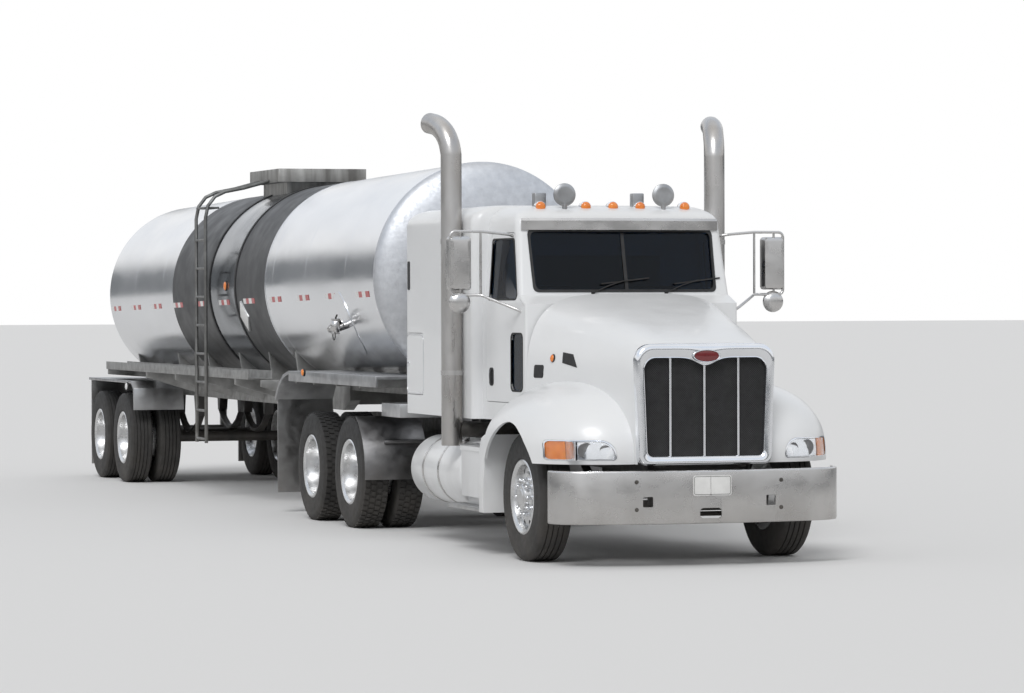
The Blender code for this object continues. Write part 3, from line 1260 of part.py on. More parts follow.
def make_seats(joint):
    """Both seats on their pedestals, joined by the floor mat."""
    floor = CAB_FLOOR + CAB_WALL + SEAT_GAP
    half = CAB_HALF_FRONT - DOOR_FLANGE - DASH_INSET
    front, cushion = SEAT_STATION, floor + SEAT_BASE
    seats = [box((-half, half), (front - FLOOR_MAT, CAB_REAR - CAB_WALL - RUN_GAP),
                 (floor, floor + FLOOR_MAT))]
    back_rear = front + SEAT_DEPTH - FLOOR_MAT / 2
    foot = cushion + SEAT_CUSHION / 2
    back = [(back_rear - SEAT_BACK_THICKNESS, foot), (back_rear, foot),
            (back_rear + SEAT_BACK_LEAN / 2, foot + SEAT_BACK_HEIGHT),
            (back_rear - SEAT_BACK_THICKNESS + SEAT_BACK_LEAN, foot + SEAT_BACK_HEIGHT)]
    for x in (DRIVER_X, -DRIVER_X):
        seats.append(box((x - SEAT_PEDESTAL / 2, x + SEAT_PEDESTAL / 2),
                         (front + SEAT_DEPTH / 8, front + SEAT_DEPTH * 0.7), (floor + FLOOR_MAT / 2,
                                                                              cushion + FLOOR_MAT)))
        seats.append(box((x - SEAT_WIDTH / 2, x + SEAT_WIDTH / 2), (front, front + SEAT_DEPTH),
                         (cushion, cushion + SEAT_CUSHION)))
        seats.append(prism(back, "X", (x - SEAT_WIDTH * 0.48, x + SEAT_WIDTH * 0.48)))
    node("seats", "trim_dark", joint, seats)


def make_fuel_tank(joint, side, word):
    """Round tank in its two straps, each on a bracket from the frame rail."""
    radius, x, z = FUEL_TANK_RADIUS, FUEL_TANK_X, FUEL_TANK_HEIGHT
    length = FUEL_TANK_REAR - FUEL_TANK_FRONT
    solids = [turned([(0, radius * 0.85), (FUEL_TANK_EDGE, radius), (length - FUEL_TANK_EDGE, radius),
                      (length, radius * 0.85)], 20, (x, FUEL_TANK_FRONT, z), (0, 1, 0))]
    rail_low = RAIL_TOP - RAIL_HEIGHT
    top = rail_low + FUEL_BRACKET_INSET + FUEL_BRACKET_DEPTH
    for share in FUEL_STRAP_SHARES:
        station = FUEL_TANK_FRONT + length * share
        along = (station, station + STRAP_WIDTH)
        solids.append(turned([(0, radius + STRAP_RISE), (STRAP_WIDTH, radius + STRAP_RISE)], 20,
                             (x, station, z), (0, 1, 0)))
        solids.append(box((RAIL_HALF_WIDTH + SEAT_GAP, x - radius * 0.8), along,
                          (rail_low + FUEL_BRACKET_INSET, top)))
        solids.append(box((x - radius - FUEL_TANK_EDGE, x - radius * 0.7), along, (z - radius * 0.5, top)))
    node(f"fuel_tank_{word}", "white_paint", joint, [sided(solid, side) for solid in solids])


def make_step_box(joint, side, word):
    """Battery box with its ribbed step and the rear tail of the wheel arch."""
    outer, lid = STEP_OUTER_X, STEP_LID_RIM
    rail_low = RAIL_TOP - RAIL_HEIGHT + FUEL_BRACKET_INSET
    solids = [box((STEP_INNER_X, outer), (STEP_FRONT, STEP_REAR), (STEP_BOX_BOTTOM, STEP_BOX_TOP)),
              box((STEP_INNER_X, outer + lid), (STEP_FRONT, STEP_REAR + lid),
                  (STEP_BOX_TOP - STEP_LID, STEP_BOX_TOP))]
    for station in (STEP_FRONT + STEP_BRACKET_INSET, STEP_REAR - STEP_BRACKET_INSET - STEP_BRACKET):
        solids.append(box((RAIL_HALF_WIDTH + SEAT_GAP, STEP_INNER_X + STEP_LID),
                          (station, station + STEP_BRACKET),
                          (rail_low, STEP_BOX_TOP - lid)))
    sheet, inner = STEP_TREAD_SHEET, outer - STEP_TREAD_DEPTH
    front = TAIL_REAR - sheet
    solids.append(box((inner, outer + STEP_TREAD), (front, STEP_REAR + STEP_TREAD_OVERHANG),
                      (STEP_TREAD_Z - sheet, STEP_TREAD_Z)))
    solids.append(box((inner, inner + STEP_HANGER), (front, STEP_REAR),
                      (STEP_TREAD_Z - sheet / 2, STEP_BOX_BOTTOM + sheet / 2)))
    arch = arc((0, AXLE_HEIGHT), TAIL_RADIUS, -14, 28, 5)
    tail = [(max(a, HOOD_REAR + TAIL_GAP), b) for a, b in arch]
    tail += [(HOOD_REAR + TAIL_GAP, TAIL_TOP),
             (TAIL_REAR - TAIL_SHOULDER_RUN, TAIL_TOP - TAIL_SHOULDER_DROP),
             (TAIL_REAR, TAIL_TOP - TAIL_SHOULDER), (TAIL_REAR, tail[0][1])]
    edge = FENDER_HALF_WIDTH - TAIL_INSET
    solids.append(prism(tail, "X", (edge - TAIL_WIDTH, edge)))
    solids.append(box((outer - TAIL_STRUT, outer - lid), (front, STEP_FRONT + sheet),
                      (STEP_BOX_TOP - TAIL_STRUT * 2, STEP_BOX_TOP - TAIL_STRUT)))
    node(f"step_box_{word}", "white_paint", joint, [sided(solid, side) for solid in solids])


def make_stack(joint, side, word):
    """Vertical pipe with a swept, slash-cut tip, a closed foot and its branch to the frame."""
    x, y = STACK_X, STACK_STATION
    # columns: shares of the tip's lean, of its run and of its rise
    bend_shares = ((0, 0, 0), (0.11, 0.094, 0.364), (0.33, 0.31, 0.69), (0.67, 0.62, 0.91), (1, 1, 1))
    bend = [(x + STACK_TIP_LEAN * lean, y + STACK_TIP_RUN * run, STACK_BEND + STACK_TIP_RISE * rise)
            for lean, run, rise in bend_shares]
    past = Vector(bend[-1]) + (Vector(bend[-1]) - Vector(bend[-2]))
    pipe = tube([(x, y, STACK_FOOT)] + bend, STACK_RADIUS, 16)
    bore = tube([(x, y, STACK_BEND - STACK_BORE)] + bend[:-1] + [tuple(past)], STACK_RADIUS - STACK_WALL,
                16)
    branch = cylinder((RAIL_HALF_WIDTH + BRANCH_RADIUS / 2 + SEAT_GAP, y, BRANCH_HEIGHT), (x, y, BRANCH_HEIGHT),
                      BRANCH_RADIUS, 12)
    half = STACK_STAY_WIDTH / 2
    stays = [box((SLEEPER_HALF_WIDTH + SEAT_GAP, x), (y - half, y + half), (z, z + STACK_STAY_WIDTH))
             for z in STACK_STAYS]
    solids = [pipe, branch] + stays
    node(f"exhaust_stack_{word}", "polished_steel", joint, [sided(solid, side) for solid in solids],
         cut=[sided(bore, side)], sharp=40)


def make_rear_deck(joint):
    low = DECK_TOP - DECK_DEPTH
    deck = box((-DECK_HALF_WIDTH, DECK_HALF_WIDTH), (DECK_FRONT, DECK_REAR), (low, DECK_TOP))
    feet = [sided(box((RAIL_HALF_WIDTH - RAIL_FLANGE, RAIL_HALF_WIDTH),
                      (DECK_FRONT + DECK_FOOT_INSET, DECK_REAR - DECK_FOOT_INSET),
                      (RAIL_TOP + SEAT_GAP, low + DECK_FOOT_INSET)), side) for side in (1, -1)]
    node("rear_deck", "trailer_grey", joint, [deck] + feet)
    for side, word in ((1, "left"), (-1, "right")):
        outer = arc((DRIVE_AXLE, AXLE_HEIGHT), QUARTER_RADIUS, 118, 180,
                    6) + [(DRIVE_AXLE - QUARTER_RADIUS, QUARTER_BOTTOM)]
        inner = [(DRIVE_AXLE - QUARTER_RADIUS + QUARTER_SHEET, QUARTER_BOTTOM)]
        inner += arc((DRIVE_AXLE, AXLE_HEIGHT), QUARTER_RADIUS - QUARTER_SHEET, 180, 118, 6)
        sheet = prism(outer + inner, "X", (DUAL_TYRE_FACE_X - QUARTER_WIDTH, DUAL_TYRE_FACE_X))
        bar_rise = QUARTER_BAR_HEIGHT - AXLE_HEIGHT
        bar_y = DRIVE_AXLE - sqrt((QUARTER_RADIUS + QUARTER_BAR / 2) ** 2 - bar_rise ** 2)
        bar = cylinder((RAIL_HALF_WIDTH + SEAT_GAP, bar_y, QUARTER_BAR_HEIGHT),
                       (DUAL_TYRE_FACE_X - QUARTER_BAR_INSET, bar_y, QUARTER_BAR_HEIGHT), QUARTER_BAR, 10)
        node(f"quarter_fender_{word}", "aluminium", joint, [sided(sheet, side), sided(bar, side)])


def make_fifth_wheel(joint):
    """Top plate with its open throat, on pivots above the rails."""
    top = COUPLER_BOTTOM - SEAT_GAP
    plate = cylinder((0, KINGPIN, top - FIFTH_WHEEL_PLATE), (0, KINGPIN, top), FIFTH_WHEEL_RADIUS, 32)
    foot, head = RAIL_TOP + SEAT_GAP, top - FIFTH_WHEEL_PLATE / 2
    leg = [(KINGPIN - FIFTH_WHEEL_LEG_HALF, foot), (KINGPIN + FIFTH_WHEEL_LEG_HALF, foot),
           (KINGPIN + FIFTH_WHEEL_LEG_TOP, head), (KINGPIN - FIFTH_WHEEL_LEG_TOP, head)]
    inner = RAIL_HALF_WIDTH - RAIL_FLANGE
    legs = [sided(prism(leg, "X", (inner, inner + FIFTH_WHEEL_LEG_WIDTH)), side) for side in (1, -1)]
    hole = cylinder((0, KINGPIN, top - 2 * FIFTH_WHEEL_PLATE), (0, KINGPIN, top + OVERRUN),
                    KINGPIN_RADIUS + KINGPIN_PLAY, 24)
    throat = prism([(-KINGPIN_RADIUS * 0.9, KINGPIN), (KINGPIN_RADIUS * 0.9, KINGPIN),
                    (FIFTH_WHEEL_RADIUS * 0.4, KINGPIN + FIFTH_WHEEL_RADIUS + OVERRUN),
                    (-FIFTH_WHEEL_RADIUS * 0.4, KINGPIN + FIFTH_WHEEL_RADIUS + OVERRUN)], "Z",
                   (top - 2 * FIFTH_WHEEL_PLATE, top + OVERRUN))
    node("fifth_wheel", "cast_iron", joint, [plate] + legs, cut=[hole, throat])


# Trailer

def tank_axis(station):
    share = (station - TANK_FRONT) / (TANK_REAR - TANK_FRONT)
    return TANK_FRONT_AXIS + (TANK_REAR_AXIS - TANK_FRONT_AXIS) * share


def tank_body(grow):
    """The turned tank: domed heads with rolled rims, and the raised hoops round the barrel."""
    start = Vector((0, TANK_FRONT, TANK_FRONT_AXIS))
    run = Vector((0, TANK_REAR, TANK_REAR_AXIS)) - start
    length = run.length
    radius, bulge, lip = TANK_RADIUS + grow, HEAD_BULGE - RIM_LIP, RIM_LIP + grow
    # columns: share of the dome's depth, share of its radius
    dome_shares = ((0, 1), (0.35, 0.88), (0.7, 0.66), (0.92, 0.36), (1, 0))
    front = [(-lip - bulge * depth, (radius - RIM_LIP) * share) for depth, share in dome_shares[::-1]]
    rear = [(length + lip + bulge * depth, (radius - RIM_LIP) * share) for depth, share in dome_shares]
    profile = front + [(-lip, radius - RIM_LIP / 2), (0, radius)]
    for share in HOOP_SHARES:
        low, high = length * share - HOOP_WIDTH / 2 - grow, length * share + HOOP_WIDTH / 2 + grow
        profile += [(low, radius), (low, radius + HOOP_RISE), (high, radius + HOOP_RISE), (high, radius)]
    profile += [(length, radius), (length + lip, radius - RIM_LIP / 2)] + rear
    return turned(profile, TANK_SIDES, start, run)


def make_tank(joint):
    collar_z = tank_axis(MANHOLE_STATION) + TANK_RADIUS
    collar = cylinder((0, MANHOLE_STATION, collar_z - 2 * OVERRUN),
                      (0, MANHOLE_STATION, collar_z + COLLAR_RISE),
                      MANHOLE_RADIUS, 24)
    node("tank", "tank_steel", joint, [tank_body(0), collar], sharp=25)


def make_manhole_lid(joint):
    z = tank_axis(MANHOLE_STATION) + TANK_RADIUS + COLLAR_RISE + SEAT_GAP
    rim, rise = MANHOLE_RADIUS + LID_OVERHANG, LID_HEIGHT
    lid = turned([(0, rim), (rise * 0.375, rim), (rise * 0.875, MANHOLE_RADIUS * 0.5), (rise, 0)], 24,
                 (0, MANHOLE_STATION, z), (0, 0, 1))
    tongue = box((-LID_TONGUE / 2, LID_TONGUE / 2),
                 (MANHOLE_STATION + MANHOLE_RADIUS * 0.7, MANHOLE_STATION + rim + LID_HINGE_REACH),
                 (z, z + rise * 0.375))
    node("manhole_lid", "aluminium", joint, [lid, tongue])


def hose_tray(side):
    """An open channel along the barrel, carried on the saddles' ends."""
    outer, inner, low, high = TRAY_X, TRAY_X - TRAY_WIDTH, TRAY_BOTTOM, TRAY_BOTTOM + TRAY_HEIGHT
    outline = [(inner, low), (outer, low), (outer, high), (outer - TRAY_SHEET, high),
               (outer - TRAY_SHEET, low + TRAY_SHEET),
               (inner + TRAY_SHEET, low + TRAY_SHEET), (inner + TRAY_SHEET, high), (inner, high)]
    return sided(prism(outline, "Y", (TRAY_FRONT, TRAY_REAR)), side)


def saddle(station):
    """A cross sheet cradling the barrel, from the beams out to both hose trays."""
    axis = tank_axis(station)
    on_fender = station > REAR_FENDER_FRONT - OVERRUN
    foot = REAR_FENDER_TOP + SEAT_GAP if on_fender else BEAM_BOTTOM + SADDLE_FOOT_RISE
    shelf, root = TRAY_BOTTOM + SADDLE_LAP, BEAM_X + BEAM_WIDTH / 2
    half = [(root, foot), (TRAY_X, TRAY_BOTTOM - SADDLE_DEPTH), (TRAY_X, shelf),
            (TANK_RADIUS * 0.72, shelf),
            (TANK_RADIUS * 0.78, axis - TANK_RADIUS * 0.5)]
    outline = half + [(-x, z) for x, z in half[::-1]]
    return prism(outline, "Y", (station - CROSS_SHEET / 2, station + CROSS_SHEET / 2))


def rear_guard():
    """The guard bar and the lamp panel on two arms behind the beams."""
    rear = REAR_END - GUARD_SETBACK
    arm_top = BEAM_BOTTOM + GUARD_SETBACK + GUARD_ARM_DEPTH
    solids = []
    for side in (1, -1):
        solids.append(sided(box((BEAM_X - GUARD_ARM / 2, BEAM_X + GUARD_ARM / 2),
                                (BEAM_REAR - GUARD_BAR, rear),
                                (BEAM_BOTTOM + GUARD_SETBACK, arm_top)), side))
        solids.append(sided(box((BEAM_X - GUARD_POST / 2, BEAM_X + GUARD_POST / 2),
                                (rear - GUARD_POST, rear),
                                (GUARD_HEIGHT, arm_top)), side))
    solids.append(box((-GUARD_HALF, GUARD_HALF), (REAR_END - GUARD_BAR, REAR_END),
                      (GUARD_HEIGHT, GUARD_HEIGHT + GUARD_BAR)))
    panel = REAR_END - PANEL_SETBACK
    solids.append(box((-GUARD_HALF, GUARD_HALF), (panel - PANEL_SHEET, panel),
                      (BEAM_BOTTOM, BEAM_BOTTOM + PANEL_HEIGHT)))
    return solids


def make_trailer_frame(joint):
    """Coupler plate and kingpin, twin beams, outriggers, saddles and rear guard, all under the tank."""
    plate = (TANK_FRONT + COUPLER_INSET, BEAM_FRONT + COUPLER_LAP)
    solids = [box((-COUPLER_HALF, COUPLER_HALF), plate, (COUPLER_BOTTOM, COUPLER_BOTTOM + COUPLER_PLATE))]
    solids.append(cylinder((0, KINGPIN, COUPLER_BOTTOM - KINGPIN_DROP),
                           (0, KINGPIN, COUPLER_BOTTOM + COUPLER_PLATE / 2),
                           KINGPIN_RADIUS, 24))
    top = BEAM_BOTTOM + BEAM_HEIGHT
    beam = [(BEAM_FRONT, BEAM_BOTTOM + BEAM_NOSE_RISE), (BEAM_FRONT + BEAM_NOSE_RUN, BEAM_BOTTOM),
            (BEAM_REAR, BEAM_BOTTOM), (BEAM_REAR, top), (BEAM_FRONT, top)]
    for side in (1, -1):
        solids.append(sided(box((COUPLER_HALF - COUPLER_WEB, COUPLER_HALF), plate,
                                (COUPLER_BOTTOM, COUPLER_BOTTOM + COUPLER_WEB_HEIGHT)), side))
        solids.append(sided(prism(beam, "X", (BEAM_X - BEAM_WIDTH / 2, BEAM_X + BEAM_WIDTH / 2)), side))
    reach = FENDER_OUTER_X - OUTRIGGER_INSET
    for station in COUPLER_OUTRIGGERS:
        solids.append(box((-reach, reach), (station - CROSS_SHEET / 2, station + CROSS_SHEET / 2),
                          (FENDER_PLATE_BOTTOM - OUTRIGGER_DEPTH, FENDER_PLATE_BOTTOM - SEAT_GAP)))
    solids += [saddle(BEAM_FRONT + (BEAM_REAR - BEAM_FRONT) * share) for share in SADDLE_SHARES]
    solids += [hose_tray(1), hose_tray(-1)] + rear_guard()
    node("trailer_frame", "trailer_grey", joint, solids, cut=[tank_body(SEAT_GAP)])


def make_trailer_suspension(joint):
    """Both axles with their leaf springs, on hangers; the middle hanger carries both springs."""
    reach = DUAL_X - DUAL_SPACING / 2 - DRUM_OFFSET - SEAT_GAP
    ends = axle_ends(reach, AXLE_TUBE * 0.9)
    profile = ends + [(-along, radius) for along, radius in ends[::-1]]
    front, rear, half = TRAILER_AXLE, TRAILER_AXLE + TRAILER_AXLE_SPACING, TRAILER_SPRING_HALF
    middle, lap = (front + rear) / 2, HANGER_MIDDLE_LAP
    solids = [turned(profile, 12, (0, station, AXLE_HEIGHT), (1, 0, 0)) for station in (front, rear)]
    # columns: foot front, foot rear, head front, head rear
    hangers = ((front - half, front - half + HANGER_FOOT, front - half - HANGER_FLARE,
                front - half + HANGER_FOOT + HANGER_FLARE_WIDE),
               (front + half - lap, rear - half + lap, middle - HANGER_MIDDLE_HALF,
                middle + HANGER_MIDDLE_HALF),
               (rear + half - HANGER_FOOT, rear + half, rear + half - HANGER_FOOT - HANGER_FLARE_WIDE,
                rear + half + HANGER_FLARE))
    low, top = HANGER_BOTTOM - HANGER_LIP, BEAM_BOTTOM - SEAT_GAP
    for side in (1, -1):
        for station in (front, rear):
            solids.append(leaf_spring(station, half, AXLE_HEIGHT + AXLE_TUBE * 0.6, HANGER_BOTTOM, side))
        for foot_front, foot_rear, head_front, head_rear in hangers:
            outline = [(foot_front, low), (foot_rear, low), (head_rear, top), (head_front, top)]
            solids.append(sided(prism(outline, "X",
                                      (RAIL_HALF_WIDTH - LEAF_WIDTH,
                                       RAIL_HALF_WIDTH + HANGER_OVERLAP)), side))
    node("trailer_suspension", "frame_black", joint, solids)


def make_front_fender(joint, side, word):
    """Flat plate over the drive wheels, its edge skirt, the rear turn-down and the flap."""
    low, high = FENDER_PLATE_BOTTOM, FENDER_PLATE_BOTTOM + FENDER_PLATE
    turn, drop = FENDER_REAR - FENDER_TURN, FENDER_TURN_DROP + FENDER_PLATE
    # columns: share of the turn's run, share of its drop
    turn_shares = ((0, 0), (0.407, 0.148), (0.741, 0.481), (1, 1))
    top = [(FENDER_FRONT, high)] + [(FENDER_TURN + turn * run, high - drop * down) for run,
                                    down in turn_shares]
    bottom = [(station - FENDER_PLATE * index / 3, z - FENDER_PLATE) for index,
              (station, z) in enumerate(top)]
    plate = prism(top + bottom[::-1], "X", (FENDER_INSIDE_X, FENDER_OUTER_X))
    flap_rear = FENDER_REAR - FLAP_SETBACK
    flap = box((FENDER_INSIDE_X, FENDER_OUTER_X - FLAP_INSET), (flap_rear - FLAP_SHEET, flap_rear),
               (FLAP_BOTTOM, low - FENDER_TURN_DROP * 0.8))
    skirt = box((FENDER_OUTER_X - FENDER_SKIRT_SHEET, FENDER_OUTER_X), (FENDER_FRONT, FENDER_TURN),
                (low - FENDER_SKIRT, low + FENDER_PLATE / 2))
    node(f"trailer_fender_{word}", "aluminium", joint,
         [sided(solid, side) for solid in (plate, flap, skirt)])


def make_rear_fender(joint, side, word):
    """Plate over both trailer wheels, turned down at its front, on arms from the beam."""
    sheet, front, rear, nose = FENDER_PLATE, REAR_FENDER_FRONT, REAR_FENDER_REAR, REAR_FENDER_NOSE
    low, high = REAR_FENDER_TOP - sheet, REAR_FENDER_TOP
    top = [(front, REAR_FENDER_LIP), (front + nose / 5, low - nose / 3), (front + nose, high), (rear, high)]
    bottom = [(front + sheet, REAR_FENDER_LIP), (front + nose / 5 + sheet, low - nose * 0.4),
              (front + nose + sheet / 2, low), (rear, low)]
    plate = prism(top + bottom[::-1], "X", (FENDER_INSIDE_X, FENDER_OUTER_X))
    flap_rear = rear - FLAP_SETBACK
    flap = box((FENDER_INSIDE_X, FENDER_OUTER_X - FLAP_INSET), (flap_rear - FLAP_SHEET, flap_rear),
               (FLAP_BOTTOM - REAR_FLAP_DROP, low + sheet / 2))
    solids = [plate, flap]
    for share in REAR_FENDER_ARM_SHARES:
        station = front + (rear - front) * share
        solids.append(box((BEAM_X + BEAM_WIDTH / 2 + SEAT_GAP, FENDER_INSIDE_X + REAR_FENDER_ARM * 2),
                          (station - REAR_FENDER_ARM / 2, station + REAR_FENDER_ARM / 2),
                          (low - REAR_FENDER_ARM, low + sheet / 2)))
    node(f"rear_fender_{word}", "aluminium", joint, [sided(solid, side) for solid in solids])


def make_ladder(joint):
    """Right-hand ladder whose hooped top rails end on the spill box."""
    top = tank_axis(MANHOLE_STATION) + TANK_RADIUS
    stations = (LADDER_STATION - LADDER_WIDTH / 2, LADDER_STATION + LADDER_WIDTH / 2)
    bend, reach = top - LADDER_BEND_DROP, LADDER_X - SPILL_HALF - SEAT_GAP
    rise = LADDER_BEND_DROP + LADDER_TOP_RISE
    # columns: share of the way in to the spill box, share of the rise above the bend
    bend_shares = ((0, 0), (0.04, 0.33), (0.15, 0.58), (0.31, 0.71), (0.6, 0.81), (1, 1))
    curve = [(LADDER_X - reach * across, bend + rise * up) for across, up in bend_shares]
    solids = []
    for station in stations:
        solids.append(tube([(LADDER_X, station, LADDER_FOOT)] + [(x, station, z) for x, z in curve], LADDER_TUBE, 8))
    first = LADDER_FOOT + RUNG_OFFSET
    rungs = [(LADDER_X, first + RUNG_PITCH * step) for step in range(int((bend - first) / RUNG_PITCH) + 1)]
    for x, z in rungs + [curve[-2]]:
        solids.append(cylinder((x, stations[0], z), (x, stations[1], z), LADDER_TUBE * 0.8, 6))
    plate = top - LADDER_PLATE_DROP
    solids.append(box((LADDER_X - LADDER_PLATE_WIDTH, LADDER_X), stations, (plate, plate + LADDER_PLATE)))
    wall = SPILL_HALF + SEAT_GAP
    node("ladder", "trailer_grey", joint, [mirrored(solid) for solid in solids],
         cut=[box((-wall, wall), (stations[0] - LADDER_WIDTH, stations[1] + LADDER_WIDTH), (top, top + 2 * rise)),
              tank_body(SEAT_GAP)])


def make_spill_box(joint):
    """Tray round the manhole, on a coaming whose foot follows the tank."""
    top = tank_axis(MANHOLE_STATION) + TANK_RADIUS
    floor, rim = top + SPILL_RISE, top + SPILL_RISE + SPILL_HEIGHT
    front, rear = MANHOLE_STATION - SPILL_LENGTH / 2, MANHOLE_STATION + SPILL_LENGTH / 2
    half, wall, inset = SPILL_HALF, SPILL_WALL, COAMING_INSET
    walls = [box((-half, half), (front, rear), (floor, rim)),
             box((inset - half, half - inset), (front + inset, rear - inset),
                 (top - COAMING_DROP, floor + SPILL_FLOOR / 2))]
    inset += COAMING_WALL
    hollows = [box((wall - half, half - wall), (front + wall, rear - wall), (floor + SPILL_FLOOR, rim + OVERRUN)),
               box((inset - half, half - inset), (front + inset, rear - inset), (top - COAMING_DROP - OVERRUN, rim))]
    node("spill_box", "trailer_grey", joint, walls, cut=hollows + [tank_body(SEAT_GAP)])


def make_landing_gear(joint):
    """Two legs, each a sleeve, an inner tube and a shoe, with the cross shaft between them."""
    solids = []
    # columns: half width of the square, bottom, top
    parts = ((LEG / 2, LEG_BOTTOM + LEG_SLEEVE, LEG_TOP),
             (LEG * 0.36, LEG_BOTTOM, LEG_BOTTOM + LEG_INNER_LAP),
             (LEG * 0.9, LEG_BOTTOM, LEG_BOTTOM + LEG_SHOE))
    for half, low, high in parts:
        for side in (1, -1):
            solids.append(sided(box((LEG_X - half, LEG_X + half), (LEG_STATION - half, LEG_STATION + half),
                                    (low, high)),
                                side))
    solids.append(cylinder((-LEG_X, LEG_STATION, LEG_SHAFT_HEIGHT), (LEG_X, LEG_STATION, LEG_SHAFT_HEIGHT),
                           LEG_SHAFT_RADIUS, 8))
    node("landing_gear", "trailer_grey", joint, solids)


def make_side_outlet(joint):
    """Oval pad on the right of the barrel with its stub, valve and nozzle."""
    station, z = OUTLET_STATION, tank_axis(OUTLET_STATION) - OUTLET_DROP
    face = TANK_RADIUS * OUTLET_PAD_FACE_SHARE
    turns = [2 * pi * step / 16 for step in range(16)]
    oval = [(station + OUTLET_PAD_HALF_LENGTH * cos(turn),
             z + OUTLET_PAD_HALF_HEIGHT * sin(turn)) for turn in turns]
    pad = prism(oval, "X", (face - OUTLET_PAD_DEPTH, face))
    y, x = station - OUTLET_STUB_OFFSET, face + OUTLET_VALVE_RADIUS
    drop = OUTLET_VALVE_HEIGHT / 3
    stub = cylinder((face - OUTLET_STUB_REACH, y, z), (x, y, z - drop), OUTLET_STUB_RADIUS, 12)
    valve = cylinder((x, y, z - 2 * drop), (x, y, z + drop), OUTLET_VALVE_RADIUS, 12)
    nozzle = cylinder((x, y, z - drop), (x, y + OUTLET_NOZZLE_LENGTH, z - drop), OUTLET_NOZZLE_RADIUS, 12)
    node("side_outlet", "polished_steel", joint, [mirrored(solid) for solid in (pad, stub, valve, nozzle)],
         cut=[tank_body(SEAT_GAP)])


def make_truck():
    clear_scene()
    tractor = joint_at("tractor", (0, 0, 0))
    make_chassis(tractor)
    make_bumper(tractor)
    make_front_axle(tractor)
    for place, station in (("front", DRIVE_AXLE), ("rear", DRIVE_AXLE + DRIVE_AXLE_SPACING)):
        make_drive_axle(tractor, f"drive_axle_{place}", station, RAIL_TOP - RAIL_HEIGHT - SEAT_GAP)
    make_engine(tractor)
    make_cab(tractor)
    make_visor(tractor)
    make_sleeper(tractor)
    make_dashboard(tractor)
    make_seats(tractor)
    make_rear_deck(tractor)
    make_fifth_wheel(tractor)
    hood = joint_at("hood_hinge", (0, HOOD_HINGE_STATION, HOOD_HINGE_HEIGHT), tractor)
    make_hood(hood)
    make_grille(hood)
    tie_rod = joint_at("tie_rod_pin",
                       (STEER_PIVOT_X - STEER_ARM_INSET, STEER_ARM_LENGTH - TIE_ROD_RADIUS, AXLE_HEIGHT),
                       tractor)
    make_tie_rod(tie_rod)
    for side, word in ((1, "left"), (-1, "right")):
        make_fuel_tank(tractor, side, word)
        make_step_box(tractor, side, word)
        make_stack(tractor, side, word)
        door = joint_at(f"door_hinge_{word}", (side * cab_half(DOOR_FRONT), DOOR_FRONT, DOOR_BOTTOM),
                        tractor)
        make_door(door, side, word)
        make_mirror(door, side, word)
        locker = joint_at(f"locker_hinge_{word}", (side * SLEEPER_HALF_WIDTH, LOCKER_FRONT, LOCKER_BOTTOM),
                          tractor)
        make_locker_door(locker, side, word)
        pivot = joint_at(f"kingpin_{word}", (side * STEER_PIVOT_X, 0, AXLE_HEIGHT), tractor)
        make_knuckle(pivot, side, word)
        spindle = joint_at(f"spindle_{word}", (side * STEER_TYRE_X, 0, AXLE_HEIGHT), pivot)
        make_front_wheel(spindle, side, word)
        for place, station in (("front", DRIVE_AXLE), ("rear", DRIVE_AXLE + DRIVE_AXLE_SPACING)):
            hub = joint_at(f"drive_hub_{place}_{word}", (side * DUAL_X, station, AXLE_HEIGHT), tractor)
            make_dual(f"drive_wheel_{place}_{word}", hub, station, side)
    trailer = joint_at("fifth_wheel_pivot", (0, KINGPIN, COUPLER_BOTTOM), tractor)
    make_tank(trailer)
    make_trailer_frame(trailer)
    make_trailer_suspension(trailer)
    make_ladder(trailer)
    make_spill_box(trailer)
    make_landing_gear(trailer)
    make_side_outlet(trailer)
    hinge_z = tank_axis(MANHOLE_STATION) + TANK_RADIUS + COLLAR_RISE + LID_HINGE_RISE
    lid = joint_at("manhole_hinge", (0, MANHOLE_STATION + MANHOLE_RADIUS + LID_HINGE_REACH, hinge_z), trailer)
    make_manhole_lid(lid)
    for side, word in ((1, "left"), (-1, "right")):
        make_front_fender(trailer, side, word)
        make_rear_fender(trailer, side, word)
        for place, station in (("front", TRAILER_AXLE), ("rear", TRAILER_AXLE + TRAILER_AXLE_SPACING)):
            hub = joint_at(f"trailer_hub_{place}_{word}", (side * DUAL_X, station, AXLE_HEIGHT), trailer)
            make_dual(f"trailer_wheel_{place}_{word}", hub, station, side)


make_truck()
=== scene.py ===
# Looks of the articulated tanker truck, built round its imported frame. Lengths are metres.
# A station is a distance behind the front axle; the frame's own y is a station plus axleY.

import json
from math import asin, cos, pi, radians, sin, sqrt

import bmesh
import bpy
from mathutils import Matrix, Vector

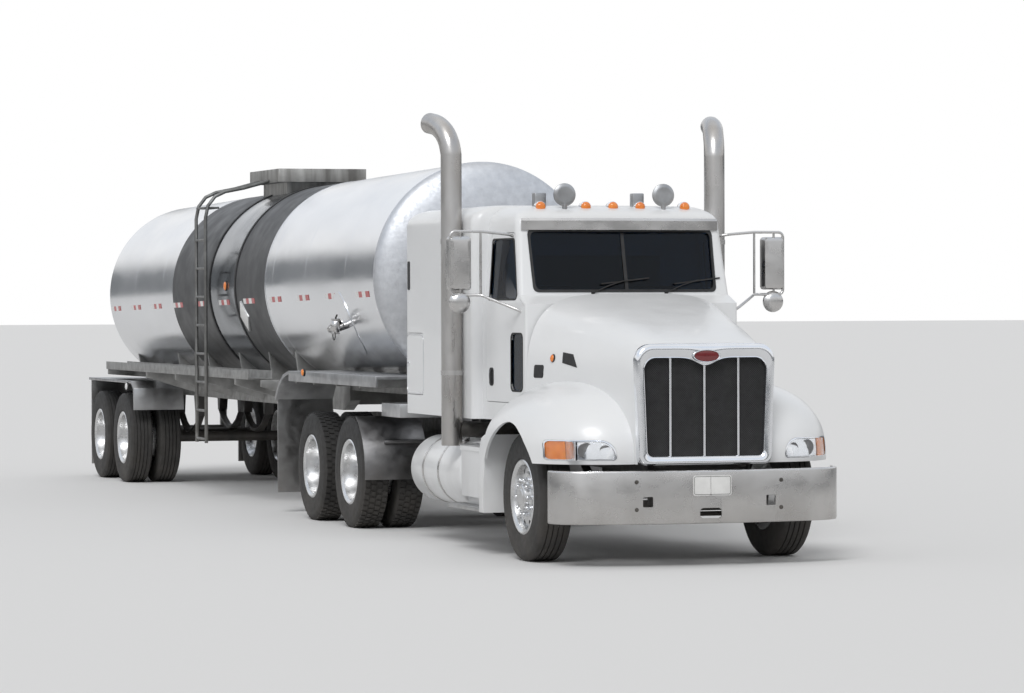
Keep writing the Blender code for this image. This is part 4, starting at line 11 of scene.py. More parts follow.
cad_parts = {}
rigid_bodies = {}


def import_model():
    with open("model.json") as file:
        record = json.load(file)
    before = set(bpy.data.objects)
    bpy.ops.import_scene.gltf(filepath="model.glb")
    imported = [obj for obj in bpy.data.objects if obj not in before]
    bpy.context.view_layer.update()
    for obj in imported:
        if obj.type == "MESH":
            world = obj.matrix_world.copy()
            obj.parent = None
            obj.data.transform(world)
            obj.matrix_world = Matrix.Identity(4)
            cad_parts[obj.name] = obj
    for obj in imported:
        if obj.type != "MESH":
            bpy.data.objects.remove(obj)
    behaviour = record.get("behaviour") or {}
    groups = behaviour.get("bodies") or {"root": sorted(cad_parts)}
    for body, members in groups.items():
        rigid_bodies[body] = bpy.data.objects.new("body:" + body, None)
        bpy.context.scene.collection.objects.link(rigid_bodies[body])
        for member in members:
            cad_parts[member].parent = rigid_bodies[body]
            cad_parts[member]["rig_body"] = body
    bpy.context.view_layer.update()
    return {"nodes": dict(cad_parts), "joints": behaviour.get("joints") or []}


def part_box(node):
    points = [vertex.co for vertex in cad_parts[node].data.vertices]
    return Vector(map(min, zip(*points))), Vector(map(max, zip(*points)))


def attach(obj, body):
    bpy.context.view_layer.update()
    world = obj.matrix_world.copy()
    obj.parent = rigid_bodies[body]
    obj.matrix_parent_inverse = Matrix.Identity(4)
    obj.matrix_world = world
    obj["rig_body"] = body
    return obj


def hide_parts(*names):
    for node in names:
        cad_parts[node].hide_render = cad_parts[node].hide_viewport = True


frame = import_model()
joints = {joint["name"]: joint for joint in frame["joints"]}
axleY = joints["steer_left"]["pos_m"][1]
axleZ = joints["steer_left"]["pos_m"][2]
sides = ((1, "left"), (-1, "right"))


class Values(dict):
    # a dictionary of settable values that also reads as value.name
    __getattr__ = dict.__getitem__


# Camera, floor and light

cameraSetup = Values(lens=137.4, sensorWidth=36.0, station=-29.538, across=-10.842, height=2.082,
                     yaw=18.02, pitch=-0.687, roll=-0.17, far=400.0)
lightSetup = Values(sunStrength=1.45, sunAngle=24, sunFrom=(-0.62, -0.95, 1.15), skyStrength=0.50,
                    horizonGrey=(0.20, 0.21, 0.22), groundGrey=(0.36, 0.355, 0.35),
                    highSky=(0.80, 0.88, 1.0), bandTop=0.10, skyTop=0.55, floorSize=300.0,
                    floorColour=(0.80, 0.80, 0.80), floorRoughness=0.9)


def makeCamera():
    yaw, pitch, roll = (radians(cameraSetup[key]) for key in ("yaw", "pitch", "roll"))
    ahead = Vector((sin(yaw) * cos(pitch), cos(yaw) * cos(pitch), sin(pitch)))
    right = Vector((cos(yaw), -sin(yaw), 0))
    up = right.cross(ahead)
    turnedRight = right * cos(roll) + up * sin(roll)
    turnedUp = up * cos(roll) - right * sin(roll)
    data = bpy.data.cameras.new("photoCamera")
    data.lens = cameraSetup.lens
    data.sensor_width = cameraSetup.sensorWidth
    data.clip_end = cameraSetup.far
    camera = bpy.data.objects.new("photoCamera", data)
    bpy.context.scene.collection.objects.link(camera)
    turn = Matrix((turnedRight, turnedUp, -ahead)).transposed().to_4x4()
    place = Vector((cameraSetup.across, cameraSetup.station + axleY, cameraSetup.height))
    camera.matrix_world = Matrix.Translation(place) @ turn
    bpy.context.scene.camera = camera


def makeLight():
    sunData = bpy.data.lights.new("softSun", "SUN")
    sunData.energy = lightSetup.sunStrength
    sunData.angle = radians(lightSetup.sunAngle)
    sun = bpy.data.objects.new("softSun", sunData)
    bpy.context.scene.collection.objects.link(sun)
    sun.rotation_euler = Vector(lightSetup.sunFrom).to_track_quat("Z", "Y").to_euler()

    world = bpy.data.worlds.new("studio")
    bpy.context.scene.world = world
    world.use_nodes = True
    tree = world.node_tree
    tree.nodes.clear()
    place = tree.nodes.new("ShaderNodeTexCoord")
    height = tree.nodes.new("ShaderNodeSeparateXYZ")
    tree.links.new(place.outputs["Generated"], height.inputs[0])
    # what metal sees: ground, a low dark line at the horizon, then pale sky
    ramp = tree.nodes.new("ShaderNodeValToRGB")
    spread = tree.nodes.new("ShaderNodeMapRange")
    spread.inputs["From Min"].default_value = -1
    tree.links.new(height.outputs["Z"], spread.inputs["Value"])
    tree.links.new(spread.outputs["Result"], ramp.inputs["Fac"])
    stops = ((0, lightSetup.groundGrey), (0.485, lightSetup.groundGrey), (0.50, lightSetup.horizonGrey),
             (0.5 + lightSetup.bandTop / 2, lightSetup.horizonGrey),
             (0.53 + lightSetup.bandTop / 2, (1, 1, 1)),
             (0.5 + lightSetup.skyTop / 2, lightSetup.highSky), (1, (1, 1, 1)))
    while len(ramp.color_ramp.elements) < len(stops):
        ramp.color_ramp.elements.new(1)
    for element, (position, colour) in zip(ramp.color_ramp.elements, stops):
        element.position = position
        element.color = (*colour, 1)
    # plain white behind the object, a softer white that lights it, the ramp in its reflections
    seen, soft, reflected = background(tree), background(tree, lightSetup.skyStrength), background(tree)
    tree.links.new(ramp.outputs["Color"], reflected.inputs["Color"])
    rays = tree.nodes.new("ShaderNodeLightPath").outputs
    direct = mathNode(tree, "MAXIMUM")
    tree.links.new(rays["Is Camera Ray"], direct.inputs[0])
    tree.links.new(rays["Is Transmission Ray"], direct.inputs[1])
    glossy = mixShader(tree, rays["Is Glossy Ray"], soft.outputs[0], reflected.outputs[0])
    mixed = mixShader(tree, direct.outputs[0], glossy, seen.outputs[0])
    out = tree.nodes.new("ShaderNodeOutputWorld")
    tree.links.new(mixed, out.inputs["Surface"])
    bpy.context.scene.view_settings.view_transform = "Standard"


# Shader groups and finishes

def newGroup(name, inputs, outputs):
    group = bpy.data.node_groups.new(name, "ShaderNodeTree")
    for label, kind, value in inputs:
        socket = group.interface.new_socket(label, in_out="INPUT", socket_type=kind)
        socket.default_value = value
    for label, kind in outputs:
        group.interface.new_socket(label, in_out="OUTPUT", socket_type=kind)
    return group, group.nodes.new("NodeGroupInput"), group.nodes.new("NodeGroupOutput")


def mathNode(tree, operation, clamp=False):
    node = tree.nodes.new("ShaderNodeMath")
    node.operation = operation
    node.use_clamp = clamp
    return node


def groupNode(tree, name, values):
    # one of the shader groups, with the values of its sockets
    node = tree.nodes.new("ShaderNodeGroup")
    node.node_tree = groups[name]
    for label, value in values.items():
        node.inputs[label].default_value = value
    return node


def background(tree, strength=1):
    node = tree.nodes.new("ShaderNodeBackground")
    node.inputs["Color"].default_value = (1, 1, 1, 1)
    node.inputs["Strength"].default_value = strength
    return node


def mixShader(tree, share, low, high):
    node = tree.nodes.new("ShaderNodeMixShader")
    for source, socket in ((share, "Fac"), (low, 1), (high, 2)):
        tree.links.new(source, node.inputs[socket])
    return node.outputs[0]


def makeMottle():
    # cloudy variation between two values, at a scale in repeats a metre
    sockets = (("Scale", "NodeSocketFloat", 3), ("Detail", "NodeSocketFloat", 4),
               ("Low", "NodeSocketFloat", 0), ("High", "NodeSocketFloat", 1),
               ("Stretch", "NodeSocketVector", (1, 1, 1)))
    group, given, result = newGroup("mottle", sockets, (("Value", "NodeSocketFloat"),))
    place = group.nodes.new("ShaderNodeTexCoord")
    stretch = group.nodes.new("ShaderNodeVectorMath")
    stretch.operation = "MULTIPLY"
    noise = group.nodes.new("ShaderNodeTexNoise")
    spread = group.nodes.new("ShaderNodeMapRange")
    spread.inputs["From Min"].default_value = 0.32
    spread.inputs["From Max"].default_value = 0.68
    group.links.new(place.outputs["Object"], stretch.inputs[0])
    group.links.new(given.outputs["Stretch"], stretch.inputs[1])
    group.links.new(stretch.outputs[0], noise.inputs["Vector"])
    group.links.new(given.outputs["Scale"], noise.inputs["Scale"])
    group.links.new(given.outputs["Detail"], noise.inputs["Detail"])
    group.links.new(noise.outputs["Fac"], spread.inputs["Value"])
    group.links.new(given.outputs["Low"], spread.inputs["To Min"])
    group.links.new(given.outputs["High"], spread.inputs["To Max"])
    group.links.new(spread.outputs["Result"], result.inputs["Value"])
    return group


def makeRoadDust():
    # a mask that is strongest near the ground and breaks up into streaks
    sockets = (("Line", "NodeSocketFloat", 1.2), ("Fade", "NodeSocketFloat", 0.8),
               ("Amount", "NodeSocketFloat", 0.5))
    group, given, result = newGroup("roadDust", sockets, (("Mask", "NodeSocketFloat"),))
    place = group.nodes.new("ShaderNodeTexCoord")
    split = group.nodes.new("ShaderNodeSeparateXYZ")
    below, share = mathNode(group, "SUBTRACT"), mathNode(group, "DIVIDE", True)
    cloud = groupNode(group, "mottle", streaks)
    broken, amount = mathNode(group, "MULTIPLY"), mathNode(group, "MULTIPLY", True)
    group.links.new(place.outputs["Object"], split.inputs[0])
    group.links.new(given.outputs["Line"], below.inputs[0])
    group.links.new(split.outputs["Z"], below.inputs[1])
    group.links.new(below.outputs[0], share.inputs[0])
    group.links.new(given.outputs["Fade"], share.inputs[1])
    group.links.new(share.outputs[0], broken.inputs[0])
    group.links.new(cloud.outputs["Value"], broken.inputs[1])
    group.links.new(broken.outputs[0], amount.inputs[0])
    group.links.new(given.outputs["Amount"], amount.inputs[1])
    group.links.new(amount.outputs[0], result.inputs["Mask"])
    return group


groups = {}
streaks = {"Scale": 5, "Low": 0.35, "Stretch": (1, 1, 0.4)}
groups["mottle"] = makeMottle()
groups["roadDust"] = makeRoadDust()

# Each finish: its colour and the second it wanders to, roughness low and high, how it is worn and marked.
finishes = {
    "whitePaint": dict(colour=(0.79, 0.80, 0.81), second=(0.775, 0.785, 0.795), roughness=(0.30, 0.38),
                       coat=0.2, scale=2.5, dust=0.35, dustLine=1.0, bump=0.0004, bumpScale=3),
    "chromeTrim": dict(colour=(0.80, 0.81, 0.83), second=(0.76, 0.77, 0.79), roughness=(0.10, 0.16),
                       metallic=1, scale=4, dust=0.2, dustLine=0.9, bump=0.0001, bumpScale=3),
    "bumperSteel": dict(colour=(0.62, 0.61, 0.60), second=(0.50, 0.49, 0.48), roughness=(0.20, 0.36),
                        metallic=1, scale=3, dust=0.4, dustLine=0.75, dustFade=0.5, bump=0.0002,
                        bumpScale=4, stretch=(0.6, 1, 1)),
    "stackSteel": dict(colour=(0.55, 0.54, 0.53), second=(0.42, 0.40, 0.38), roughness=(0.22, 0.42),
                       metallic=1, scale=5, dust=0.3, dustLine=1.4, bump=0.0004, bumpScale=6,
                       stretch=(1, 1, 0.25)),
    "tankSteel": dict(colour=(0.80, 0.81, 0.83), second=(0.72, 0.73, 0.75), roughness=(0.16, 0.26),
                      metallic=1, scale=1.2, dust=0.5, dustLine=1.9, dustFade=0.8, bump=0.0008,
                      bumpScale=1.5, stretch=(1, 0.35, 1)),
    "tankSatin": dict(colour=(0.60, 0.61, 0.63), second=(0.52, 0.53, 0.55), roughness=(0.42, 0.60),
                      metallic=1, scale=14, dust=0.35, dustLine=1.9, bump=0.0006, bumpScale=20),
    "tankDark": dict(colour=(0.085, 0.087, 0.09), second=(0.055, 0.056, 0.058), roughness=(0.45, 0.62),
                     metallic=0.3, scale=2, dust=0.3, dustLine=2.0, bump=0.0001, bumpScale=12),
    "tankShade": dict(colour=(0.20, 0.215, 0.235), second=(0.14, 0.15, 0.165), roughness=(0.12, 0.22),
                      metallic=0.9, scale=1.6, dust=0.3, dustLine=2.0, bump=0.0006, bumpScale=2),
    "aluminium": dict(colour=(0.58, 0.585, 0.59), second=(0.46, 0.465, 0.47), roughness=(0.30, 0.48),
                      metallic=1, scale=6, dust=0.5, dustLine=1.3, bump=0.0004, bumpScale=14),
    "fenderSteel": dict(colour=(0.24, 0.24, 0.245), second=(0.15, 0.15, 0.155), roughness=(0.28, 0.5),
                        metallic=1, scale=5, dust=0.5, dustLine=1.3, bump=0.0004, bumpScale=9),
    "trailerSteel": dict(colour=(0.46, 0.465, 0.47), second=(0.30, 0.30, 0.305), roughness=(0.30, 0.5),
                         metallic=1, scale=5, dust=0.45, dustLine=1.3, bump=0.0004, bumpScale=12),
    "ladderSteel": dict(colour=(0.22, 0.22, 0.215), second=(0.13, 0.13, 0.125), roughness=(0.42, 0.62),
                        metallic=0.7, scale=8, dust=0.4, dustLine=1.6, bump=0.0005, bumpScale=25),
    "boxSteel": dict(colour=(0.46, 0.455, 0.44), second=(0.17, 0.165, 0.155), roughness=(0.45, 0.65),
                     metallic=0.6, scale=9, dust=0.2, dustLine=2.0, bump=0.0005, bumpScale=25,
                     stretch=(1, 1, 0.12)),
    "alloyWheel": dict(colour=(0.76, 0.765, 0.77), second=(0.62, 0.62, 0.62), roughness=(0.24, 0.36),
                       metallic=1, scale=8, dust=0.3, dustLine=1.2, bump=0.0001, bumpScale=20),
    "frameBlack": dict(colour=(0.035, 0.035, 0.036), second=(0.02, 0.02, 0.02), roughness=(0.45, 0.65),
                       scale=7, dust=0.55, dustLine=1.3, bump=0.0006, bumpScale=40),
    "trailerGrey": dict(colour=(0.36, 0.36, 0.355), second=(0.24, 0.24, 0.235), roughness=(0.42, 0.62),
                        metallic=0.6, scale=8, dust=0.5, dustLine=1.6, bump=0.0005, bumpScale=25),
    "castIron": dict(colour=(0.06, 0.058, 0.055), second=(0.035, 0.033, 0.03), roughness=(0.5, 0.7),
                     metallic=0.4, scale=12, dust=0.5, dustLine=1.2, bump=0.001, bumpScale=60),
    "tyreRubber": dict(colour=(0.028, 0.028, 0.029), second=(0.018, 0.018, 0.018), roughness=(0.72, 0.88),
                       scale=9, dust=0.22, dustLine=1.05, dustFade=0.9, bump=0.0005, bumpScale=90),
    "blackRubber": dict(colour=(0.02, 0.02, 0.021), second=(0.014, 0.014, 0.014), roughness=(0.55, 0.7),
                        scale=10, dust=0.25, dustLine=1.1, bump=0.0003, bumpScale=50),
    "trimDark": dict(colour=(0.045, 0.045, 0.047), second=(0.03, 0.03, 0.031), roughness=(0.5, 0.65),
                     scale=12, dust=0.1, dustLine=1.3, bump=0.0004, bumpScale=120),
    "seatCloth": dict(colour=(0.07, 0.07, 0.075), second=(0.045, 0.045, 0.05), roughness=(0.85, 0.95),
                      scale=30, dust=0.05, dustLine=1.4, bump=0.0012, bumpScale=300),
    "lampClear": dict(colour=(0.96, 0.97, 0.98), second=(0.93, 0.94, 0.95), roughness=(0.0, 0.02),
                      ior=1.3, transmission=1, scale=8, dust=0.1, dustLine=0.9, bump=0, bumpScale=5),
    "lampAmber": dict(colour=(0.90, 0.27, 0.03), second=(0.80, 0.20, 0.02), roughness=(0.10, 0.18),
                      coat=0.6, scale=20, dust=0.1, dustLine=0.9, bump=0.0008, bumpScale=160),
    "badgeRed": dict(colour=(0.17, 0.012, 0.015), second=(0.13, 0.01, 0.012), roughness=(0.12, 0.2),
                     coat=0.7, scale=20, dust=0, dustLine=1, bump=0, bumpScale=5),
    "glass": dict(colour=(0.05, 0.09, 0.15), second=(0.04, 0.08, 0.13), roughness=(0.0, 0.02),
                  transmission=1, ior=1.3, scale=2, dust=0, dustLine=1, bump=0, bumpScale=5),
    "mirrorFace": dict(colour=(0.85, 0.86, 0.87), second=(0.83, 0.84, 0.85), roughness=(0.01, 0.03),
                       metallic=1, scale=3, dust=0, dustLine=1, bump=0, bumpScale=5),
    "plateWhite": dict(colour=(0.78, 0.78, 0.77), second=(0.70, 0.70, 0.69), roughness=(0.35, 0.5),
                       scale=14, dust=0.2, dustLine=1.0, bump=0.0003, bumpScale=60),
    "tapeRed": dict(colour=(0.50, 0.035, 0.04), second=(0.42, 0.03, 0.03), roughness=(0.25, 0.4),
                    coat=0.3, scale=20, dust=0.1, dustLine=2.2, bump=0.0004, bumpScale=300),
    "tapeWhite": dict(colour=(0.80, 0.80, 0.80), second=(0.70, 0.70, 0.69), roughness=(0.25, 0.4),
                      coat=0.3, scale=20, dust=0.1, dustLine=2.2, bump=0.0004, bumpScale=300),
}
dustColour = (0.23, 0.205, 0.175)
roughScale = 2.3


def makeFinish(name):
    values = finishes[name]
    material = bpy.data.materials.new(name)
    material.use_nodes = True
    tree = material.node_tree
    shader = tree.nodes["Principled BSDF"]
    stretch = values.get("stretch", (1, 1, 1))
    cloud = groupNode(tree, "mottle", {"Scale": values["scale"], "Stretch": stretch})
    blend = tree.nodes.new("ShaderNodeMix")
    blend.data_type = "RGBA"
    blend.inputs[6].default_value = (*values["colour"], 1)
    blend.inputs[7].default_value = (*values["second"], 1)
    tree.links.new(cloud.outputs["Value"], blend.inputs[0])
    fade = values.get("dustFade", values["dustLine"])
    dust = groupNode(tree, "roadDust", {"Line": values["dustLine"], "Fade": fade, "Amount": values["dust"]})
    dusty = tree.nodes.new("ShaderNodeMix")
    dusty.data_type = "RGBA"
    dusty.inputs[7].default_value = (*dustColour, 1)
    tree.links.new(dust.outputs["Mask"], dusty.inputs[0])
    tree.links.new(blend.outputs[2], dusty.inputs[6])
    tree.links.new(dusty.outputs[2], shader.inputs["Base Color"])
    low, high = values["roughness"]
    rough = groupNode(tree, "mottle", {"Scale": values["scale"] * roughScale, "Stretch": stretch,
                                       "Low": low, "High": high})
    tree.links.new(rough.outputs["Value"], shader.inputs["Roughness"])
    if values["bump"]:
        grain = groupNode(tree, "mottle", {"Scale": values["bumpScale"]})
        bump = tree.nodes.new("ShaderNodeBump")
        bump.inputs["Distance"].default_value = values["bump"]
        tree.links.new(grain.outputs["Value"], bump.inputs["Height"])
        tree.links.new(bump.outputs["Normal"], shader.inputs["Normal"])
    for label, key, usual in (("Metallic", "metallic", 0), ("Coat Weight", "coat", 0),
                              ("Transmission Weight", "transmission", 0), ("IOR", "ior", 1.5)):
        shader.inputs[label].default_value = values.get(key, usual)
    material.diffuse_color = (*values["colour"], 1)
    return material


makeCamera()
makeLight()
materials = {name: makeFinish(name) for name in finishes}
print("camera, light and finishes ready")


# Mesh tools: a solid is a list of points and a list of faces, in stations

def loft(rings):
    count = len(rings[0])
    points = [Vector(point) for ring in rings for point in ring]
    faces = []
    for row in range(len(rings) - 1):
        for column in range(count):
            after = (column + 1) % count
            low, high = row * count, (row + 1) * count
            faces.append((low + column, low + after, high + after, high + column))
    faces.append(tuple(reversed(range(count))))
    faces.append(tuple(range((len(rings) - 1) * count, len(rings) * count)))
    return points, faces


def box(xs, ys, zs):
    outline = [(xs[0], ys[0]), (xs[1], ys[0]), (xs[1], ys[1]), (xs[0], ys[1])]
    return loft([[(x, y, z) for x, y in outline] for z in zs])


def prism(outline, axis, span):
    order = {"X": lambda a, b, c: (c, a, b), "Y": lambda a, b, c: (a, c, b),
             "Z": lambda a, b, c: (a, b, c)}[axis]
    return loft([[order(a, b, place) for a, b in outline] for place in span])


def acrossFrame(run):
    run = run.normalized()
    helper = Vector((0, 0, 1)) if abs(run.z) < 0.9 else Vector((1, 0, 0))
    side = run.cross(helper).normalized()
    return side, run.cross(side)


def lathe(profile, steps, start, run, closed=False):
    # profile: distance along the run, radius; a radius of zero closes at a pole
    start, run = Vector(start), Vector(run).normalized()
    side, up = acrossFrame(run)
    rings = []
    ways = [side * cos(2 * pi * step / steps) + up * sin(2 * pi * step / steps) for step in range(steps)]
    for along, radius in profile:
        rings.append([start + run * along + way * radius for way in ways])
    points, faces = loft(rings)
    if closed:
        faces = faces[:-2]
        last = (len(rings) - 1) * steps
        faces += [(last + step, last + (step + 1) % steps, (step + 1) % steps, step)
                  for step in range(steps)]
    return points, faces


def rod(start, end, radius, steps=24):
    return lathe([(0, radius), ((Vector(end) - Vector(start)).length, radius)], steps, start,
                 Vector(end) - Vector(start))


def curveThrough(stops, each):
    # smooth points through the stops, each steps between two of them
    stops = [Vector(stop) for stop in stops]
    line = []
    for index in range(len(stops) - 1):
        before = stops[max(index - 1, 0)]
        first, second = stops[index], stops[index + 1]
        after = stops[min(index + 2, len(stops) - 1)]
        for step in range(each):
            t = step / each
            line.append(0.5 * (2 * first + (second - before) * t
                               + (2 * before - 5 * first + 4 * second - after) * t ** 2
                               + (3 * first - before - 3 * second + after) * t ** 3))
    return line + [stops[-1]]


def sweep(line, section, closed=False):
    # the section's points are (across, up) from the line; the frame is carried along without twist
    line = [Vector(point) for point in line]
    count = len(line)
    rings = []
    side = None
    for index, point in enumerate(line):
        before = line[index - 1] if closed or index else point
        after = line[(index + 1) % count] if closed or index < count - 1 else point
        run = (after - before).normalized()
        side = acrossFrame(run)[0] if side is None else (side - run * side.dot(run)).normalized()
        up = run.cross(side)
        rings.append([point + side * a + up * b for a, b in section])
    points, faces = loft(rings)
    if closed:
        width, last = len(section), (count - 1) * len(section)
        faces = faces[:-2] + [(last + step, last + (step + 1) % width, (step + 1) % width, step)
                              for step in range(width)]
    return points, faces


def circle(radius, steps=12):
    return [(radius * cos(2 * pi * step / steps), radius * sin(2 * pi * step / steps))
            for step in range(steps)]


def tube(line, radius, steps=12, closed=False):
    return sweep(line, circle(radius, steps), closed)


def arc(centre, radius, first, last, steps):
    turn = [radians(first + (last - first) * step / steps) for step in range(steps + 1)]
    return [(centre[0] + radius * cos(angle), centre[1] + radius * sin(angle)) for angle in turn]


def both(solid):
    return [sided(solid, side) for side in (1, -1)]


def roundedOutline(low, high, radius, steps=6):
    (a0, b0), (a1, b1) = low, high
    return (arc((a1 - radius, b0 + radius), radius, -90, 0, steps)
            + arc((a1 - radius, b1 - radius), radius, 0, 90, steps)
            + arc((a0 + radius, b1 - radius), radius, 90, 180, steps)
            + arc((a0 + radius, b0 + radius), radius, 180, 270, steps))


def mirrored(solid):
    points, faces = solid
    return [Vector((-point[0], point[1], point[2])) for point in points], [face[::-1] for face in faces]


def sided(solid, side):
    return solid if side > 0 else mirrored(solid)


def meshObject(name, solids, lift=True):
    # stations become the frame's own y; doubles are merged and every face turned outward
    shift = Vector((0, axleY if lift else 0, 0))
    bm = bmesh.new()
    for points, faces in solids:
        corners = [bm.verts.new(Vector(point) + shift) for point in points]
        for face in faces:
            bm.faces.new([corners[index] for index in face])
    bmesh.ops.remove_doubles(bm, verts=bm.verts, dist=0.00002)
    bmesh.ops.recalc_face_normals(bm, faces=bm.faces)
    mesh = bpy.data.meshes.new(name)
    bm.to_mesh(mesh)
    bm.free()
    made = bpy.data.objects.new(name, mesh)
    bpy.context.scene.collection.objects.link(made)
    return made


def applied(made):
    # the modifiers' result becomes the object's own plain mesh
    result = bpy.data.meshes.new_from_object(made.evaluated_get(bpy.context.evaluated_depsgraph_get()))
    old = made.data
    made.modifiers.clear()
    made.data = result
    bpy.data.meshes.remove(old)
    return made


def carve(made, solids, operation="DIFFERENCE", lift=True):
    cutter = meshObject(f"{made.name}Cutter", solids, lift)
    modifier = made.modifiers.new("carve", "BOOLEAN")
    modifier.operation = operation
    modifier.solver = "EXACT"
    modifier.use_self = True
    modifier.object = cutter
    applied(made)
    bpy.data.objects.remove(cutter)
    return made


def bevelled(made, width, segments=2, angle=30):
    bm = bmesh.new()
    bm.from_mesh(made.data)
    bmesh.ops.remove_doubles(bm, verts=bm.verts, dist=0.00002)
    bmesh.ops.dissolve_limit(bm, angle_limit=radians(0.5), verts=bm.verts, edges=bm.edges)
    bm.to_mesh(made.data)
    bm.free()
    modifier = made.modifiers.new("bevel", "BEVEL")
    modifier.width = width
    modifier.segments = segments
    modifier.limit_method = "ANGLE"
    modifier.angle_limit = radians(angle)
    modifier.use_clamp_overlap = True
    return applied(made)


def finishPiece(made, body, finish, sharp=35, replaced=()):
    made.data.materials.clear()
    made.data.materials.append(materials[finish])
    made.data.shade_smooth()
    made.data.set_sharp_from_angle(angle=radians(sharp))
    if replaced:
        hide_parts(*replaced)
    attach(made, body)
    return made


def piece(name, solids, body, finish, bevel=0, sharp=35, replaced=()):
    made = meshObject(name, solids)
    if bevel:
        bevelled(made, bevel)
    return finishPiece(made, body, finish, sharp, replaced)


def softened(nodeName, finish, bevel=0.004, segments=2, sharp=35):
    # a CAD node's own shape with its edges broken, in place of the node
    node = frame["nodes"][nodeName]
    made = bpy.data.objects.new(f"{nodeName}_finished", node.data.copy())
    bpy.context.scene.collection.objects.link(made)
    bevelled(made, bevel, segments)
    return finishPiece(made, node["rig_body"], finish, sharp, (nodeName,))


# Geometry Nodes for what repeats: the same small piece round a ring, or along rows

def repeatTree(name, inputs):
    tree = bpy.data.node_groups.new(name, "GeometryNodeTree")
    tree.interface.new_socket("Geometry", in_out="INPUT", socket_type="NodeSocketGeometry")
    for label, kind in inputs:
        tree.interface.new_socket(label, in_out="INPUT", socket_type=kind)
    tree.interface.new_socket("Geometry", in_out="OUTPUT", socket_type="NodeSocketGeometry")
    return tree, tree.nodes.new("NodeGroupInput"), tree.nodes.new("NodeGroupOutput")


def finishTree(tree, given, result, instances):
    real = tree.nodes.new("GeometryNodeRealizeInstances")
    coat = tree.nodes.new("GeometryNodeSetMaterial")
    tree.links.new(instances, real.inputs["Geometry"])
    tree.links.new(real.outputs["Geometry"], coat.inputs["Geometry"])
    tree.links.new(given.outputs["Material"], coat.inputs["Material"])
    tree.links.new(coat.outputs["Geometry"], result.inputs["Geometry"])


def makeRingTree():
    # the input mesh stands at each of Count places round the X axis, Radius away from it
    sockets = (("Count", "NodeSocketInt"), ("Radius", "NodeSocketFloat"),
               ("First Angle", "NodeSocketFloat"), ("Material", "NodeSocketMaterial"))
    tree, given, result = repeatTree("ringOfPieces", sockets)
    spots = tree.nodes.new("GeometryNodePoints")
    index = tree.nodes.new("GeometryNodeInputIndex")
    share, angle = mathNode(tree, "DIVIDE"), mathNode(tree, "MULTIPLY_ADD")
    angle.inputs[1].default_value = 2 * pi
    turn = tree.nodes.new("ShaderNodeCombineXYZ")
    reach = tree.nodes.new("ShaderNodeCombineXYZ")
    rotate = tree.nodes.new("ShaderNodeVectorRotate")
    rotate.rotation_type = "X_AXIS"
    stand = tree.nodes.new("GeometryNodeInstanceOnPoints")
    tree.links.new(given.outputs["Count"], spots.inputs["Count"])
    tree.links.new(index.outputs[0], share.inputs[0])
    tree.links.new(given.outputs["Count"], share.inputs[1])
    tree.links.new(share.outputs[0], angle.inputs[0])
    tree.links.new(given.outputs["First Angle"], angle.inputs[2])
    tree.links.new(angle.outputs[0], turn.inputs["X"])
    tree.links.new(given.outputs["Radius"], reach.inputs["Z"])
    tree.links.new(reach.outputs[0], rotate.inputs["Vector"])
    tree.links.new(angle.outputs[0], rotate.inputs["Angle"])
    tree.links.new(rotate.outputs[0], spots.inputs["Position"])
    tree.links.new(spots.outputs["Points"], stand.inputs["Points"])
    tree.links.new(given.outputs["Geometry"], stand.inputs["Instance"])
    tree.links.new(turn.outputs[0], stand.inputs["Rotation"])
    finishTree(tree, given, result, stand.outputs["Instances"])
    return tree


def makeRowTree():
    # the input mesh is repeated Count times along Step, and that row Rows times along Row Step
    sockets = (("Count", "NodeSocketInt"), ("Step", "NodeSocketVector"), ("Rows", "NodeSocketInt"),
               ("Row Step", "NodeSocketVector"), ("Material", "NodeSocketMaterial"))
    tree, given, result = repeatTree("rowsOfPieces", sockets)
    source = given.outputs["Geometry"]
    for count, step in (("Count", "Step"), ("Rows", "Row Step")):
        line = tree.nodes.new("GeometryNodeMeshLine")
        stand = tree.nodes.new("GeometryNodeInstanceOnPoints")
        tree.links.new(given.outputs[count], line.inputs["Count"])
        tree.links.new(given.outputs[step], line.inputs["Offset"])
        tree.links.new(line.outputs["Mesh"], stand.inputs["Points"])
        tree.links.new(source, stand.inputs["Instance"])
        source = stand.outputs["Instances"]
    finishTree(tree, given, result, source)
    return tree


trees = {"ring": makeRingTree(), "rows": makeRowTree()}


def repeated(made, treeName, values, finish):
    modifier = made.modifiers.new("repeat", "NODES")
    modifier.node_group = trees[treeName]
    for item in trees[treeName].interface.items_tree:
        if item.in_out == "INPUT" and item.name != "Geometry":
            modifier[item.identifier] = materials[finish] if item.name == "Material" else values[item.name]
    return applied(made)


def ringPiece(name, solids, centre, side, count, radius, firstAngle, finish):
    # the small piece is drawn at the origin with +X outward; the ring then moves to its centre
    made = repeated(meshObject(name, solids, lift=False), "ring",
                    {"Count": count, "Radius": radius, "First Angle": firstAngle}, finish)
    return moved(made, centre, side)


def rowPiece(name, solids, count, step, finish, rows=1, rowStep=(0, 0, 0)):
    given = {"Count": count, "Step": step, "Rows": rows, "Row Step": rowStep}
    return repeated(meshObject(name, solids), "rows", given, finish)


def moved(made, centre, side):
    # mirrored for the right, then moved to its centre, all in the mesh
    made.data.transform(Matrix.Translation(centre) @ Matrix.Diagonal((side, 1, 1, 1)))
    if side < 0:
        made.data.flip_normals()
    return made


def joinedPieces(name, parts):
    # several finished meshes as one
    bm = bmesh.new()
    for part in parts:
        bm.from_mesh(part.data)
        bpy.data.objects.remove(part)
    mesh = bpy.data.meshes.new(name)
    bm.to_mesh(mesh)
    bm.free()
    made = bpy.data.objects.new(name, mesh)
    bpy.context.scene.collection.objects.link(made)
    return made


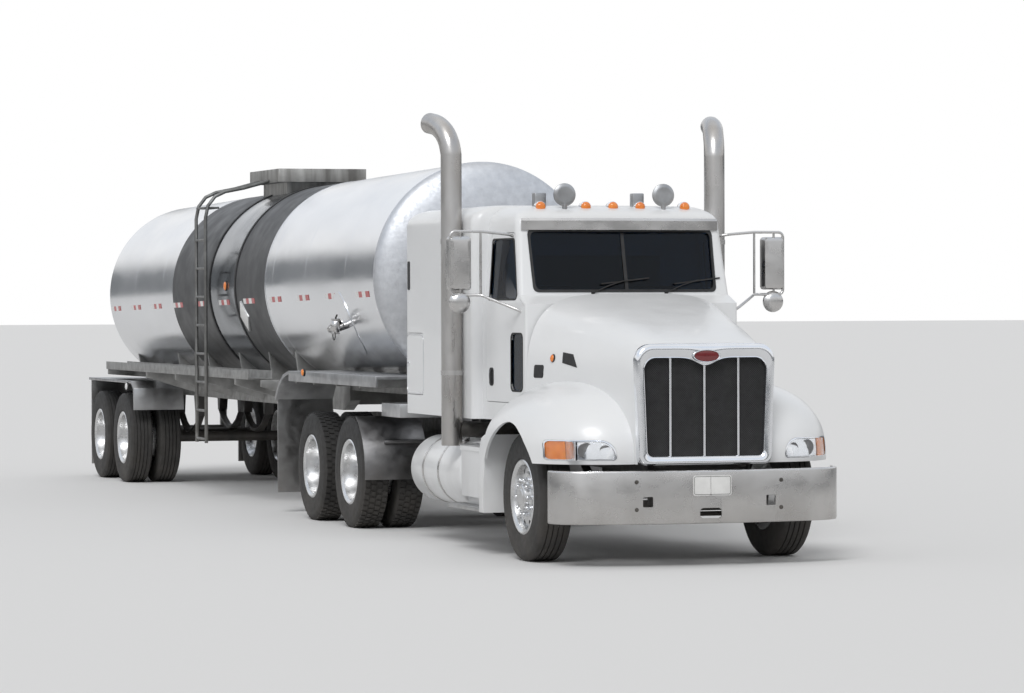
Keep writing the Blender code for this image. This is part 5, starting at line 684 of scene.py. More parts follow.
floorPiece = meshObject("floor", [([(-1, -1, 0), (1, -1, 0), (1, 1, 0), (-1, 1, 0)], [(0, 1, 2, 3)])],
                        lift=False)
floorPiece.data.transform(Matrix.Scale(lightSetup.floorSize, 4))
floorMaterial = bpy.data.materials.new("floorPale")
floorMaterial.use_nodes = True
floorInputs = floorMaterial.node_tree.nodes["Principled BSDF"].inputs
floorInputs["Base Color"].default_value = (*lightSetup.floorColour, 1)
floorInputs["Roughness"].default_value = lightSetup.floorRoughness
floorPiece.data.materials.append(floorMaterial)


# Wheels

tyreShape = Values(radius=0.5108, rim=0.286, steerWidth=0.285, dualWidth=0.268, dualSpacing=0.33,
                   grooveDepth=0.013, grooveWidth=0.010, ribs=5, steps=96, lugs=52, lugRise=0.010,
                   lugHalf=0.0225, treadHalf=0.108)
rimShape = Values(discX=0.085, holeCircle=0.213, holeRadius=0.021, holes=10, studCircle=0.1425, studs=10,
                  hubRadius=0.100, dualDisc=0.035, dualHoleCircle=0.195, steps=80)


def tyreProfile(width, ribs, top):
    # from the inner bead over the tread to the outer bead, with grooves between the ribs
    half, rim = width / 2, tyreShape.rim
    wall = [(0.100, 0.000), (0.118, 0.006), (0.132, 0.022), (0.136, 0.030), (0.1355, 0.038),
            (0.1425, 0.080), (0.1430, 0.110), (0.1400, 0.142), (0.1365, 0.165), (0.1370, 0.172),
            (0.1320, 0.192), (0.1240, 0.208), (0.1130, 0.2185)]
    share = half / 0.1430
    rise = (top - rim) / 0.2228
    right = [(across * share, rim + up * rise) for across, up in wall]
    tread, edge = [], 0.1085 * share
    groove, depth = tyreShape.grooveWidth / 2, tyreShape.grooveDepth
    for index in range(ribs + 1):
        middle = -edge + 2 * edge * index / ribs
        if index in (0, ribs):
            tread.append((middle, top - 0.0005))
        else:
            tread += [(middle - groove, top), (middle - groove * 0.7, top - depth),
                      (middle + groove * 0.7, top - depth), (middle + groove, top)]
    return [(-across, up) for across, up in right] + tread + right[::-1]


def tyreSolids(middles, width, ribs, top):
    return [lathe(tyreProfile(width, ribs, top), tyreShape.steps, (middle, 0, 0), (1, 0, 0), closed=True)
            for middle in middles]


def rimHoles(circle, first, last):
    turns = [2 * pi * step / rimShape.holes for step in range(rimShape.holes)]
    return [rod((first, circle * cos(turn), circle * sin(turn)),
                (last, circle * cos(turn), circle * sin(turn)), rimShape.holeRadius) for turn in turns]


def makeFrontWheels():
    half, rim = tyreShape.steerWidth / 2, tyreShape.rim
    disc = rimShape.discX
    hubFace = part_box("front_wheel_left")[0].x - joints["front_wheel_left_spin"]["pos_m"][0]
    metal = [(hubFace, 0), (hubFace, 0.19), (hubFace + 0.03, 0.20), (-half + 0.06, 0.225),
             (-half + 0.028, rim - 0.03), (-half + 0.018, rim - 0.008), (-half + 0.012, rim + 0.004),
             (-half + 0.016, rim + 0.014), (-half + 0.026, rim + 0.012), (-half + 0.05, rim - 0.01),
             (half - 0.05, rim - 0.01), (half - 0.026, rim + 0.012), (half - 0.016, rim + 0.014),
             (half - 0.010, rim + 0.004), (half - 0.014, rim - 0.010), (half - 0.030, rim - 0.028),
             (half - 0.060, rim - 0.036), (disc - 0.025, rim - 0.042), (disc - 0.008, rim - 0.052),
             (disc, 0.222), (disc + 0.006, 0.19), (disc + 0.004, 0.165), (disc + 0.002, 0.118),
             (disc + 0.012, 0.108), (disc + 0.05, rimShape.hubRadius), (disc + 0.058, 0.092),
             (disc + 0.058, 0.070), (disc + 0.064, 0.062), (disc + 0.066, 0.0)]
    for side, word in sides:
        body = f"front_wheel_{word}"
        centre = Vector(joints[f"{body}_spin"]["pos_m"])
        solids = tyreSolids((0,), tyreShape.steerWidth, tyreShape.ribs, tyreShape.radius)
        tyre = meshObject(f"frontTyre_{word}", solids, lift=False)
        finishPiece(moved(tyre, centre, side), body, "tyreRubber", 40, (body,))
        wheel = meshObject(f"frontRim_{word}", [lathe(metal, rimShape.steps, (0, 0, 0), (1, 0, 0))],
                           lift=False)
        carve(wheel, rimHoles(rimShape.holeCircle, disc - 0.05, disc + 0.05), lift=False)
        finishPiece(moved(wheel, centre, side), body, "alloyWheel", 30)
        cover = [lathe([(0, 0.021), (0.004, 0.021), (0.010, 0.0165), (0.040, 0.0165), (0.052, 0.012),
                        (0.056, 0)], 12, (disc + 0.002, 0, 0), (1, 0, 0))]
        covers = ringPiece(f"frontLugCovers_{word}", cover, centre, side, rimShape.studs,
                           rimShape.studCircle, 0.3, "chromeTrim")
        finishPiece(covers, body, "chromeTrim")


def makeDualWheels():
    half, rim, gap = tyreShape.dualWidth / 2, tyreShape.rim, tyreShape.dualSpacing / 2
    disc, face = rimShape.dualDisc, gap + half
    metal = [(-gap - 0.06, 0), (-gap - 0.06, 0.19), (-gap - 0.02, 0.21), (-gap - half + 0.03, rim - 0.02),
             (-gap - half + 0.014, rim + 0.004), (-gap - half + 0.02, rim + 0.012),
             (-gap - half + 0.05, rim - 0.01), (face - 0.05, rim - 0.01), (face - 0.026, rim + 0.012),
             (face - 0.016, rim + 0.013), (face - 0.010, rim + 0.003), (face - 0.014, rim - 0.010),
             (face - 0.030, rim - 0.026), (face - 0.075, rim - 0.032), (face - 0.11, rim - 0.046),
             (disc + 0.045, rim - 0.052), (disc + 0.018, 0.228), (disc + 0.004, 0.205), (disc, 0.175),
             (disc, 0.118), (disc + 0.010, 0.100), (disc + 0.075, 0.092), (disc + 0.082, 0.085),
             (disc + 0.125, 0.083), (disc + 0.130, 0.076), (disc + 0.134, 0)]
    for group, tyreRibs, lugs in (("drive", 1, True), ("trailer", 5, False)):
        for place in ("front", "rear"):
            for side, word in sides:
                body = f"{group}_wheel_{place}_{word}"
                centre = Vector(joints[f"{body}_spin"]["pos_m"])
                top = tyreShape.radius - (tyreShape.lugRise if lugs else 0)
                solids = tyreSolids((-gap, gap), tyreShape.dualWidth, tyreRibs, top)
                tyre = meshObject(f"{body}_tyres", solids, lift=False)
                finishPiece(moved(tyre, centre, side), body, "tyreRubber", 40, (body,))
                if lugs:
                    rows = []
                    for middle in (-gap, gap):
                        for share, lag in ((-0.78, 0), (-0.26, 0.5), (0.26, 0), (0.78, 0.5)):
                            across, wide = middle + tyreShape.treadHalf * share, tyreShape.lugHalf
                            block = prism([(across - wide, -wide), (across + wide, -0.017),
                                           (across + wide, wide), (across - wide, 0.017)], "Z",
                                          (-0.002, tyreShape.lugRise - 0.0006))
                            turn = 2 * pi * lag / tyreShape.lugs
                            rows.append(ringPiece(f"{body}_row", [block], Vector((0, 0, 0)), 1,
                                                  tyreShape.lugs, top, turn, "tyreRubber"))
                    finishPiece(moved(joinedPieces(f"{body}_tread", rows), centre, side), body,
                                "tyreRubber")
                wheel = meshObject(f"{body}_rim", [lathe(metal, rimShape.steps, (0, 0, 0), (1, 0, 0))],
                                   lift=False)
                carve(wheel, rimHoles(rimShape.dualHoleCircle, disc - 0.02, disc + 0.06), lift=False)
                finishPiece(moved(wheel, centre, side), body, "alloyWheel", 30)
                nut = [lathe([(0, 0.020), (0.003, 0.020), (0.004, 0.0165), (0.022, 0.0165),
                              (0.026, 0.011), (0.044, 0.011), (0.046, 0)], 6, (disc, 0, 0), (1, 0, 0))]
                nuts = ringPiece(f"{body}_nuts", nut, centre, side, rimShape.studs, rimShape.studCircle,
                                 0.2, "castIron")
                finishPiece(nuts, body, "castIron", 20)


makeFrontWheels()
makeDualWheels()
print("wheels made")


# Tank and what it carries

tankShape = Values(front=4.61, rear=15.96, radius=1.045, frontAxis=2.30, rearAxis=2.145, steps=160,
                   bulge=0.21, lip=0.035, hoops=(0.46, 0.56), hoopWidth=0.05, hoopRise=0.012,
                   satinEnd=4.66, darkFront=8.60, darkRear=12.70, bandRise=0.0015,
                   lidStation=10.83, lidRadius=0.26, collarRise=0.05,
                   seams=(5.62, 7.05, 8.30, 13.2, 14.6))
tapeShape = Values(height=-0.16, long=0.46, tall=0.055, pitch=1.06, count=11, first=4.83, out=0.002)
placardShape = Values(station=9.6, z=1.92, half=0.165, standOff=0.012, sheet=0.003, frame=0.012)
outletShape = Values(station=5.90, drop=0.42, halfLength=0.24, halfHeight=0.30, stubY=5.82, stub=0.035,
                     face=1.029, valve=0.05, valveHeight=0.15, ring=0.042, ringTube=0.005)

lampPlaces = Values(tank=(10.23, 2.233), fender=(1.296, 6.17, 1.40), reflector=(1.262, 14.05, 1.11))


def tankAxis(station):
    share = (station - tankShape.front) / (tankShape.rear - tankShape.front)
    return tankShape.frontAxis + (tankShape.rearAxis - tankShape.frontAxis) * share


def tankLine():
    start = Vector((0, tankShape.front, tankShape.frontAxis))
    run = Vector((0, tankShape.rear, tankShape.rearAxis)) - start
    return start, run


def barrelSection(first, last, rise):
    # a sheet round the barrel between two stations
    start, run = tankLine()
    low, high = (first - tankShape.front, last - tankShape.front)
    radius = tankShape.radius
    profile = [(low, radius - 0.004), (low, radius + rise), (high, radius + rise), (high, radius - 0.004)]
    return lathe(profile, tankShape.steps, start, run, closed=True)


def makeTank():
    start, run = tankLine()
    length, radius, lip, bulge = run.length, tankShape.radius, tankShape.lip, tankShape.bulge
    # dished heads: drawn from full radius at the shell's ends to the axis
    turns = [pi / 2 * step / 24 for step in range(25)]
    dish = [(bulge * sin(turn), radius * cos(turn) ** 0.9) for turn in turns[:-1]] + [(bulge, 0)]
    front = [(-reach, wide) for reach, wide in dish[::-1]]
    rear = [(length + reach, wide) for reach, wide in dish]
    seams = []
    for station in tankShape.seams:
        place = station - tankShape.front
        seams += [(place - 0.004, radius), (place - 0.0015, radius - 0.0025),
                  (place + 0.0015, radius - 0.0025), (place + 0.004, radius)]
    inside = [(length, radius - lip), (0, radius - lip)]
    barrel = lathe([(0, radius)] + seams + [(length, radius)] + inside, tankShape.steps, start, run,
                   closed=True)
    piece("tank_barrel", [barrel], "trailer", "tankSteel", sharp=25, replaced=("tank",))
    heads = [lathe(front + [(-0.001, radius - lip), (-0.001, 0)], tankShape.steps, start, run),
             lathe([(length + 0.001, 0), (length + 0.001, radius - lip)] + rear, tankShape.steps, start,
                   run)]
    piece("tank_heads", heads, "trailer", "tankSatin", sharp=40)
    # satin strip by the front head, dark belts each side of the shaded middle
    piece("tank_satinEnd", [barrelSection(tankShape.front + 0.002, tankShape.satinEnd,
                                          tankShape.bandRise)],
          "trailer", "tankSatin", sharp=25)
    hoops = [tankShape.front + length * share for share in tankShape.hoops]
    rise = tankShape.bandRise
    piece("tank_darkBelts", [barrelSection(tankShape.darkFront, hoops[0], rise),
                             barrelSection(hoops[1], tankShape.darkRear, rise)], "trailer",
          "tankDark", sharp=25)
    piece("tank_shadeSheet", [barrelSection(hoops[0], hoops[1], rise)], "trailer",
          "tankShade", sharp=25)
    rings = []
    for station in hoops:
        place, half, up = station - tankShape.front, tankShape.hoopWidth / 2, tankShape.hoopRise
        profile = [(place - half, radius), (place - half, radius + up - 0.003),
                   (place - half + 0.003, radius + up), (place + half - 0.003, radius + up),
                   (place + half, radius + up - 0.003), (place + half, radius)]
        rings.append(lathe(profile, tankShape.steps, start, run, closed=True))
    piece("tank_hoops", rings, "trailer", "blackRubber", sharp=30)
    # narrow bright edge strips where the sheets lap
    strips = [barrelSection(station - 0.012, station + 0.012, rise * 2) for station in
              (tankShape.satinEnd, tankShape.darkFront, tankShape.darkRear)]
    piece("tank_edgeStrips", strips, "trailer", "tankSteel", sharp=25)
    # manhole collar and its bolted flange
    top = tankAxis(tankShape.lidStation) + radius
    collar = lathe([(-0.06, tankShape.lidRadius), (tankShape.collarRise, tankShape.lidRadius),
                    (tankShape.collarRise, tankShape.lidRadius - 0.03),
                    (-0.06, tankShape.lidRadius - 0.03)], 64, (0, tankShape.lidStation, top), (0, 0, 1),
                   closed=True)
    base = lathe([(-0.02, 0), (-0.02, tankShape.lidRadius - 0.03), (0.01, tankShape.lidRadius - 0.03),
                  (0.01, 0)], 48, (0, tankShape.lidStation, top), (0, 0, 1))
    piece("tank_collar", [collar, base], "trailer", "tankSatin")


def tapePatch(station, long, side):
    # a strip that follows the barrel's side
    angleLow = tapeShape.height / tankShape.radius
    points, out = [], tankShape.radius + tankShape.bandRise + tapeShape.out
    for along in (station, station + long):
        for step in range(3):
            angle = angleLow + tapeShape.tall / tankShape.radius * (step / 2 - 0.5)
            points.append((side * out * cos(angle), along, tankAxis(along) + out * sin(angle)))
        for step in range(3):
            angle = angleLow + tapeShape.tall / tankShape.radius * (0.5 - step / 2)
            points.append((side * (out - tapeShape.out) * cos(angle), along,
                           tankAxis(along) + (out - tapeShape.out) * sin(angle)))
    return loft([points[:6], points[6:]])


def makeTape():
    red, white = [], []
    quarter = tapeShape.long / 4
    for side in (1, -1):
        for place in range(tapeShape.count):
            station = tapeShape.first + tapeShape.pitch * place
            for part in range(4):
                (red, white)[part % 2].append(tapePatch(station + quarter * part, quarter, side))
    piece("tank_tapeRed", red, "trailer", "tapeRed")
    piece("tank_tapeWhite", white, "trailer", "tapeWhite")


def onBarrel(station, z, out):
    # a point off the right of the barrel at a height, with the way out
    rise = z - tankAxis(station)
    turn = asin(rise / tankShape.radius)
    way = Vector((cos(turn), 0, sin(turn)))
    return Vector((0, station, tankAxis(station))) + way * (tankShape.radius + out), way


def makePlacards():
    # a blank diamond in its frame, tilted with the barrel
    shape = placardShape
    boards, frames = [], []
    front = shape.standOff + shape.sheet
    for place, half, low, high in ((boards, shape.half - shape.frame, shape.standOff, front),
                                   (frames, shape.half, 0, shape.standOff)):
        rings = []
        for out in (low - (0.02 if low == 0 else 0.002), high):
            middle, way = onBarrel(shape.station, shape.z, out)
            up = Vector((-way.z, 0, way.x))
            rings.append([tuple(middle + up * half), tuple(middle + Vector((0, half, 0))),
                          tuple(middle - up * half), tuple(middle - Vector((0, half, 0)))])
        place.append(loft(rings))
    for side, word in sides:
        piece(f"placard_{word}", [sided(solid, side) for solid in boards], "trailer",
              "plateWhite", bevel=0.001)
        piece(f"placard_{word}_frame", [sided(solid, side) for solid in frames], "trailer",
              "aluminium", bevel=0.002)


def makeOutlet():
    # oval pad on the barrel, a short stub, the valve with its hand ring and the nozzle
    shape = outletShape
    z = tankAxis(shape.station) - shape.drop
    start, run = tankLine()
    pad = meshObject("outlet_pad", [lathe([(0, 0.9), (0, tankShape.radius + 0.006),
                                           (run.length, tankShape.radius + 0.006), (run.length, 0.9)],
                                          tankShape.steps, start, run, closed=True)])
    oval = [(shape.station + shape.halfLength * cos(2 * pi * step / 48),
             z + shape.halfHeight * sin(2 * pi * step / 48)) for step in range(48)]
    carve(pad, [prism(oval, "X", (-1.2, -0.4))], "INTERSECT")
    finishPiece(pad, "trailer", "tankSteel", 30, ("side_outlet",))
    x, y, drop = shape.face + shape.valve, shape.stubY, shape.valveHeight / 3
    stub = rod((shape.face - 0.10, y, z), (x, y, z - drop), shape.stub)
    flange = lathe([(0, 0), (0, 0.058), (0.012, 0.058), (0.012, 0)], 32, (shape.face - 0.012, y, z),
                   (1, 0, -0.4))
    bodyProfile = [(0, 0), (0, 0.034), (0.004, 0.040), (0.014, 0.040), (0.020, 0.034), (0.040, 0.046),
                   (0.075, 0.050), (0.110, 0.046), (0.128, 0.034), (0.134, 0.040), (0.146, 0.040),
                   (0.150, 0.034), (0.150, 0)]
    valve = lathe(bodyProfile, 32, (x, y, z - 2 * drop), (0, 0, 1))
    nozzle = lathe([(0, 0), (0, 0.026), (0.150, 0.026), (0.152, 0.036), (0.170, 0.036), (0.172, 0.030),
                    (0.205, 0.030), (0.208, 0.026), (0.208, 0.018), (0.190, 0.018), (0.190, 0)], 32,
                   (x, y, z - drop), (0, 1, 0))
    turns = [2 * pi * step / 24 for step in range(24)]
    hoop = tube([(x + shape.valve * 0.3, y + shape.ring * cos(turn),
                  z - 2.2 * drop + shape.ring * sin(turn)) for turn in turns], shape.ringTube, 10,
                closed=True)
    lever = rod((x, y, z + drop), (x + 0.02, y - 0.12, z + drop + 0.03), 0.008, 12)
    piece("outlet_valve", [mirrored(solid) for solid in (stub, flange, valve, nozzle)], "trailer",
          "bumperSteel", sharp=40)
    piece("outlet_handles", [mirrored(hoop), mirrored(lever)], "trailer", "castIron",
          sharp=50)


def markerLamp(name, spot, way, radius, body, finish):
    # a round side lamp: dark base ring and a domed lens
    base = lathe([(-0.01, 0), (-0.01, radius * 1.15), (0.006, radius * 1.15), (0.009, radius * 1.05),
                  (0.009, 0)], 32, spot, way)
    lens = lathe([(0.008, 0), (0.008, radius), (0.016, radius * 0.92), (0.022, radius * 0.7),
                  (0.025, radius * 0.35), (0.026, 0)], 32, spot, way)
    for side, word in sides:
        piece(f"{name}_{word}_base", [sided(base, side)], body, "blackRubber", sharp=40)
        piece(f"{name}_{word}_lens", [sided(lens, side)], body, finish, sharp=40)


makeTank()
makeTape()
makePlacards()
makeOutlet()
markerLamp("tank_lamp", *onBarrel(*lampPlaces.tank, 0.002), 0.045, "trailer", "lampAmber")
markerLamp("fender_lamp", lampPlaces.fender, (1, 0, 0), 0.032, "trailer", "lampAmber")
markerLamp("rear_reflector", lampPlaces.reflector, (1, 0, 0), 0.04, "trailer", "tapeWhite")
print("tank made")


# Hood with its fenders

hoodShape = Values(front=-1.02, rear=0.575, base=0.80, baseRear=1.02, noseTop=1.745, rearTop=2.13,
                   noseHalf=0.56, rearHalf=0.93, skin=0.022, steps=64, rings=28, overrun=0.02,
                   fenderHalf=1.315, fenderInner=0.45, crest=1.45, crestStation=0.05, reachRear=0.86,
                   archRadius=0.60, crestPower=2.4, sidePower=2.6)
lampShape = Values(inner=0.70, outer=1.19, bottom=0.83, top=0.99, corner=0.03, sweep=0.125, back=-0.62,
                   gap=0.0003, rim=0.010, divider=(1.045, 1.058), bowlX=0.93, smallX=0.79, bowlZ=0.91,
                   wallDepth=0.012, floorDepth=0.045, amberDepth=0.010, lensDepth=0.003)


def ovalHalf(halfWidth, base, top, power, steps, inner):
    points = []
    for step in range(steps + 1):
        angle = pi * step / steps
        across = abs(cos(angle)) ** (2 / power) * (1 if cos(angle) >= 0 else -1)
        points.append((across * (halfWidth - inner), base + (top - inner - base)
                       * abs(sin(angle)) ** (2 / power)))
    return points


def between(stops, share):
    # smooth value at a share of the length, through (share, value) stops
    for (first, low), (last, high) in zip(stops, stops[1:]):
        if share <= last:
            part = (share - first) / (last - first)
            return low + (high - low) * part
    return stops[-1][1]


def raisedFrame(name, body, outlineOf, width, rise, axis, span, rideOn, finish):
    # a rim of even width that follows a body's skin round an outline
    rim = meshObject(name, [body(-rise)])
    carve(rim, [prism(outlineOf(-width), axis, span)], "INTERSECT")
    carve(rim, [prism(outlineOf(0), axis, span), body(0.014)])
    return finishPiece(rim, rideOn, finish, 30)


def skinPatch(name, body, outlines, axis, span, rise, thickness, rideOn, finish):
    # a plate of one thickness that lies on or in a body's skin, inside an outline
    patch = meshObject(name, [body(-rise)])
    carve(patch, [prism(outline, axis, span) for outline in outlines], "INTERSECT")
    carve(patch, [body(thickness - rise)])
    return finishPiece(patch, rideOn, finish, 30)


def hoodBody(inner):
    run = hoodShape.rear - hoodShape.front
    powers = ((0, 7), (0.2, 6), (0.45, 5), (0.75, 4.4), (1, 4.2))
    rings = []
    for index in range(hoodShape.rings + 1):
        share = index / hoodShape.rings
        station = hoodShape.front + run * share
        if inner and index == 0:
            station -= hoodShape.overrun
        if inner and index == hoodShape.rings:
            station += hoodShape.overrun
        width = hoodShape.noseHalf + (hoodShape.rearHalf - hoodShape.noseHalf) * share
        top = hoodShape.noseTop + (hoodShape.rearTop - hoodShape.noseTop) * share ** 0.85
        base = hoodShape.base + (hoodShape.baseRear - hoodShape.base) * share
        outline = ovalHalf(width, base, top, between(powers, share), hoodShape.steps, inner)
        if inner:
            foot = base - hoodShape.overrun
            outline = [(outline[0][0], foot)] + outline + [(outline[-1][0], foot)]
        rings.append([(x, station, z) for x, z in outline])
    return loft(rings)


def fallOff(share, power):
    return (1 - share ** power) ** (1 / power)


def fenderBody(inner):
    front = hoodShape.front + hoodShape.skin / 2
    crest, start, base = hoodShape.crestStation, hoodShape.fenderInner, hoodShape.base
    power = hoodShape.sidePower
    shares = [0.985, 0.965, 0.94, 0.9, 0.86, 0.8, 0.74, 0.65, 0.55, 0.42, 0.3, 0.15, 0]
    stations = [crest + (front - crest) * share for share in shares]
    stations += [crest + (hoodShape.rear - crest) * share for share in (0.2, 0.4, 0.6, 0.75, 0.9, 1)]
    rings = []
    for index, station in enumerate(stations):
        ahead = station < crest
        reach = crest - front if ahead else hoodShape.reachRear
        share = abs(station - crest) / reach
        top = base + (hoodShape.crest - base) * fallOff(share, hoodShape.crestPower)
        wide = start + (hoodShape.fenderHalf - start) * fallOff(share, power)
        width = wide if ahead else hoodShape.fenderHalf - 0.03 * share
        place = station
        if inner and index == 0:
            place += inner
        if inner and index == len(stations) - 1:
            place += hoodShape.overrun
        outline = [(start - (hoodShape.overrun if inner else 0), base)]
        for step in range(33):
            angle = pi / 2 * step / 32
            outline.append((start + (width - inner - start) * sin(angle) ** (2 / power),
                            base + max(top - inner - base, inner) * cos(angle) ** (2 / power)))
        if inner:
            outline = [(x, z if z > base else base - hoodShape.overrun) for x, z in outline]
            outline[1] = (outline[0][0], outline[1][1])
        rings.append([(x, place, z) for x, z in outline])
    return loft(rings)


def lampPrism(grow):
    shape = lampShape
    inner, outer, low, high = shape.inner - grow, shape.outer + grow, shape.bottom - grow, shape.top + grow
    corner, sweep = shape.corner, shape.sweep
    outline = (arc((outer - corner, low + corner), corner, -90, 0, 6)
               + arc((outer - corner, high - corner), corner, 0, 90, 6)
               + arc((inner + sweep, high - sweep), sweep, 90, 180, 16)
               + arc((inner + corner, low + corner), corner, 180, 270, 6))
    return prism(outline, "Y", (hoodShape.front - hoodShape.overrun, shape.back + grow))


def makeHood():
    skin = hoodShape.skin
    hood = meshObject("hood_panel", [hoodBody(0)])
    carve(hood, both(fenderBody(0)), "UNION")
    carve(hood, [hoodBody(skin)] + both(fenderBody(skin)))
    arches = [rod((side * (hoodShape.fenderInner + 0.02), 0, axleZ),
                  (side * (hoodShape.fenderHalf + 0.02), 0, axleZ), hoodShape.archRadius, 96)
              for side in (1, -1)]
    carve(hood, arches + both(lampPrism(lampShape.gap)))
    finishPiece(hood, "hood", "whitePaint", 32, ("hood",))


ventShape = Values(upper=((0.06, 1.66), (0.05, 1.575), (-0.17, 1.54), (-0.09, 1.645)),
                   lower=((0.32, 1.45), (0.46, 1.555)), rise=0.003, depth=0.010, span=(0.62, 1.0),
                   lamp=(0.819, 0.20, 1.61))


def makeHoodDetails():
    # air openings and a round lamp in each flank
    shape = ventShape
    for side, word in sides:
        span = tuple(sorted(side * edge for edge in shape.span))
        skinPatch(f"hood_vents_{word}", hoodBody, [list(shape.upper), roundedOutline(*shape.lower, 0.02)],
                  "X", span, shape.rise, shape.depth, "hood", "blackRubber")
    markerLamp("hood_lamp", shape.lamp, (1, 0, 0.12), 0.030, "hood", "lampAmber")


def lampFaceY(x, z):
    # the fender skin's front at a point of the lamp, found on its own rings
    shape, crest = hoodShape, hoodShape.crestStation
    front = shape.front + shape.skin / 2
    low, high = 0.0, 0.985
    for step in range(30):
        share = (low + high) / 2
        wide = (shape.fenderHalf - shape.fenderInner) * fallOff(share, shape.sidePower)
        tall = (shape.crest - shape.base) * fallOff(share, shape.crestPower)
        over, up = (x - shape.fenderInner) / wide, (z - shape.base) / tall
        inside = over ** shape.sidePower + up ** shape.sidePower
        low, high = (share, high) if inside < 1 else (low, share)
    return crest + (front - crest) * low


def lampLayer(depth):
    # the fender body set back from the lamp's face
    points, faces = fenderBody(0)
    return [Vector(point) + Vector((-0.5, 0.866, -0.2)) * depth for point in points], faces


def lampSheet(name, side, near, far, outlines, finish, sharp=40):
    # a sheet between two depths behind the lamp's face, inside the outlines
    made = meshObject(name, [sided(lampLayer(near), side)])
    for outline in outlines:
        carve(made, [sided(outline, side)], "INTERSECT")
    carve(made, [sided(lampLayer(far), side)])
    return finishPiece(made, "hood", finish, sharp)


def makeLamps():
    shape, opening = lampShape, lampPrism(-lampShape.rim)
    left, right = shape.divider
    deep = (hoodShape.front - hoodShape.overrun, shape.back)
    divider = box((left, right), deep, (shape.bottom, shape.top))
    amberEnd = box((left - 0.001, hoodShape.fenderHalf), deep,
                   (shape.bottom - shape.rim, shape.top + shape.rim))
    bowls = []
    for x, radius in ((shape.bowlX, 0.062), (shape.smallX, 0.042)):
        profile = [(0.012, radius), (0.010, radius * 0.92), (0.024, radius * 0.75),
                   (0.034, radius * 0.4), (0.030, radius * 0.28), (0.014, radius * 0.26),
                   (0.010, radius * 0.12), (0.010, 0)]
        spot = (x, lampFaceY(x, shape.bowlZ), shape.bowlZ)
        bowls.append(lathe(profile, 48, spot, (-0.25, 1, 0)))
    for side, word in sides:
        name = f"headlamp_{word}"
        bezel = meshObject(f"{name}_bezel", [sided(fenderBody(0), side)])
        carve(bezel, [sided(lampPrism(-0.001), side)], "INTERSECT")
        carve(bezel, [sided(opening, side), sided(fenderBody(hoodShape.skin), side)])
        finishPiece(bezel, "hood", "chromeTrim", 30, (name,))
        lampSheet(f"{name}_wall", side, shape.wallDepth, shape.floorDepth, (opening, divider),
                  "chromeTrim", 30)
        # the lamp's dark floor, its amber end and the two bowls behind the lens
        lampSheet(f"{name}_floor", side, shape.floorDepth, shape.floorDepth + 0.01, (opening,),
                  "castIron")
        lampSheet(f"{name}_amber", side, shape.amberDepth, shape.amberDepth + 0.006,
                  (opening, amberEnd), "lampAmber")
        piece(f"{name}_bowls", [sided(bowl, side) for bowl in bowls], "hood", "fenderSteel",
              sharp=40)
        lampSheet(f"{name}_lens", side, shape.lensDepth, shape.lensDepth + 0.004,
                  (lampPrism(-0.0125),), "lampClear")


makeHood()
makeLamps()
makeHoodDetails()
print("hood made")


# Grille: bright surround with a dip under the bare oval, woven mesh, three upright bars

grilleShape = Values(top=1.735, bottom=0.79, halfTop=0.578, halfBottom=0.553, band=0.072,
                     topBand=0.112, front=-1.10, back=-1.0205, dip=0.060, dipWidth=0.105,
                     cornerTop=0.13, cornerBottom=0.065, barX=0.283, barWidth=0.020,
                     meshPitch=0.0125, shortestWire=0.02, wire=0.0022, meshY=-1.036,
                     lugX=(0.311, 0.339), ovalZ=1.640, ovalHalfWidth=0.118, ovalHalfHeight=0.05)


def surroundPath(band, topBand, dip):
    shape = grilleShape
    low, high = shape.halfBottom - band, shape.halfTop - band
    bottom, top = shape.bottom + band, shape.top - topBand
    small, big = shape.cornerBottom - band / 4, shape.cornerTop - band / 2
    right = [(low * share, bottom) for share in (0, 0.3, 0.6)]
    right += arc((low - small, bottom + small), small, -90, 0, 6)
    right += [(low + (high - low) * share, bottom + small + (top - big - bottom - small) * share)
              for share in (0.25, 0.5, 0.75)]
    right += arc((high - big, top - big), big, 0, 90, 10)
    edge = high - big
    for step in range(1, 25):
        x = edge * (1 - step / 24)
        right.append((x, top - dip * 2.718 ** (-(x / shape.dipWidth) ** 2)))
    return right[:-1] + [(-x, z) for x, z in right[:0:-1]]


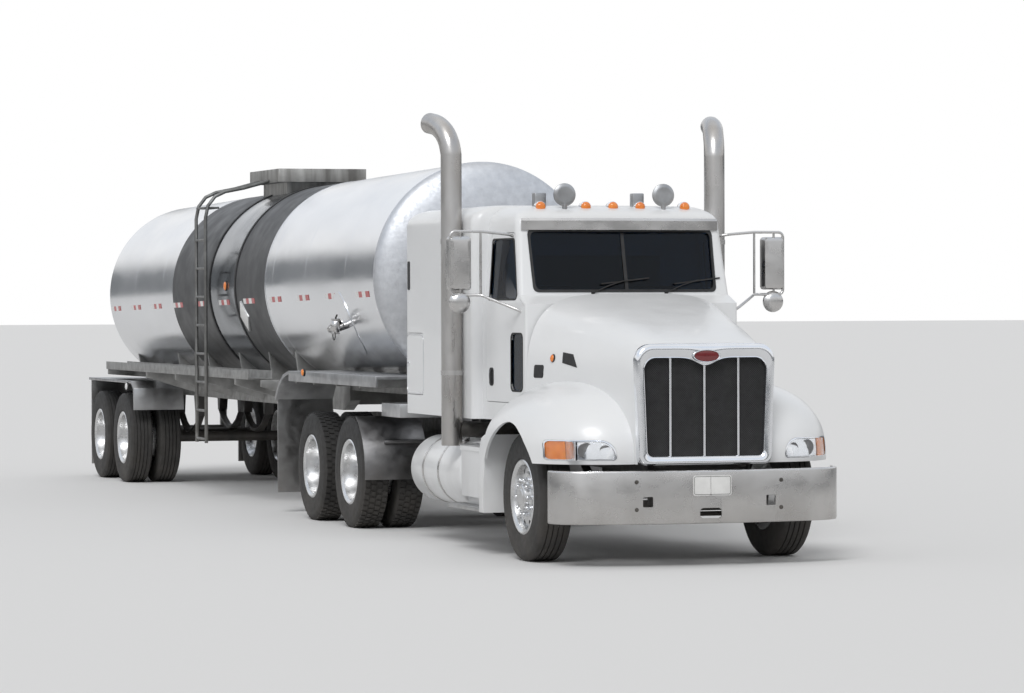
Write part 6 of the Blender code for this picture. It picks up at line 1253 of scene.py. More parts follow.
def makeGrille():
    shape = grilleShape
    outer, inner = surroundPath(0, 0, 0), surroundPath(shape.band, shape.topBand, shape.dip)
    section = ((0, shape.back), (0, shape.front + 0.034), (0.03, shape.front + 0.020),
               (0.10, shape.front + 0.009), (0.22, shape.front + 0.002), (0.40, shape.front + 0.0005),
               (0.62, shape.front + 0.004), (0.80, shape.front + 0.012), (0.90, shape.front + 0.020),
               (0.955, shape.front + 0.018), (0.985, shape.front + 0.022), (1, shape.front + 0.030),
               (1, shape.back - 0.008), (0.4, shape.back))
    points, faces, width = [], [], len(section)
    for (x0, z0), (x1, z1) in zip(outer, inner):
        points += [Vector((x0 + (x1 - x0) * share, y, z0 + (z1 - z0) * share)) for share, y in section]
    count = len(outer)
    for index in range(count):
        after = (index + 1) % count
        faces += [(index * width + step, index * width + (step + 1) % width,
                   after * width + (step + 1) % width, after * width + step) for step in range(width)]
    lugs = both(prism(roundedOutline((-1.005, 0.77), (-0.945, 0.83), 0.028, 4), "X", shape.lugX))
    straps = both(box(shape.lugX, (-1.03, -0.96), (0.785, 0.815)))
    piece("grille_surround_bright", [(points, faces)], "hood", "chromeTrim", sharp=50,
          replaced=("grille_surround",))
    piece("grille_lugs", lugs + straps, "hood", "castIron", bevel=0.002)

    low, high = shape.bottom + shape.band * 0.6, shape.top - shape.topBand + 0.02
    half = shape.halfTop - shape.band * 0.6
    wires = []
    for lean in (1, -1):
        reach = half + (high - low) / 2
        count = int(2 * reach / (shape.meshPitch * sqrt(2)))
        for index in range(count + 1):
            foot = -reach + 2 * reach * index / count
            # where this wire enters and leaves the mesh's rectangle
            shift = foot - (high - low) / 2
            first, last = max(low, low - half - shift), min(high, low + half - shift)
            if last - first < shape.shortestWire:
                continue
            start = (lean * (shift + first - low), shape.meshY + 0.001 * lean, first)
            stop = (lean * (shift + last - low), shape.meshY + 0.001 * lean, last)
            wires.append(sweep([start, stop], circle(shape.wire, 4)))
    piece("grille_mesh", wires, "hood", "trimDark", replaced=("grille",))
    back = prism(surroundPath(0.05, 0.06, 0), "Y", (shape.meshY + 0.010, shape.meshY + 0.014))
    piece("grille_backing", [back], "hood", "blackRubber")
    bars = []
    for x in (-shape.barX, 0, shape.barX):
        top = shape.top - shape.topBand + 0.012 - (shape.dip if x == 0 else 0)
        section = roundedOutline((x - shape.barWidth / 2, shape.meshY - 0.020),
                                 (x + shape.barWidth / 2, shape.meshY), 0.006, 3)
        bars.append(prism(section, "Z", (shape.bottom + shape.band - 0.01, top)))
    piece("grille_bars", bars, "hood", "chromeTrim", sharp=40)

    wide, tall, z = shape.ovalHalfWidth, shape.ovalHalfHeight, shape.ovalZ

    def oval(share, y):
        return [(wide * share * cos(2 * pi * step / 48), y,
                 z + (tall - wide * (1 - share) * 0.5) * sin(2 * pi * step / 48)) for step in range(48)]
    rim = loft([oval(1, shape.front + 0.030), oval(1, shape.front - 0.006),
                oval(0.96, shape.front - 0.012),
                oval(0.90, shape.front - 0.011), oval(0.86, shape.front - 0.004)])
    piece("grille_ovalRim", [rim], "hood", "chromeTrim", sharp=50)
    field = loft([oval(0.865, shape.front - 0.002), oval(0.86, shape.front - 0.006),
                  oval(0.5, shape.front - 0.0085), oval(0.05, shape.front - 0.009)])
    piece("grille_ovalField", [field], "hood", "badgeRed", sharp=60)


# Bumper with its plate and bolts

bumperShape = Values(top=0.755, bottom=0.34, half=1.20, front=-1.19, sheet=0.012, flange=0.03,
                     corner=0.014, towX=0.51, towZ=0.514, towSize=0.08, slotZ=0.422, slotWidth=0.18,
                     slotHeight=0.08, boltX=0.60, boltHeights=(0.669, 0.455), boltRadius=0.011,
                     gap=0.0003, armX=0.375, armWidth=0.05, armBottom=0.42, armTop=0.66, railFront=-0.92,
                     railBottom=0.73, plateLow=(-0.146, 0.557), plateHigh=(0.171, 0.715),
                     borderInset=0.008, borderWidth=0.003)


def makeBumper():
    shape = bumperShape
    halfPath = ((0, 0), (0.3, 0.01), (0.6, 0.055), (0.83, 0.125), (0.94, 0.215), (0.99, 0.32), (1, 0.41))
    stops = [(-shape.half * share, shape.front + back, 0) for share, back in halfPath[:0:-1]]
    stops += [(shape.half * share, shape.front + back, 0) for share, back in halfPath]
    line = curveThrough(stops, 10)
    corner = shape.corner
    # depth behind the face, height; rounded where the sheet turns in
    thick, lap = shape.sheet / 2 + 0.001, shape.sheet / 2
    turned = [(corner * cos(radians(turn)), corner * sin(radians(turn))) for turn in (0, 30, 60, 90)]
    section = [(shape.flange, shape.bottom)]
    section += [(corner - back, shape.bottom + corner - rise) for back, rise in turned[::-1]]
    section += [(corner - back, shape.top - corner + rise) for back, rise in turned]
    section += [(shape.flange, shape.top), (shape.flange, shape.top - lap), (corner, shape.top - lap),
                (thick, shape.top - corner), (thick, shape.bottom + corner),
                (corner, shape.bottom + lap), (shape.flange, shape.bottom + lap)]
    rings = []
    for index, point in enumerate(line):
        run = (line[min(index + 1, len(line) - 1)] - line[max(index - 1, 0)]).normalized()
        rings.append([(point.x - run.y * depth, point.y + run.x * depth, z) for depth, z in section])
    bumper = meshObject("bumper_sheet", [loft(rings)])
    through = (shape.front - 0.02, shape.front + 0.04)
    half = shape.towSize / 2
    holes = [prism(roundedOutline((side * shape.towX - half, shape.towZ - half),
                                  (side * shape.towX + half, shape.towZ + half), 0.008), "Y", through)
             for side in (1, -1)]
    holes.append(prism(roundedOutline((-shape.slotWidth / 2, shape.slotZ - shape.slotHeight / 2),
                                      (shape.slotWidth / 2, shape.slotZ + shape.slotHeight / 2), 0.03),
                       "Y", through))
    carve(bumper, holes)
    finishPiece(bumper, "tractor", "bumperSteel", 30, ("front_bumper",))
    arms = []
    for side in (1, -1):
        across = (shape.armX, shape.armX + shape.armWidth)
        rear = shape.railFront - shape.gap
        low = box(across, (shape.front + 0.028, rear), (shape.armBottom, shape.armTop))
        high = box(across, (shape.railFront - 0.014, rear), (shape.armTop, shape.railBottom + 0.02))
        arms += [sided(low, side), sided(high, side)]
    piece("bumper_arms", arms, "tractor", "frameBlack", bevel=0.002)

    def faceY(x):
        spot = min(line, key=lambda point: abs(point.x - x))
        return spot.y
    bolts = []
    for side in (1, -1):
        for z in shape.boltHeights:
            x = side * shape.boltX
            bolts.append(lathe([(0, shape.boltRadius * 1.5), (0.002, shape.boltRadius * 1.5),
                                (0.003, shape.boltRadius), (0.007, shape.boltRadius * 0.8), (0.009, 0)],
                               16, (x, faceY(x) + 0.001, z), (0, -1, 0)))
    piece("bumper_bolts", bolts, "tractor", "castIron", sharp=30)
    low, high = shape.plateLow, shape.plateHigh
    y = shape.front + 0.0005
    plate = [prism(roundedOutline(low, high, 0.018), "Y", (y - 0.0005, y + 0.004))]
    inset, thick = shape.borderInset, shape.borderInset + shape.borderWidth
    finishPiece(bevelled(meshObject("bumper_plate", plate), 0.001), "tractor",
                "plateWhite")
    border = prism(roundedOutline((low[0] + inset, low[1] + inset), (high[0] - inset, high[1] - inset),
                                  0.014), "Y", (y - 0.0016, y + 0.001))
    hollow = prism(roundedOutline((low[0] + thick, low[1] + thick), (high[0] - thick, high[1] - thick),
                                  0.012), "Y", (y - 0.01, y + 0.01))
    edge = meshObject("bumper_plateEdge", [border])
    finishPiece(carve(edge, [hollow]), "tractor", "trimDark")


makeGrille()
makeBumper()
print("grille and bumper made")


# Cab, doors and sleeper

cabShape = Values(front=0.60, rear=1.50, floor=1.09, roof=2.86, halfFront=0.92, halfRear=1.0, wall=0.05,
                  cowl=2.10, screenFoot=0.765, screenHead=0.915, screenTop=2.68, screenHalf=0.79,
                  passageHalf=0.55, passageTop=2.45, glassInset=0.012, glass=0.006, gap=0.005, lean=0.06,
                  flange=0.11, crown=0.006, rubber=0.022, rubberRise=0.005)
doorShape = Values(front=0.62, rear=1.43, bottom=1.24, top=2.63, pillar=0.035, sill=2.09, head=2.575,
                   frame=0.03, corner=0.05, peepLow=(0.67, 1.34), peepHigh=(0.90, 1.80),
                   handleLow=(1.27, 1.37), handleHigh=(1.36, 1.52))
sleeperShape = Values(rear=3.50, half=1.085, roof=2.87, corner=0.08, lockerLow=(2.93, 1.26),
                      lockerHigh=(3.45, 1.79), lockerCorner=0.06, ventLow=(3.34, 2.17),
                      ventHigh=(3.41, 2.42))


def cabHalf(station):
    share = (station - cabShape.front) / (cabShape.rear - cabShape.front)
    return cabShape.halfFront + (cabShape.halfRear - cabShape.halfFront) * share


def cabBody(inner):
    shape = cabShape
    rise = shape.screenTop - shape.cowl
    levels = [(shape.floor, shape.front, 0, 0.02, 0), (shape.cowl - 0.05, shape.front, 0, 0.02, 0),
              (shape.cowl + 0.02, shape.screenFoot, shape.lean * 0.4, 0.036, 0.05),
              (shape.cowl + rise / 2, (shape.screenFoot + shape.screenHead) / 2, shape.lean * 0.7, 0.048,
               0.05), (shape.screenTop, shape.screenHead, shape.lean, 0.06, 0.05)]
    for step in range(1, 11):
        turn = radians(9 * step)
        levels.append((shape.screenTop + (shape.roof - shape.screenTop) * sin(turn) ** 0.8,
                       shape.screenHead + 0.34 * (1 - cos(turn)), shape.lean + 0.24 * (1 - cos(turn)),
                       0.06 + 0.06 * step / 10, 0.05 - 0.05 * (step / 10) ** 2))
    levels.append((shape.roof + shape.crown, shape.screenHead + 0.42, 0.62, 0.03, 0))
    rings = []
    for index, (z, front, inset, radius, bow) in enumerate(levels):
        if inner:
            z = z + inner if index == 0 else z - inner * min(1, index / 10)
            front += inner
        rear = shape.rear - inner
        sideFront, sideRear = cabHalf(front + radius) - inset - inner, cabHalf(rear) - inset - inner
        half = [(sideRear, rear), ((sideFront + sideRear) / 2, (front + radius + rear) / 2)]
        half += [(sideFront - radius + radius * cos(radians(turn)),
                  front + radius - radius * sin(radians(turn))) for turn in range(0, 91, 15)]
        flat = sideFront - radius
        half += [(flat * share, front - bow * (1 - share ** 2))
                 for share in (0.83, 0.66, 0.5, 0.33, 0.16, 0)]
        rings.append([(x, y, z) for x, y in half] + [(-x, y, z) for x, y in half[-2::-1]])
    return loft(rings)


def roundedPolygon(outline, radius, steps=5):
    rounded = []
    count = len(outline)
    for index, corner in enumerate(outline):
        corner = Vector(corner)
        before, after = Vector(outline[index - 1]), Vector(outline[(index + 1) % count])
        first = corner + (before - corner).normalized() * radius
        last = corner + (after - corner).normalized() * radius
        for step in range(steps + 1):
            t = step / steps
            point = first * (1 - t) ** 2 + corner * 2 * t * (1 - t) + last * t ** 2
            rounded.append((point.x, point.y))
    return rounded


def doorOutline(grow):
    shape, cab = doorShape, cabShape
    outline = [(shape.front - grow, shape.bottom - grow), (shape.rear + grow, shape.bottom - grow),
               (shape.rear + grow, shape.top + grow),
               (cab.screenHead + shape.pillar - grow, shape.top + grow),
               (cab.screenFoot + shape.pillar - grow, cab.cowl + grow),
               (shape.front - grow, cab.cowl - 2 * shape.pillar + grow)]
    return roundedPolygon(outline, shape.corner)


def windowOutline(shrink):
    shape, cab = doorShape, cabShape
    front = cab.screenFoot + shape.pillar + shape.frame + shrink
    lean = (cab.screenHead - cab.screenFoot) * 0.9
    outline = [(front, shape.sill + shrink), (shape.rear - shape.frame - shrink, shape.sill + shrink),
               (shape.rear - shape.frame - shrink, shape.head - shrink),
               (front + lean, shape.head - shrink)]
    return roundedPolygon(outline, 0.035)


def screenOutline(shrink):
    half, cab = cabShape.screenHalf - shrink, cabShape
    bottom, top = cab.cowl + 0.05 + shrink, cab.screenTop - 0.03 - shrink
    return roundedPolygon([(-half, bottom), (half, bottom), (half + 0.01, top), (-half - 0.01, top)],
                          0.05)


def sideSpan(side, grow=0):
    inner, outer = cabShape.halfFront - cabShape.flange - grow, cabShape.halfRear + 0.05
    return (inner, outer) if side > 0 else (-outer, -inner)


def makeCab():
    shape = cabShape
    screenSpan = (shape.front, shape.screenHead + 0.04)
    cuts = [prism(doorOutline(shape.gap), "X", sideSpan(side, shape.gap)) for side in (1, -1)]
    cuts.append(prism(screenOutline(0), "Y", screenSpan))
    cuts.append(box((-shape.passageHalf, shape.passageHalf), (shape.rear - 0.07, shape.rear + 0.02),
                    (shape.floor + 0.07, shape.passageTop)))
    cab = meshObject("cab_panel", [cabBody(0)])
    carve(cab, [cabBody(shape.wall)])
    carve(cab, cuts)
    finishPiece(cab, "tractor", "whitePaint", 30, ("cab_shell",))
    glass = skinPatch("windscreen_glass", cabBody, [screenOutline(0.001)], "Y", screenSpan,
                      -shape.glassInset, shape.glass, "tractor", "glass")
    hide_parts("windscreen")
    raisedFrame("windscreen_rubber", cabBody, lambda grow: screenOutline(grow + shape.rubber * 0.6),
                shape.rubber, shape.rubberRise, "Y", screenSpan, "tractor", "blackRubber")
    low, high = shape.cowl + 0.06, shape.screenTop - 0.05
    post = [(-0.014, low), (0.014, low), (0.014, high), (-0.014, high)]
    skinPatch("windscreen_post", cabBody, [post], "Y", screenSpan, -0.002, 0.010, "tractor",
              "blackRubber")


def makeDoors():
    shape = doorShape
    for side, word in sides:
        span, body = sideSpan(side), f"door_{word}"

        def peep(grow):
            return roundedOutline((shape.peepLow[0] + grow, shape.peepLow[1] + grow),
                                  (shape.peepHigh[0] - grow, shape.peepHigh[1] - grow), 0.05)
        door = meshObject(f"door_{word}_panel", [cabBody(0)])
        carve(door, [prism(doorOutline(0), "X", span)], "INTERSECT")
        carve(door, [cabBody(cabShape.wall), prism(windowOutline(0), "X", span),
                     prism(peep(0), "X", span)])
        finishPiece(door, body, "whitePaint", 30, (f"door_{word}",))
        glass = skinPatch(f"door_{word}_glass", cabBody, [windowOutline(0.001), peep(0.001)], "X", span,
                          -cabShape.glassInset, cabShape.glass, body, "glass")
        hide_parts(f"door_glass_{word}")
        raisedFrame(f"door_{word}_windowRubber", cabBody, windowOutline, 0.014, 0.003, "X", span, body,
                    "blackRubber")
        raisedFrame(f"door_{word}_peepRubber", cabBody, peep, 0.012, 0.003, "X", span, body,
                    "blackRubber")
        cup = roundedOutline(shape.handleLow, shape.handleHigh, 0.03)
        skinPatch(f"door_{word}_handleCup", cabBody, [cup], "X", span, 0.003, 0.006, body,
                  "blackRubber")
        mid = (shape.handleLow[0] + shape.handleHigh[0]) / 2
        x = cabHalf(mid)
        paddle = sweep(curveThrough([(x + 0.004, mid, shape.handleLow[1] + 0.015),
                                     (x + 0.014, mid, shape.handleLow[1] + 0.04),
                                     (x + 0.016, mid, shape.handleHigh[1] - 0.05),
                                     (x + 0.006, mid, shape.handleHigh[1] - 0.015)], 6),
                       [(-0.012, -0.003), (0.012, -0.003), (0.012, 0.003), (-0.012, 0.003)])
        piece(f"door_{word}_handle", [sided(paddle, side)], body, "trimDark", sharp=40)


def sleeperBody(inner):
    shape = sleeperShape
    levels = [(cabShape.floor + inner, 0), (shape.roof - 0.17, 0)]
    for step in range(1, 9):
        turn = radians(90 * step / 8)
        levels.append((shape.roof - 0.17 + 0.17 * sin(turn) - inner * min(1, step / 4),
                       0.26 * (1 - cos(turn)) ** 1.25))
    rings = []
    for z, inset in levels:
        outline = roundedOutline((-shape.half + inset + inner,
                                  cabShape.rear + 0.0003 + inset * 0.3 + inner),
                                 (shape.half - inset - inner, shape.rear - inset * 0.6 - inner),
                                 shape.corner, 8)
        rings.append([(x, y, z) for x, y in outline])
    return loft(rings)


def makeSleeper():
    shape = sleeperShape

    def locker(grow):
        return roundedOutline((shape.lockerLow[0] + grow, shape.lockerLow[1] + grow),
                              (shape.lockerHigh[0] - grow, shape.lockerHigh[1] - grow),
                              shape.lockerCorner)
    spans = {1: (shape.half - 0.1, shape.half + 0.02), -1: (-shape.half - 0.02, -shape.half + 0.1)}
    shell = meshObject("sleeper_panel", [sleeperBody(0)])
    carve(shell, [sleeperBody(cabShape.wall)])
    carve(shell, [prism(locker(-cabShape.gap), "X", spans[side]) for side in (1, -1)]
          + [box((-cabShape.passageHalf, cabShape.passageHalf),
                 (cabShape.rear - 0.02, cabShape.rear + 0.07),
                 (cabShape.floor + 0.07, cabShape.passageTop))])
    finishPiece(shell, "tractor", "whitePaint", 30, ("sleeper_shell",))
    for side, word in sides:
        body = f"locker_door_{word}"
        door = meshObject(f"{body}_panel", [sleeperBody(0)])
        carve(door, [prism(locker(0), "X", spans[side])], "INTERSECT")
        carve(door, [sleeperBody(cabShape.wall)])
        finishPiece(door, body, "whitePaint", 30, (body,))
        raisedFrame(f"{body}_trim", sleeperBody, lambda grow: locker(grow + 0.014), 0.007, 0.003, "X",
                    spans[side], body, "chromeTrim")
        vent = roundedOutline(shape.ventLow, shape.ventHigh, 0.02)
        skinPatch(f"sleeper_vent_{word}", sleeperBody, [vent], "X", spans[side], 0.004, 0.008, "tractor",
                  "blackRubber")
        # paddle latch near the locker's rear edge
        z = (shape.lockerLow[1] + shape.lockerHigh[1]) / 2
        latch = lathe([(0, 0.022), (0.004, 0.022), (0.006, 0.018), (0.006, 0.0)], 24,
                      (shape.half, shape.lockerHigh[0] - 0.06, z), (1, 0, 0))
        piece(f"{body}_latch", [sided(latch, side)], body, "chromeTrim")


makeCab()
makeDoors()
makeSleeper()
print("cab and sleeper made")


# Roof lamps, shields, visor, wipers and mirrors

roofShape = Values(lamps=(-0.634, -0.239, 0, 0.239, 0.634), front=1.035, radius=0.045, length=0.12,
                   top=2.86, centre=2.85, shieldX=0.434, shieldStation=1.04, shieldRadius=0.095,
                   shieldZ=2.9475, shieldDepth=0.05, post=0.02, postLow=2.78, boxes=(-0.617, 0.243),
                   boxSpan=(2.80, 2.965))
visorShape = Values(half=0.86, front=0.805, bow=0.09, sheet=0.006, low=2.65, high=2.75, fold=0.012,
                    bracket=0.03)
wiperShape = Values(pivots=(-0.30, 0.34), pivotZ=2.135, reach=0.42, bladeZ=2.21, off=0.012, lean=0.16)
mirrorShape = Values(reach=1.47, tube=0.012, station=0.90, width=0.19, depth=0.10, low=2.16, high=2.60,
                     tall=0.44, space=0.04, inner=1.20, round=0.09, roundDepth=0.05, roundDrop=0.10,
                     corner=0.03, highFoot=(0.895, 0.99, 2.6025), lowFoot=(0.918, 0.70, 1.98))


def makeRoofPieces():
    bases, lenses, shields = [], [], []
    radius, length = roofShape.radius, roofShape.length
    for x in roofShape.lamps:
        start = (x, roofShape.front, roofShape.centre)
        lenses.append(lathe([(0, 0), (0.002, radius * 0.4), (0.010, radius * 0.75),
                             (0.026, radius * 0.93), (0.040, radius * 0.93), (0.040, 0)], 40, start,
                            (0, 1, 0)))
        bases.append(lathe([(0.034, radius * 0.9), (0.036, radius), (0.050, radius),
                            (length * 0.7, radius * 0.97), (length * 0.92, radius * 0.86),
                            (length, radius * 0.6), (length, 0)], 40, start, (0, 1, 0)))
    piece("roof_lampLenses", lenses, "tractor", "lampAmber", sharp=50)
    piece("roof_lampBases", bases, "tractor", "chromeTrim", sharp=40)
    for side in (1, -1):
        x, y = side * roofShape.shieldX, roofShape.shieldStation
        wide, deep = roofShape.shieldRadius, roofShape.shieldDepth
        shields.append(rod((x, y, roofShape.postLow), (x, y, roofShape.shieldZ - wide / 2),
                           roofShape.post))
        shields.append(lathe([(deep * 0.35, 0), (0, wide * 0.63), (deep * 0.06, wide * 0.8),
                              (deep * 0.3, wide), (deep * 0.6, wide), (deep * 0.85, wide * 0.8),
                              (deep, wide * 0.5), (deep, 0)], 56,
                             (x, y - roofShape.post, roofShape.shieldZ), (0, 1, 0)))
    piece("roof_shields", shields, "tractor", "trailerSteel", sharp=40)
    low, high = roofShape.boxSpan
    boxes = [box((x - 0.05, x + 0.05), (1.12, 1.20), (low, high)) for x in roofShape.boxes]
    piece("roof_boxes", boxes, "tractor", "trailerSteel", bevel=0.008)


def makeVisor():
    shape = visorShape
    line = [Vector((shape.half * (step / 20 - 1), shape.front + shape.bow * (step / 20 - 1) ** 2, 0))
            for step in range(41)]
    section = [(shape.fold, shape.low), (0, shape.low + 0.004), (0, shape.high - 0.02),
               (shape.fold, shape.high), (shape.fold + shape.sheet, shape.high - 0.002),
               (shape.sheet, shape.high - 0.022), (shape.sheet, shape.low + 0.008),
               (shape.fold, shape.low + 0.006)]
    rings = []
    for index, point in enumerate(line):
        run = (line[min(index + 1, 40)] - line[max(index - 1, 0)]).normalized()
        rings.append([(point.x - run.y * deep, point.y + run.x * deep, z) for deep, z in section])
    piece("visor_sheet", [loft(rings)], "tractor", "bumperSteel", sharp=30,
          replaced=("sun_visor",))
    brackets = []
    for x in (-shape.half / 2, shape.half / 2):
        front = shape.front + shape.bow / 4 + shape.sheet
        brackets.append(box((x - shape.bracket / 2, x + shape.bracket / 2), (front, 0.95),
                            (shape.low + 0.05, shape.low + 0.06)))
    piece("visor_brackets", brackets, "tractor", "chromeTrim", bevel=0.001)


def screenY(x, z):
    cab = cabShape
    flat = cab.halfFront - 0.08
    lean = (z - cab.cowl - 0.02) / (cab.screenTop - cab.cowl - 0.02)
    return cab.screenFoot + (cab.screenHead - cab.screenFoot) * lean - 0.05 * (1 - (x / flat) ** 2)


def makeWipers():
    shape, arms = wiperShape, []
    for pivot in shape.pivots:
        y = screenY(pivot, shape.pivotZ) - shape.off
        arms.append(lathe([(0, 0), (0.001, 0.012), (0.016, 0.014), (0.034, 0.014)], 20,
                          (pivot, y - 0.01, shape.pivotZ), (0, 1, 0)))
        x, z = pivot + 0.30, shape.bladeZ + 0.03
        tip = (x, screenY(x, z) - shape.off, z)
        bend = ((pivot + x) / 2, (y + tip[1]) / 2 - 0.012, shape.bladeZ - 0.01)
        arms.append(tube([(pivot, y, shape.pivotZ), bend, tip], 0.005, 8))
        blade = []
        for share in (0, 0.25, 0.5, 0.75, 1):
            x, z = pivot + 0.08 + shape.reach * share, shape.bladeZ + shape.lean * share * 0.3
            blade.append((x, screenY(x, z) - shape.off + 0.003, z))
        arms.append(sweep(blade, [(-0.004, -0.006), (0.004, -0.006), (0.004, 0.006), (-0.004, 0.006)]))
    piece("windscreen_wipers", arms, "tractor", "blackRubber", sharp=40)


def makeMirrors():
    shape = mirrorShape
    reach, y, bend = shape.reach - shape.tube, shape.station + shape.depth / 4, shape.space
    low, high, headX = shape.low - bend, shape.high + bend, shape.reach - shape.width / 2
    highFoot, lowFoot = shape.highFoot, shape.lowFoot
    stops = [highFoot, (highFoot[0] + 2 * bend, highFoot[1] - bend, high - bend / 2),
             (shape.inner, y, high)]
    corners = [(reach - bend + bend * sin(radians(turn)), y, high - bend + bend * cos(radians(turn)))
               for turn in (0, 22, 45, 68, 90)]
    corners += [(reach - bend + bend * cos(radians(turn)), y, low + bend - bend * sin(radians(turn)))
                for turn in (0, 22, 45, 68, 90)]
    ends = [(shape.inner, y, low), (lowFoot[0] + 2 * bend, lowFoot[1] + bend, lowFoot[2] + bend), lowFoot]
    loop = tube([tuple(point) for point in curveThrough(stops, 6)] + corners
                + [tuple(point) for point in curveThrough(ends, 6)], shape.tube * 0.98, 16)
    roundZ = shape.low - shape.roundDrop
    bars = [rod((shape.inner, y, low), (shape.inner, y, high), shape.tube * 0.8),
            rod((headX, y, roundZ), (headX, y, high), shape.tube * 0.8)]
    section = roundedOutline((headX - shape.width / 2, shape.low), (headX + shape.width / 2, shape.high),
                             shape.corner, 8)
    face, back = shape.station, shape.station + shape.depth
    mid = (headX, (shape.low + shape.high) / 2)

    def ring(place, shrink):
        return [(mid[0] + (a - mid[0]) * (1 - shrink / shape.width * 2), place,
                 mid[1] + (b - mid[1]) * (1 - shrink / shape.tall * 2)) for a, b in section]
    head = loft([ring(face, 0.03), ring(face + 0.006, 0.012), ring(face + 0.03, 0), ring(back - 0.004, 0),
                 ring(back - 0.001, 0.004), ring(back - 0.001, 0.008), ring(back - 0.006, 0.010)])
    glass = loft([ring(back - 0.0055, 0.0105), ring(back - 0.003, 0.0105)])
    wide, deep = shape.round, shape.roundDepth
    dish = lathe([(0, 0), (0, wide * 0.9), (0.003, wide), (deep * 0.4, wide * 0.97),
                  (deep * 0.8, wide * 0.7), (deep, wide * 0.4), (deep, 0)], 48,
                 (headX, face + deep, roundZ), (0, -1, 0))
    eye = lathe([(0.002, wide * 0.9), (0.0035, wide * 0.86), (0.009, wide * 0.45), (0.011, 0)], 48,
                (headX, face + deep - 0.003, roundZ), (0, 1, 0))
    for side, word in sides:
        body = f"door_{word}"
        piece(f"mirror_{word}_frame", [sided(solid, side) for solid in [loop] + bars], body,
              "bumperSteel", sharp=50, replaced=(f"mirror_{word}",))
        piece(f"mirror_{word}_heads", [sided(head, side), sided(dish, side)], body,
              "bumperSteel", sharp=35)
        piece(f"mirror_{word}_faces", [sided(glass, side), sided(eye, side)], body,
              "mirrorFace", sharp=35)


makeRoofPieces()
makeVisor()
makeWipers()
makeMirrors()
print("roof pieces and mirrors made")


# Fuel tanks, steps and exhaust stacks

fuelShape = Values(radius=0.29, x=0.865, z=0.62, front=1.64, rear=3.13, straps=(0.42, 0.72),
                   strapWidth=0.04, strapRise=0.005, railSide=0.4303, railLow=0.74, bracketDepth=0.09,
                   edge=0.04, capShare=0.25)
stepShape = Values(inner=0.62, outer=1.16, front=0.80, rear=1.60, treadOut=1.22, treadIn=1.06,
                   treadLow=0.35, treadTop=0.38, treadFront=0.72, treadRear=1.80, boxTop=0.88, ribs=5,
                   ribPitch=0.027)
stackShape = Values(x=1.18, station=1.80, radius=0.088, wall=0.006, foot=0.86, bend=3.30, bore=0.50,
                    lean=0.09, run=0.32, rise=0.275, branchZ=0.99, branchRadius=0.06, branchX=0.4603,
                    stays=(1.45, 2.55), stayWidth=0.04, sleeper=1.0853)


def makeFuelTanks():
    shape = fuelShape
    radius, length, start = shape.radius, shape.rear - shape.front, (shape.x, shape.front, shape.z)
    profile = [(0.014, 0), (0.012, radius * 0.6), (0.004, radius * 0.78), (0, radius * 0.84),
               (0.004, radius * 0.90), (0.014, radius * 0.95), (0.026, radius * 0.985),
               (shape.edge, radius)]
    profile += [(length - along, wide) for along, wide in profile[::-1]]
    barrel = lathe(profile, 96, start, (0, 1, 0))
    straps, brackets = [], []
    top = shape.railLow + shape.bracketDepth
    for share in shape.straps:
        station = shape.front + length * share
        high = radius + shape.strapRise
        straps.append(lathe([(0, radius - 0.004), (0, high - 0.001), (0.001, high),
                             (shape.strapWidth - 0.001, high), (shape.strapWidth, high - 0.001),
                             (shape.strapWidth, radius - 0.004)], 96, (shape.x, station, shape.z),
                            (0, 1, 0), closed=True))
        along = (station, station + shape.strapWidth)
        brackets.append(box((shape.railSide, shape.x - radius * 0.8), along, (shape.railLow, top)))
        brackets.append(box((shape.x - radius - shape.edge, shape.x - radius * 0.7), along,
                            (shape.z - radius * 0.5, top)))
    turn = radians(62)
    out = Vector((cos(turn), 0, sin(turn)))
    spot = Vector((shape.x, shape.front + length * shape.capShare, shape.z)) + out * (radius - 0.004)
    cap = lathe([(0, 0.052), (0.014, 0.052), (0.016, 0.058), (0.032, 0.056), (0.036, 0.050), (0.036, 0)],
                40, spot, out)
    for side, word in sides:
        piece(f"fuel_tank_{word}_barrel", [sided(barrel, side)], "tractor", "whitePaint",
              sharp=28, replaced=(f"fuel_tank_{word}",))
        piece(f"fuel_tank_{word}_straps", [sided(solid, side) for solid in straps + [cap]], "tractor",
              "bumperSteel", sharp=35)
        piece(f"fuel_tank_{word}_brackets", [sided(solid, side) for solid in brackets], "tractor",
              "frameBlack", bevel=0.002)


def makeSteps():
    shape = stepShape
    for side, word in sides:
        softened(f"step_box_{word}", "whitePaint", 0.006, 3)
        lid = box((shape.inner - 0.001, shape.outer + 0.0115), (shape.front - 0.001, shape.rear + 0.0115),
                  (shape.boxTop - 0.012, shape.boxTop + 0.0015))
        tread = box((shape.treadIn - 0.001, shape.treadOut + 0.001),
                    (shape.treadFront - 0.001, shape.treadRear + 0.001),
                    (shape.treadLow - 0.001, shape.treadTop + 0.001))
        piece(f"step_{word}_plates", [sided(lid, side), sided(tread, side)], "tractor",
              "aluminium", bevel=0.0015)
        first = side * (shape.treadIn + 0.022)
        rib = box((first - 0.004, first + 0.004), (shape.treadFront + 0.01, shape.treadRear - 0.01),
                  (shape.treadTop, shape.treadTop + 0.005))
        ribs = rowPiece(f"step_{word}_ribs", [rib], shape.ribs, (side * shape.ribPitch, 0, 0),
                        "aluminium")
        finishPiece(ribs, "tractor", "aluminium")
        first = side * (shape.inner + 0.05)
        rib = box((first - 0.006, first + 0.006), (shape.front + 0.02, shape.rear - 0.02),
                  (shape.boxTop, shape.boxTop + 0.005))
        ribs = rowPiece(f"step_{word}_lidRibs", [rib], 12, (side * 0.04, 0, 0), "aluminium")
        finishPiece(ribs, "tractor", "aluminium")


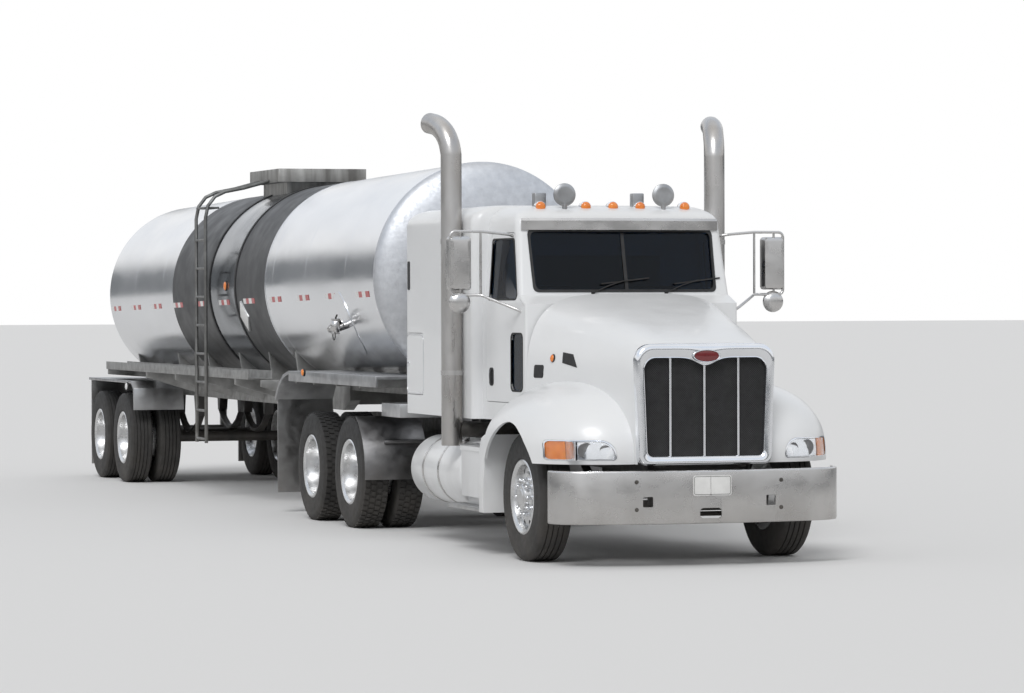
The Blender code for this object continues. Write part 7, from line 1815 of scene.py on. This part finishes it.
def makeStacks():
    shape = stackShape
    shares = ((0, 0, 0), (0.11, 0.094, 0.364), (0.33, 0.31, 0.69), (0.67, 0.62, 0.91), (1, 1, 1))
    stops = [(shape.x + shape.lean * a, shape.station + shape.run * b, shape.bend + shape.rise * c)
             for a, b, c in shares]
    bend = [tuple(point) for point in curveThrough(stops, 6)]
    past = Vector(bend[-1]) + (Vector(bend[-1]) - Vector(bend[-2])).normalized() * 0.05
    pipe = tube([(shape.x, shape.station, shape.foot)] + bend, shape.radius, 56)
    bore = tube([(shape.x, shape.station, shape.bend - shape.bore)] + bend + [tuple(past)],
                shape.radius - shape.wall, 56)
    base = (shape.x, shape.station, 0)
    clamps = [lathe([(z, shape.radius - 0.002), (z, shape.radius + 0.004),
                     (z + shape.stayWidth, shape.radius + 0.004),
                     (z + shape.stayWidth, shape.radius - 0.002)], 56, base, (0, 0, 1), closed=True)
              for z in shape.stays]
    half = shape.stayWidth / 2
    clamps += [box((shape.sleeper, shape.x - shape.radius + 0.01),
                   (shape.station - half, shape.station + half), (z, z + shape.stayWidth))
               for z in shape.stays]
    branch = rod((shape.branchX, shape.station, shape.branchZ), (shape.x, shape.station, shape.branchZ),
                 shape.branchRadius, 40)
    for side, word in sides:
        stack = meshObject(f"stack_{word}_pipe", [sided(pipe, side)])
        carve(stack, [sided(bore, side)])
        finishPiece(stack, "tractor", "stackSteel", 40, (f"exhaust_stack_{word}",))
        piece(f"stack_{word}_clamps", [sided(solid, side) for solid in clamps], "tractor",
              "bumperSteel", sharp=35)
        piece(f"stack_{word}_branch", [sided(branch, side)], "tractor", "castIron",
              sharp=35)


makeFuelTanks()
makeSteps()
makeStacks()
print("side equipment made")


# Seats, with crowned cushions in place of the CAD blocks

seatShape = Values(x=0.46, front=0.98, rear=1.40, width=0.46, floor=1.1403, base=1.4903, cushion=0.12,
                   backLow=1.56, backHigh=2.24, backRear=1.388, thick=0.105, pedestal=0.12)


def cushion(name, low, high, crown, finish):
    # a closed crowned pad: full in the middle, drawn in along its edges and at its corners
    steps = 20
    centre = [(a + b) / 2 for a, b in zip(low, high)]
    half = [(b - a) / 2 for a, b in zip(low, high)]
    rings = []
    for row in range(steps + 1):
        up = -cos(pi * row / steps)
        shrink = (1 - abs(up) ** 5) ** 0.28 if abs(up) < 1 else 0.0
        ring = []
        for turn in range(56):
            angle = 2 * pi * turn / 56
            across, along = cos(angle), sin(angle)
            square = 1 / (abs(across) ** 6 + abs(along) ** 6) ** (1 / 6)
            pull = 1 - crown * (1 - abs(sin(2 * angle)) ** 2) * 0.04
            ring.append((centre[0] + half[0] * across * square * shrink * pull,
                         centre[1] + half[1] * along * square * shrink * pull,
                         centre[2] + half[2] * (up * 0.5 + 0.5 * up * (1 - 0.5 * (1 - shrink)))))
        rings.append(ring)
    points, faces = loft(rings[1:-1])
    made = piece(name, [(points, faces)], "tractor", finish, sharp=180)
    return made


def makeSeats():
    shape = seatShape
    frames = []
    floor = shape.floor
    frames.append(box((-0.785, 0.785), (shape.front - 0.018, 1.443), (floor, floor + 0.015)))
    for x in (shape.x, -shape.x):
        frames.append(box((x - shape.pedestal, x + shape.pedestal), (1.04, 1.27),
                          (floor + 0.01, shape.base - 0.02)))
        frames.append(box((x - shape.width / 2 + 0.02, x + shape.width / 2 - 0.02),
                          (shape.front + 0.02, shape.rear - 0.02), (shape.base - 0.02, shape.base)))
    piece("seat_frames", frames, "tractor", "trimDark", bevel=0.004, replaced=("seats",))
    for x, word in ((shape.x, "left"), (-shape.x, "right")):
        low, high = x - shape.width / 2, x + shape.width / 2
        cushion(f"seat_{word}_cushion", (low, shape.front, shape.base),
                (high, shape.backRear - shape.thick + 0.01, shape.base + shape.cushion), 1, "seatCloth")
        cushion(f"seat_{word}_back", (low, shape.backRear - shape.thick, shape.backLow),
                (high, shape.backRear, shape.backHigh), 1, "seatCloth")


makeSeats()


# The CAD pieces whose own shape is the finished one: edges broken and a finish each

plainPieces = {"chassis_frame": ("frameBlack", 0.003), "front_axle": ("frameBlack", 0.004),
               "knuckle_left": ("castIron", 0.004), "knuckle_right": ("castIron", 0.004),
               "tie_rod": ("castIron", 0.003), "drive_axle_front": ("frameBlack", 0.004),
               "drive_axle_rear": ("frameBlack", 0.004), "engine_block": ("castIron", 0.02),
               "dashboard": ("trimDark", 0.006), "rear_deck": ("aluminium", 0.004),
               "quarter_fender_left": ("fenderSteel", 0.002),
               "quarter_fender_right": ("fenderSteel", 0.002), "fifth_wheel": ("castIron", 0.006),
               "trailer_frame": ("trailerGrey", 0.003), "trailer_suspension": ("frameBlack", 0.003),
               "trailer_fender_left": ("trailerSteel", 0.003),
               "trailer_fender_right": ("trailerSteel", 0.003),
               "rear_fender_left": ("trailerSteel", 0.003), "rear_fender_right": ("trailerSteel", 0.003),
               "ladder": ("ladderSteel", 0.002), "spill_box": ("boxSteel", 0.002),
               "landing_gear": ("trailerGrey", 0.004), "manhole_lid": ("tankSatin", 0.003)}
for nodeName, (finishName, width) in plainPieces.items():
    softened(nodeName, finishName, width)
print("frame and running gear made")
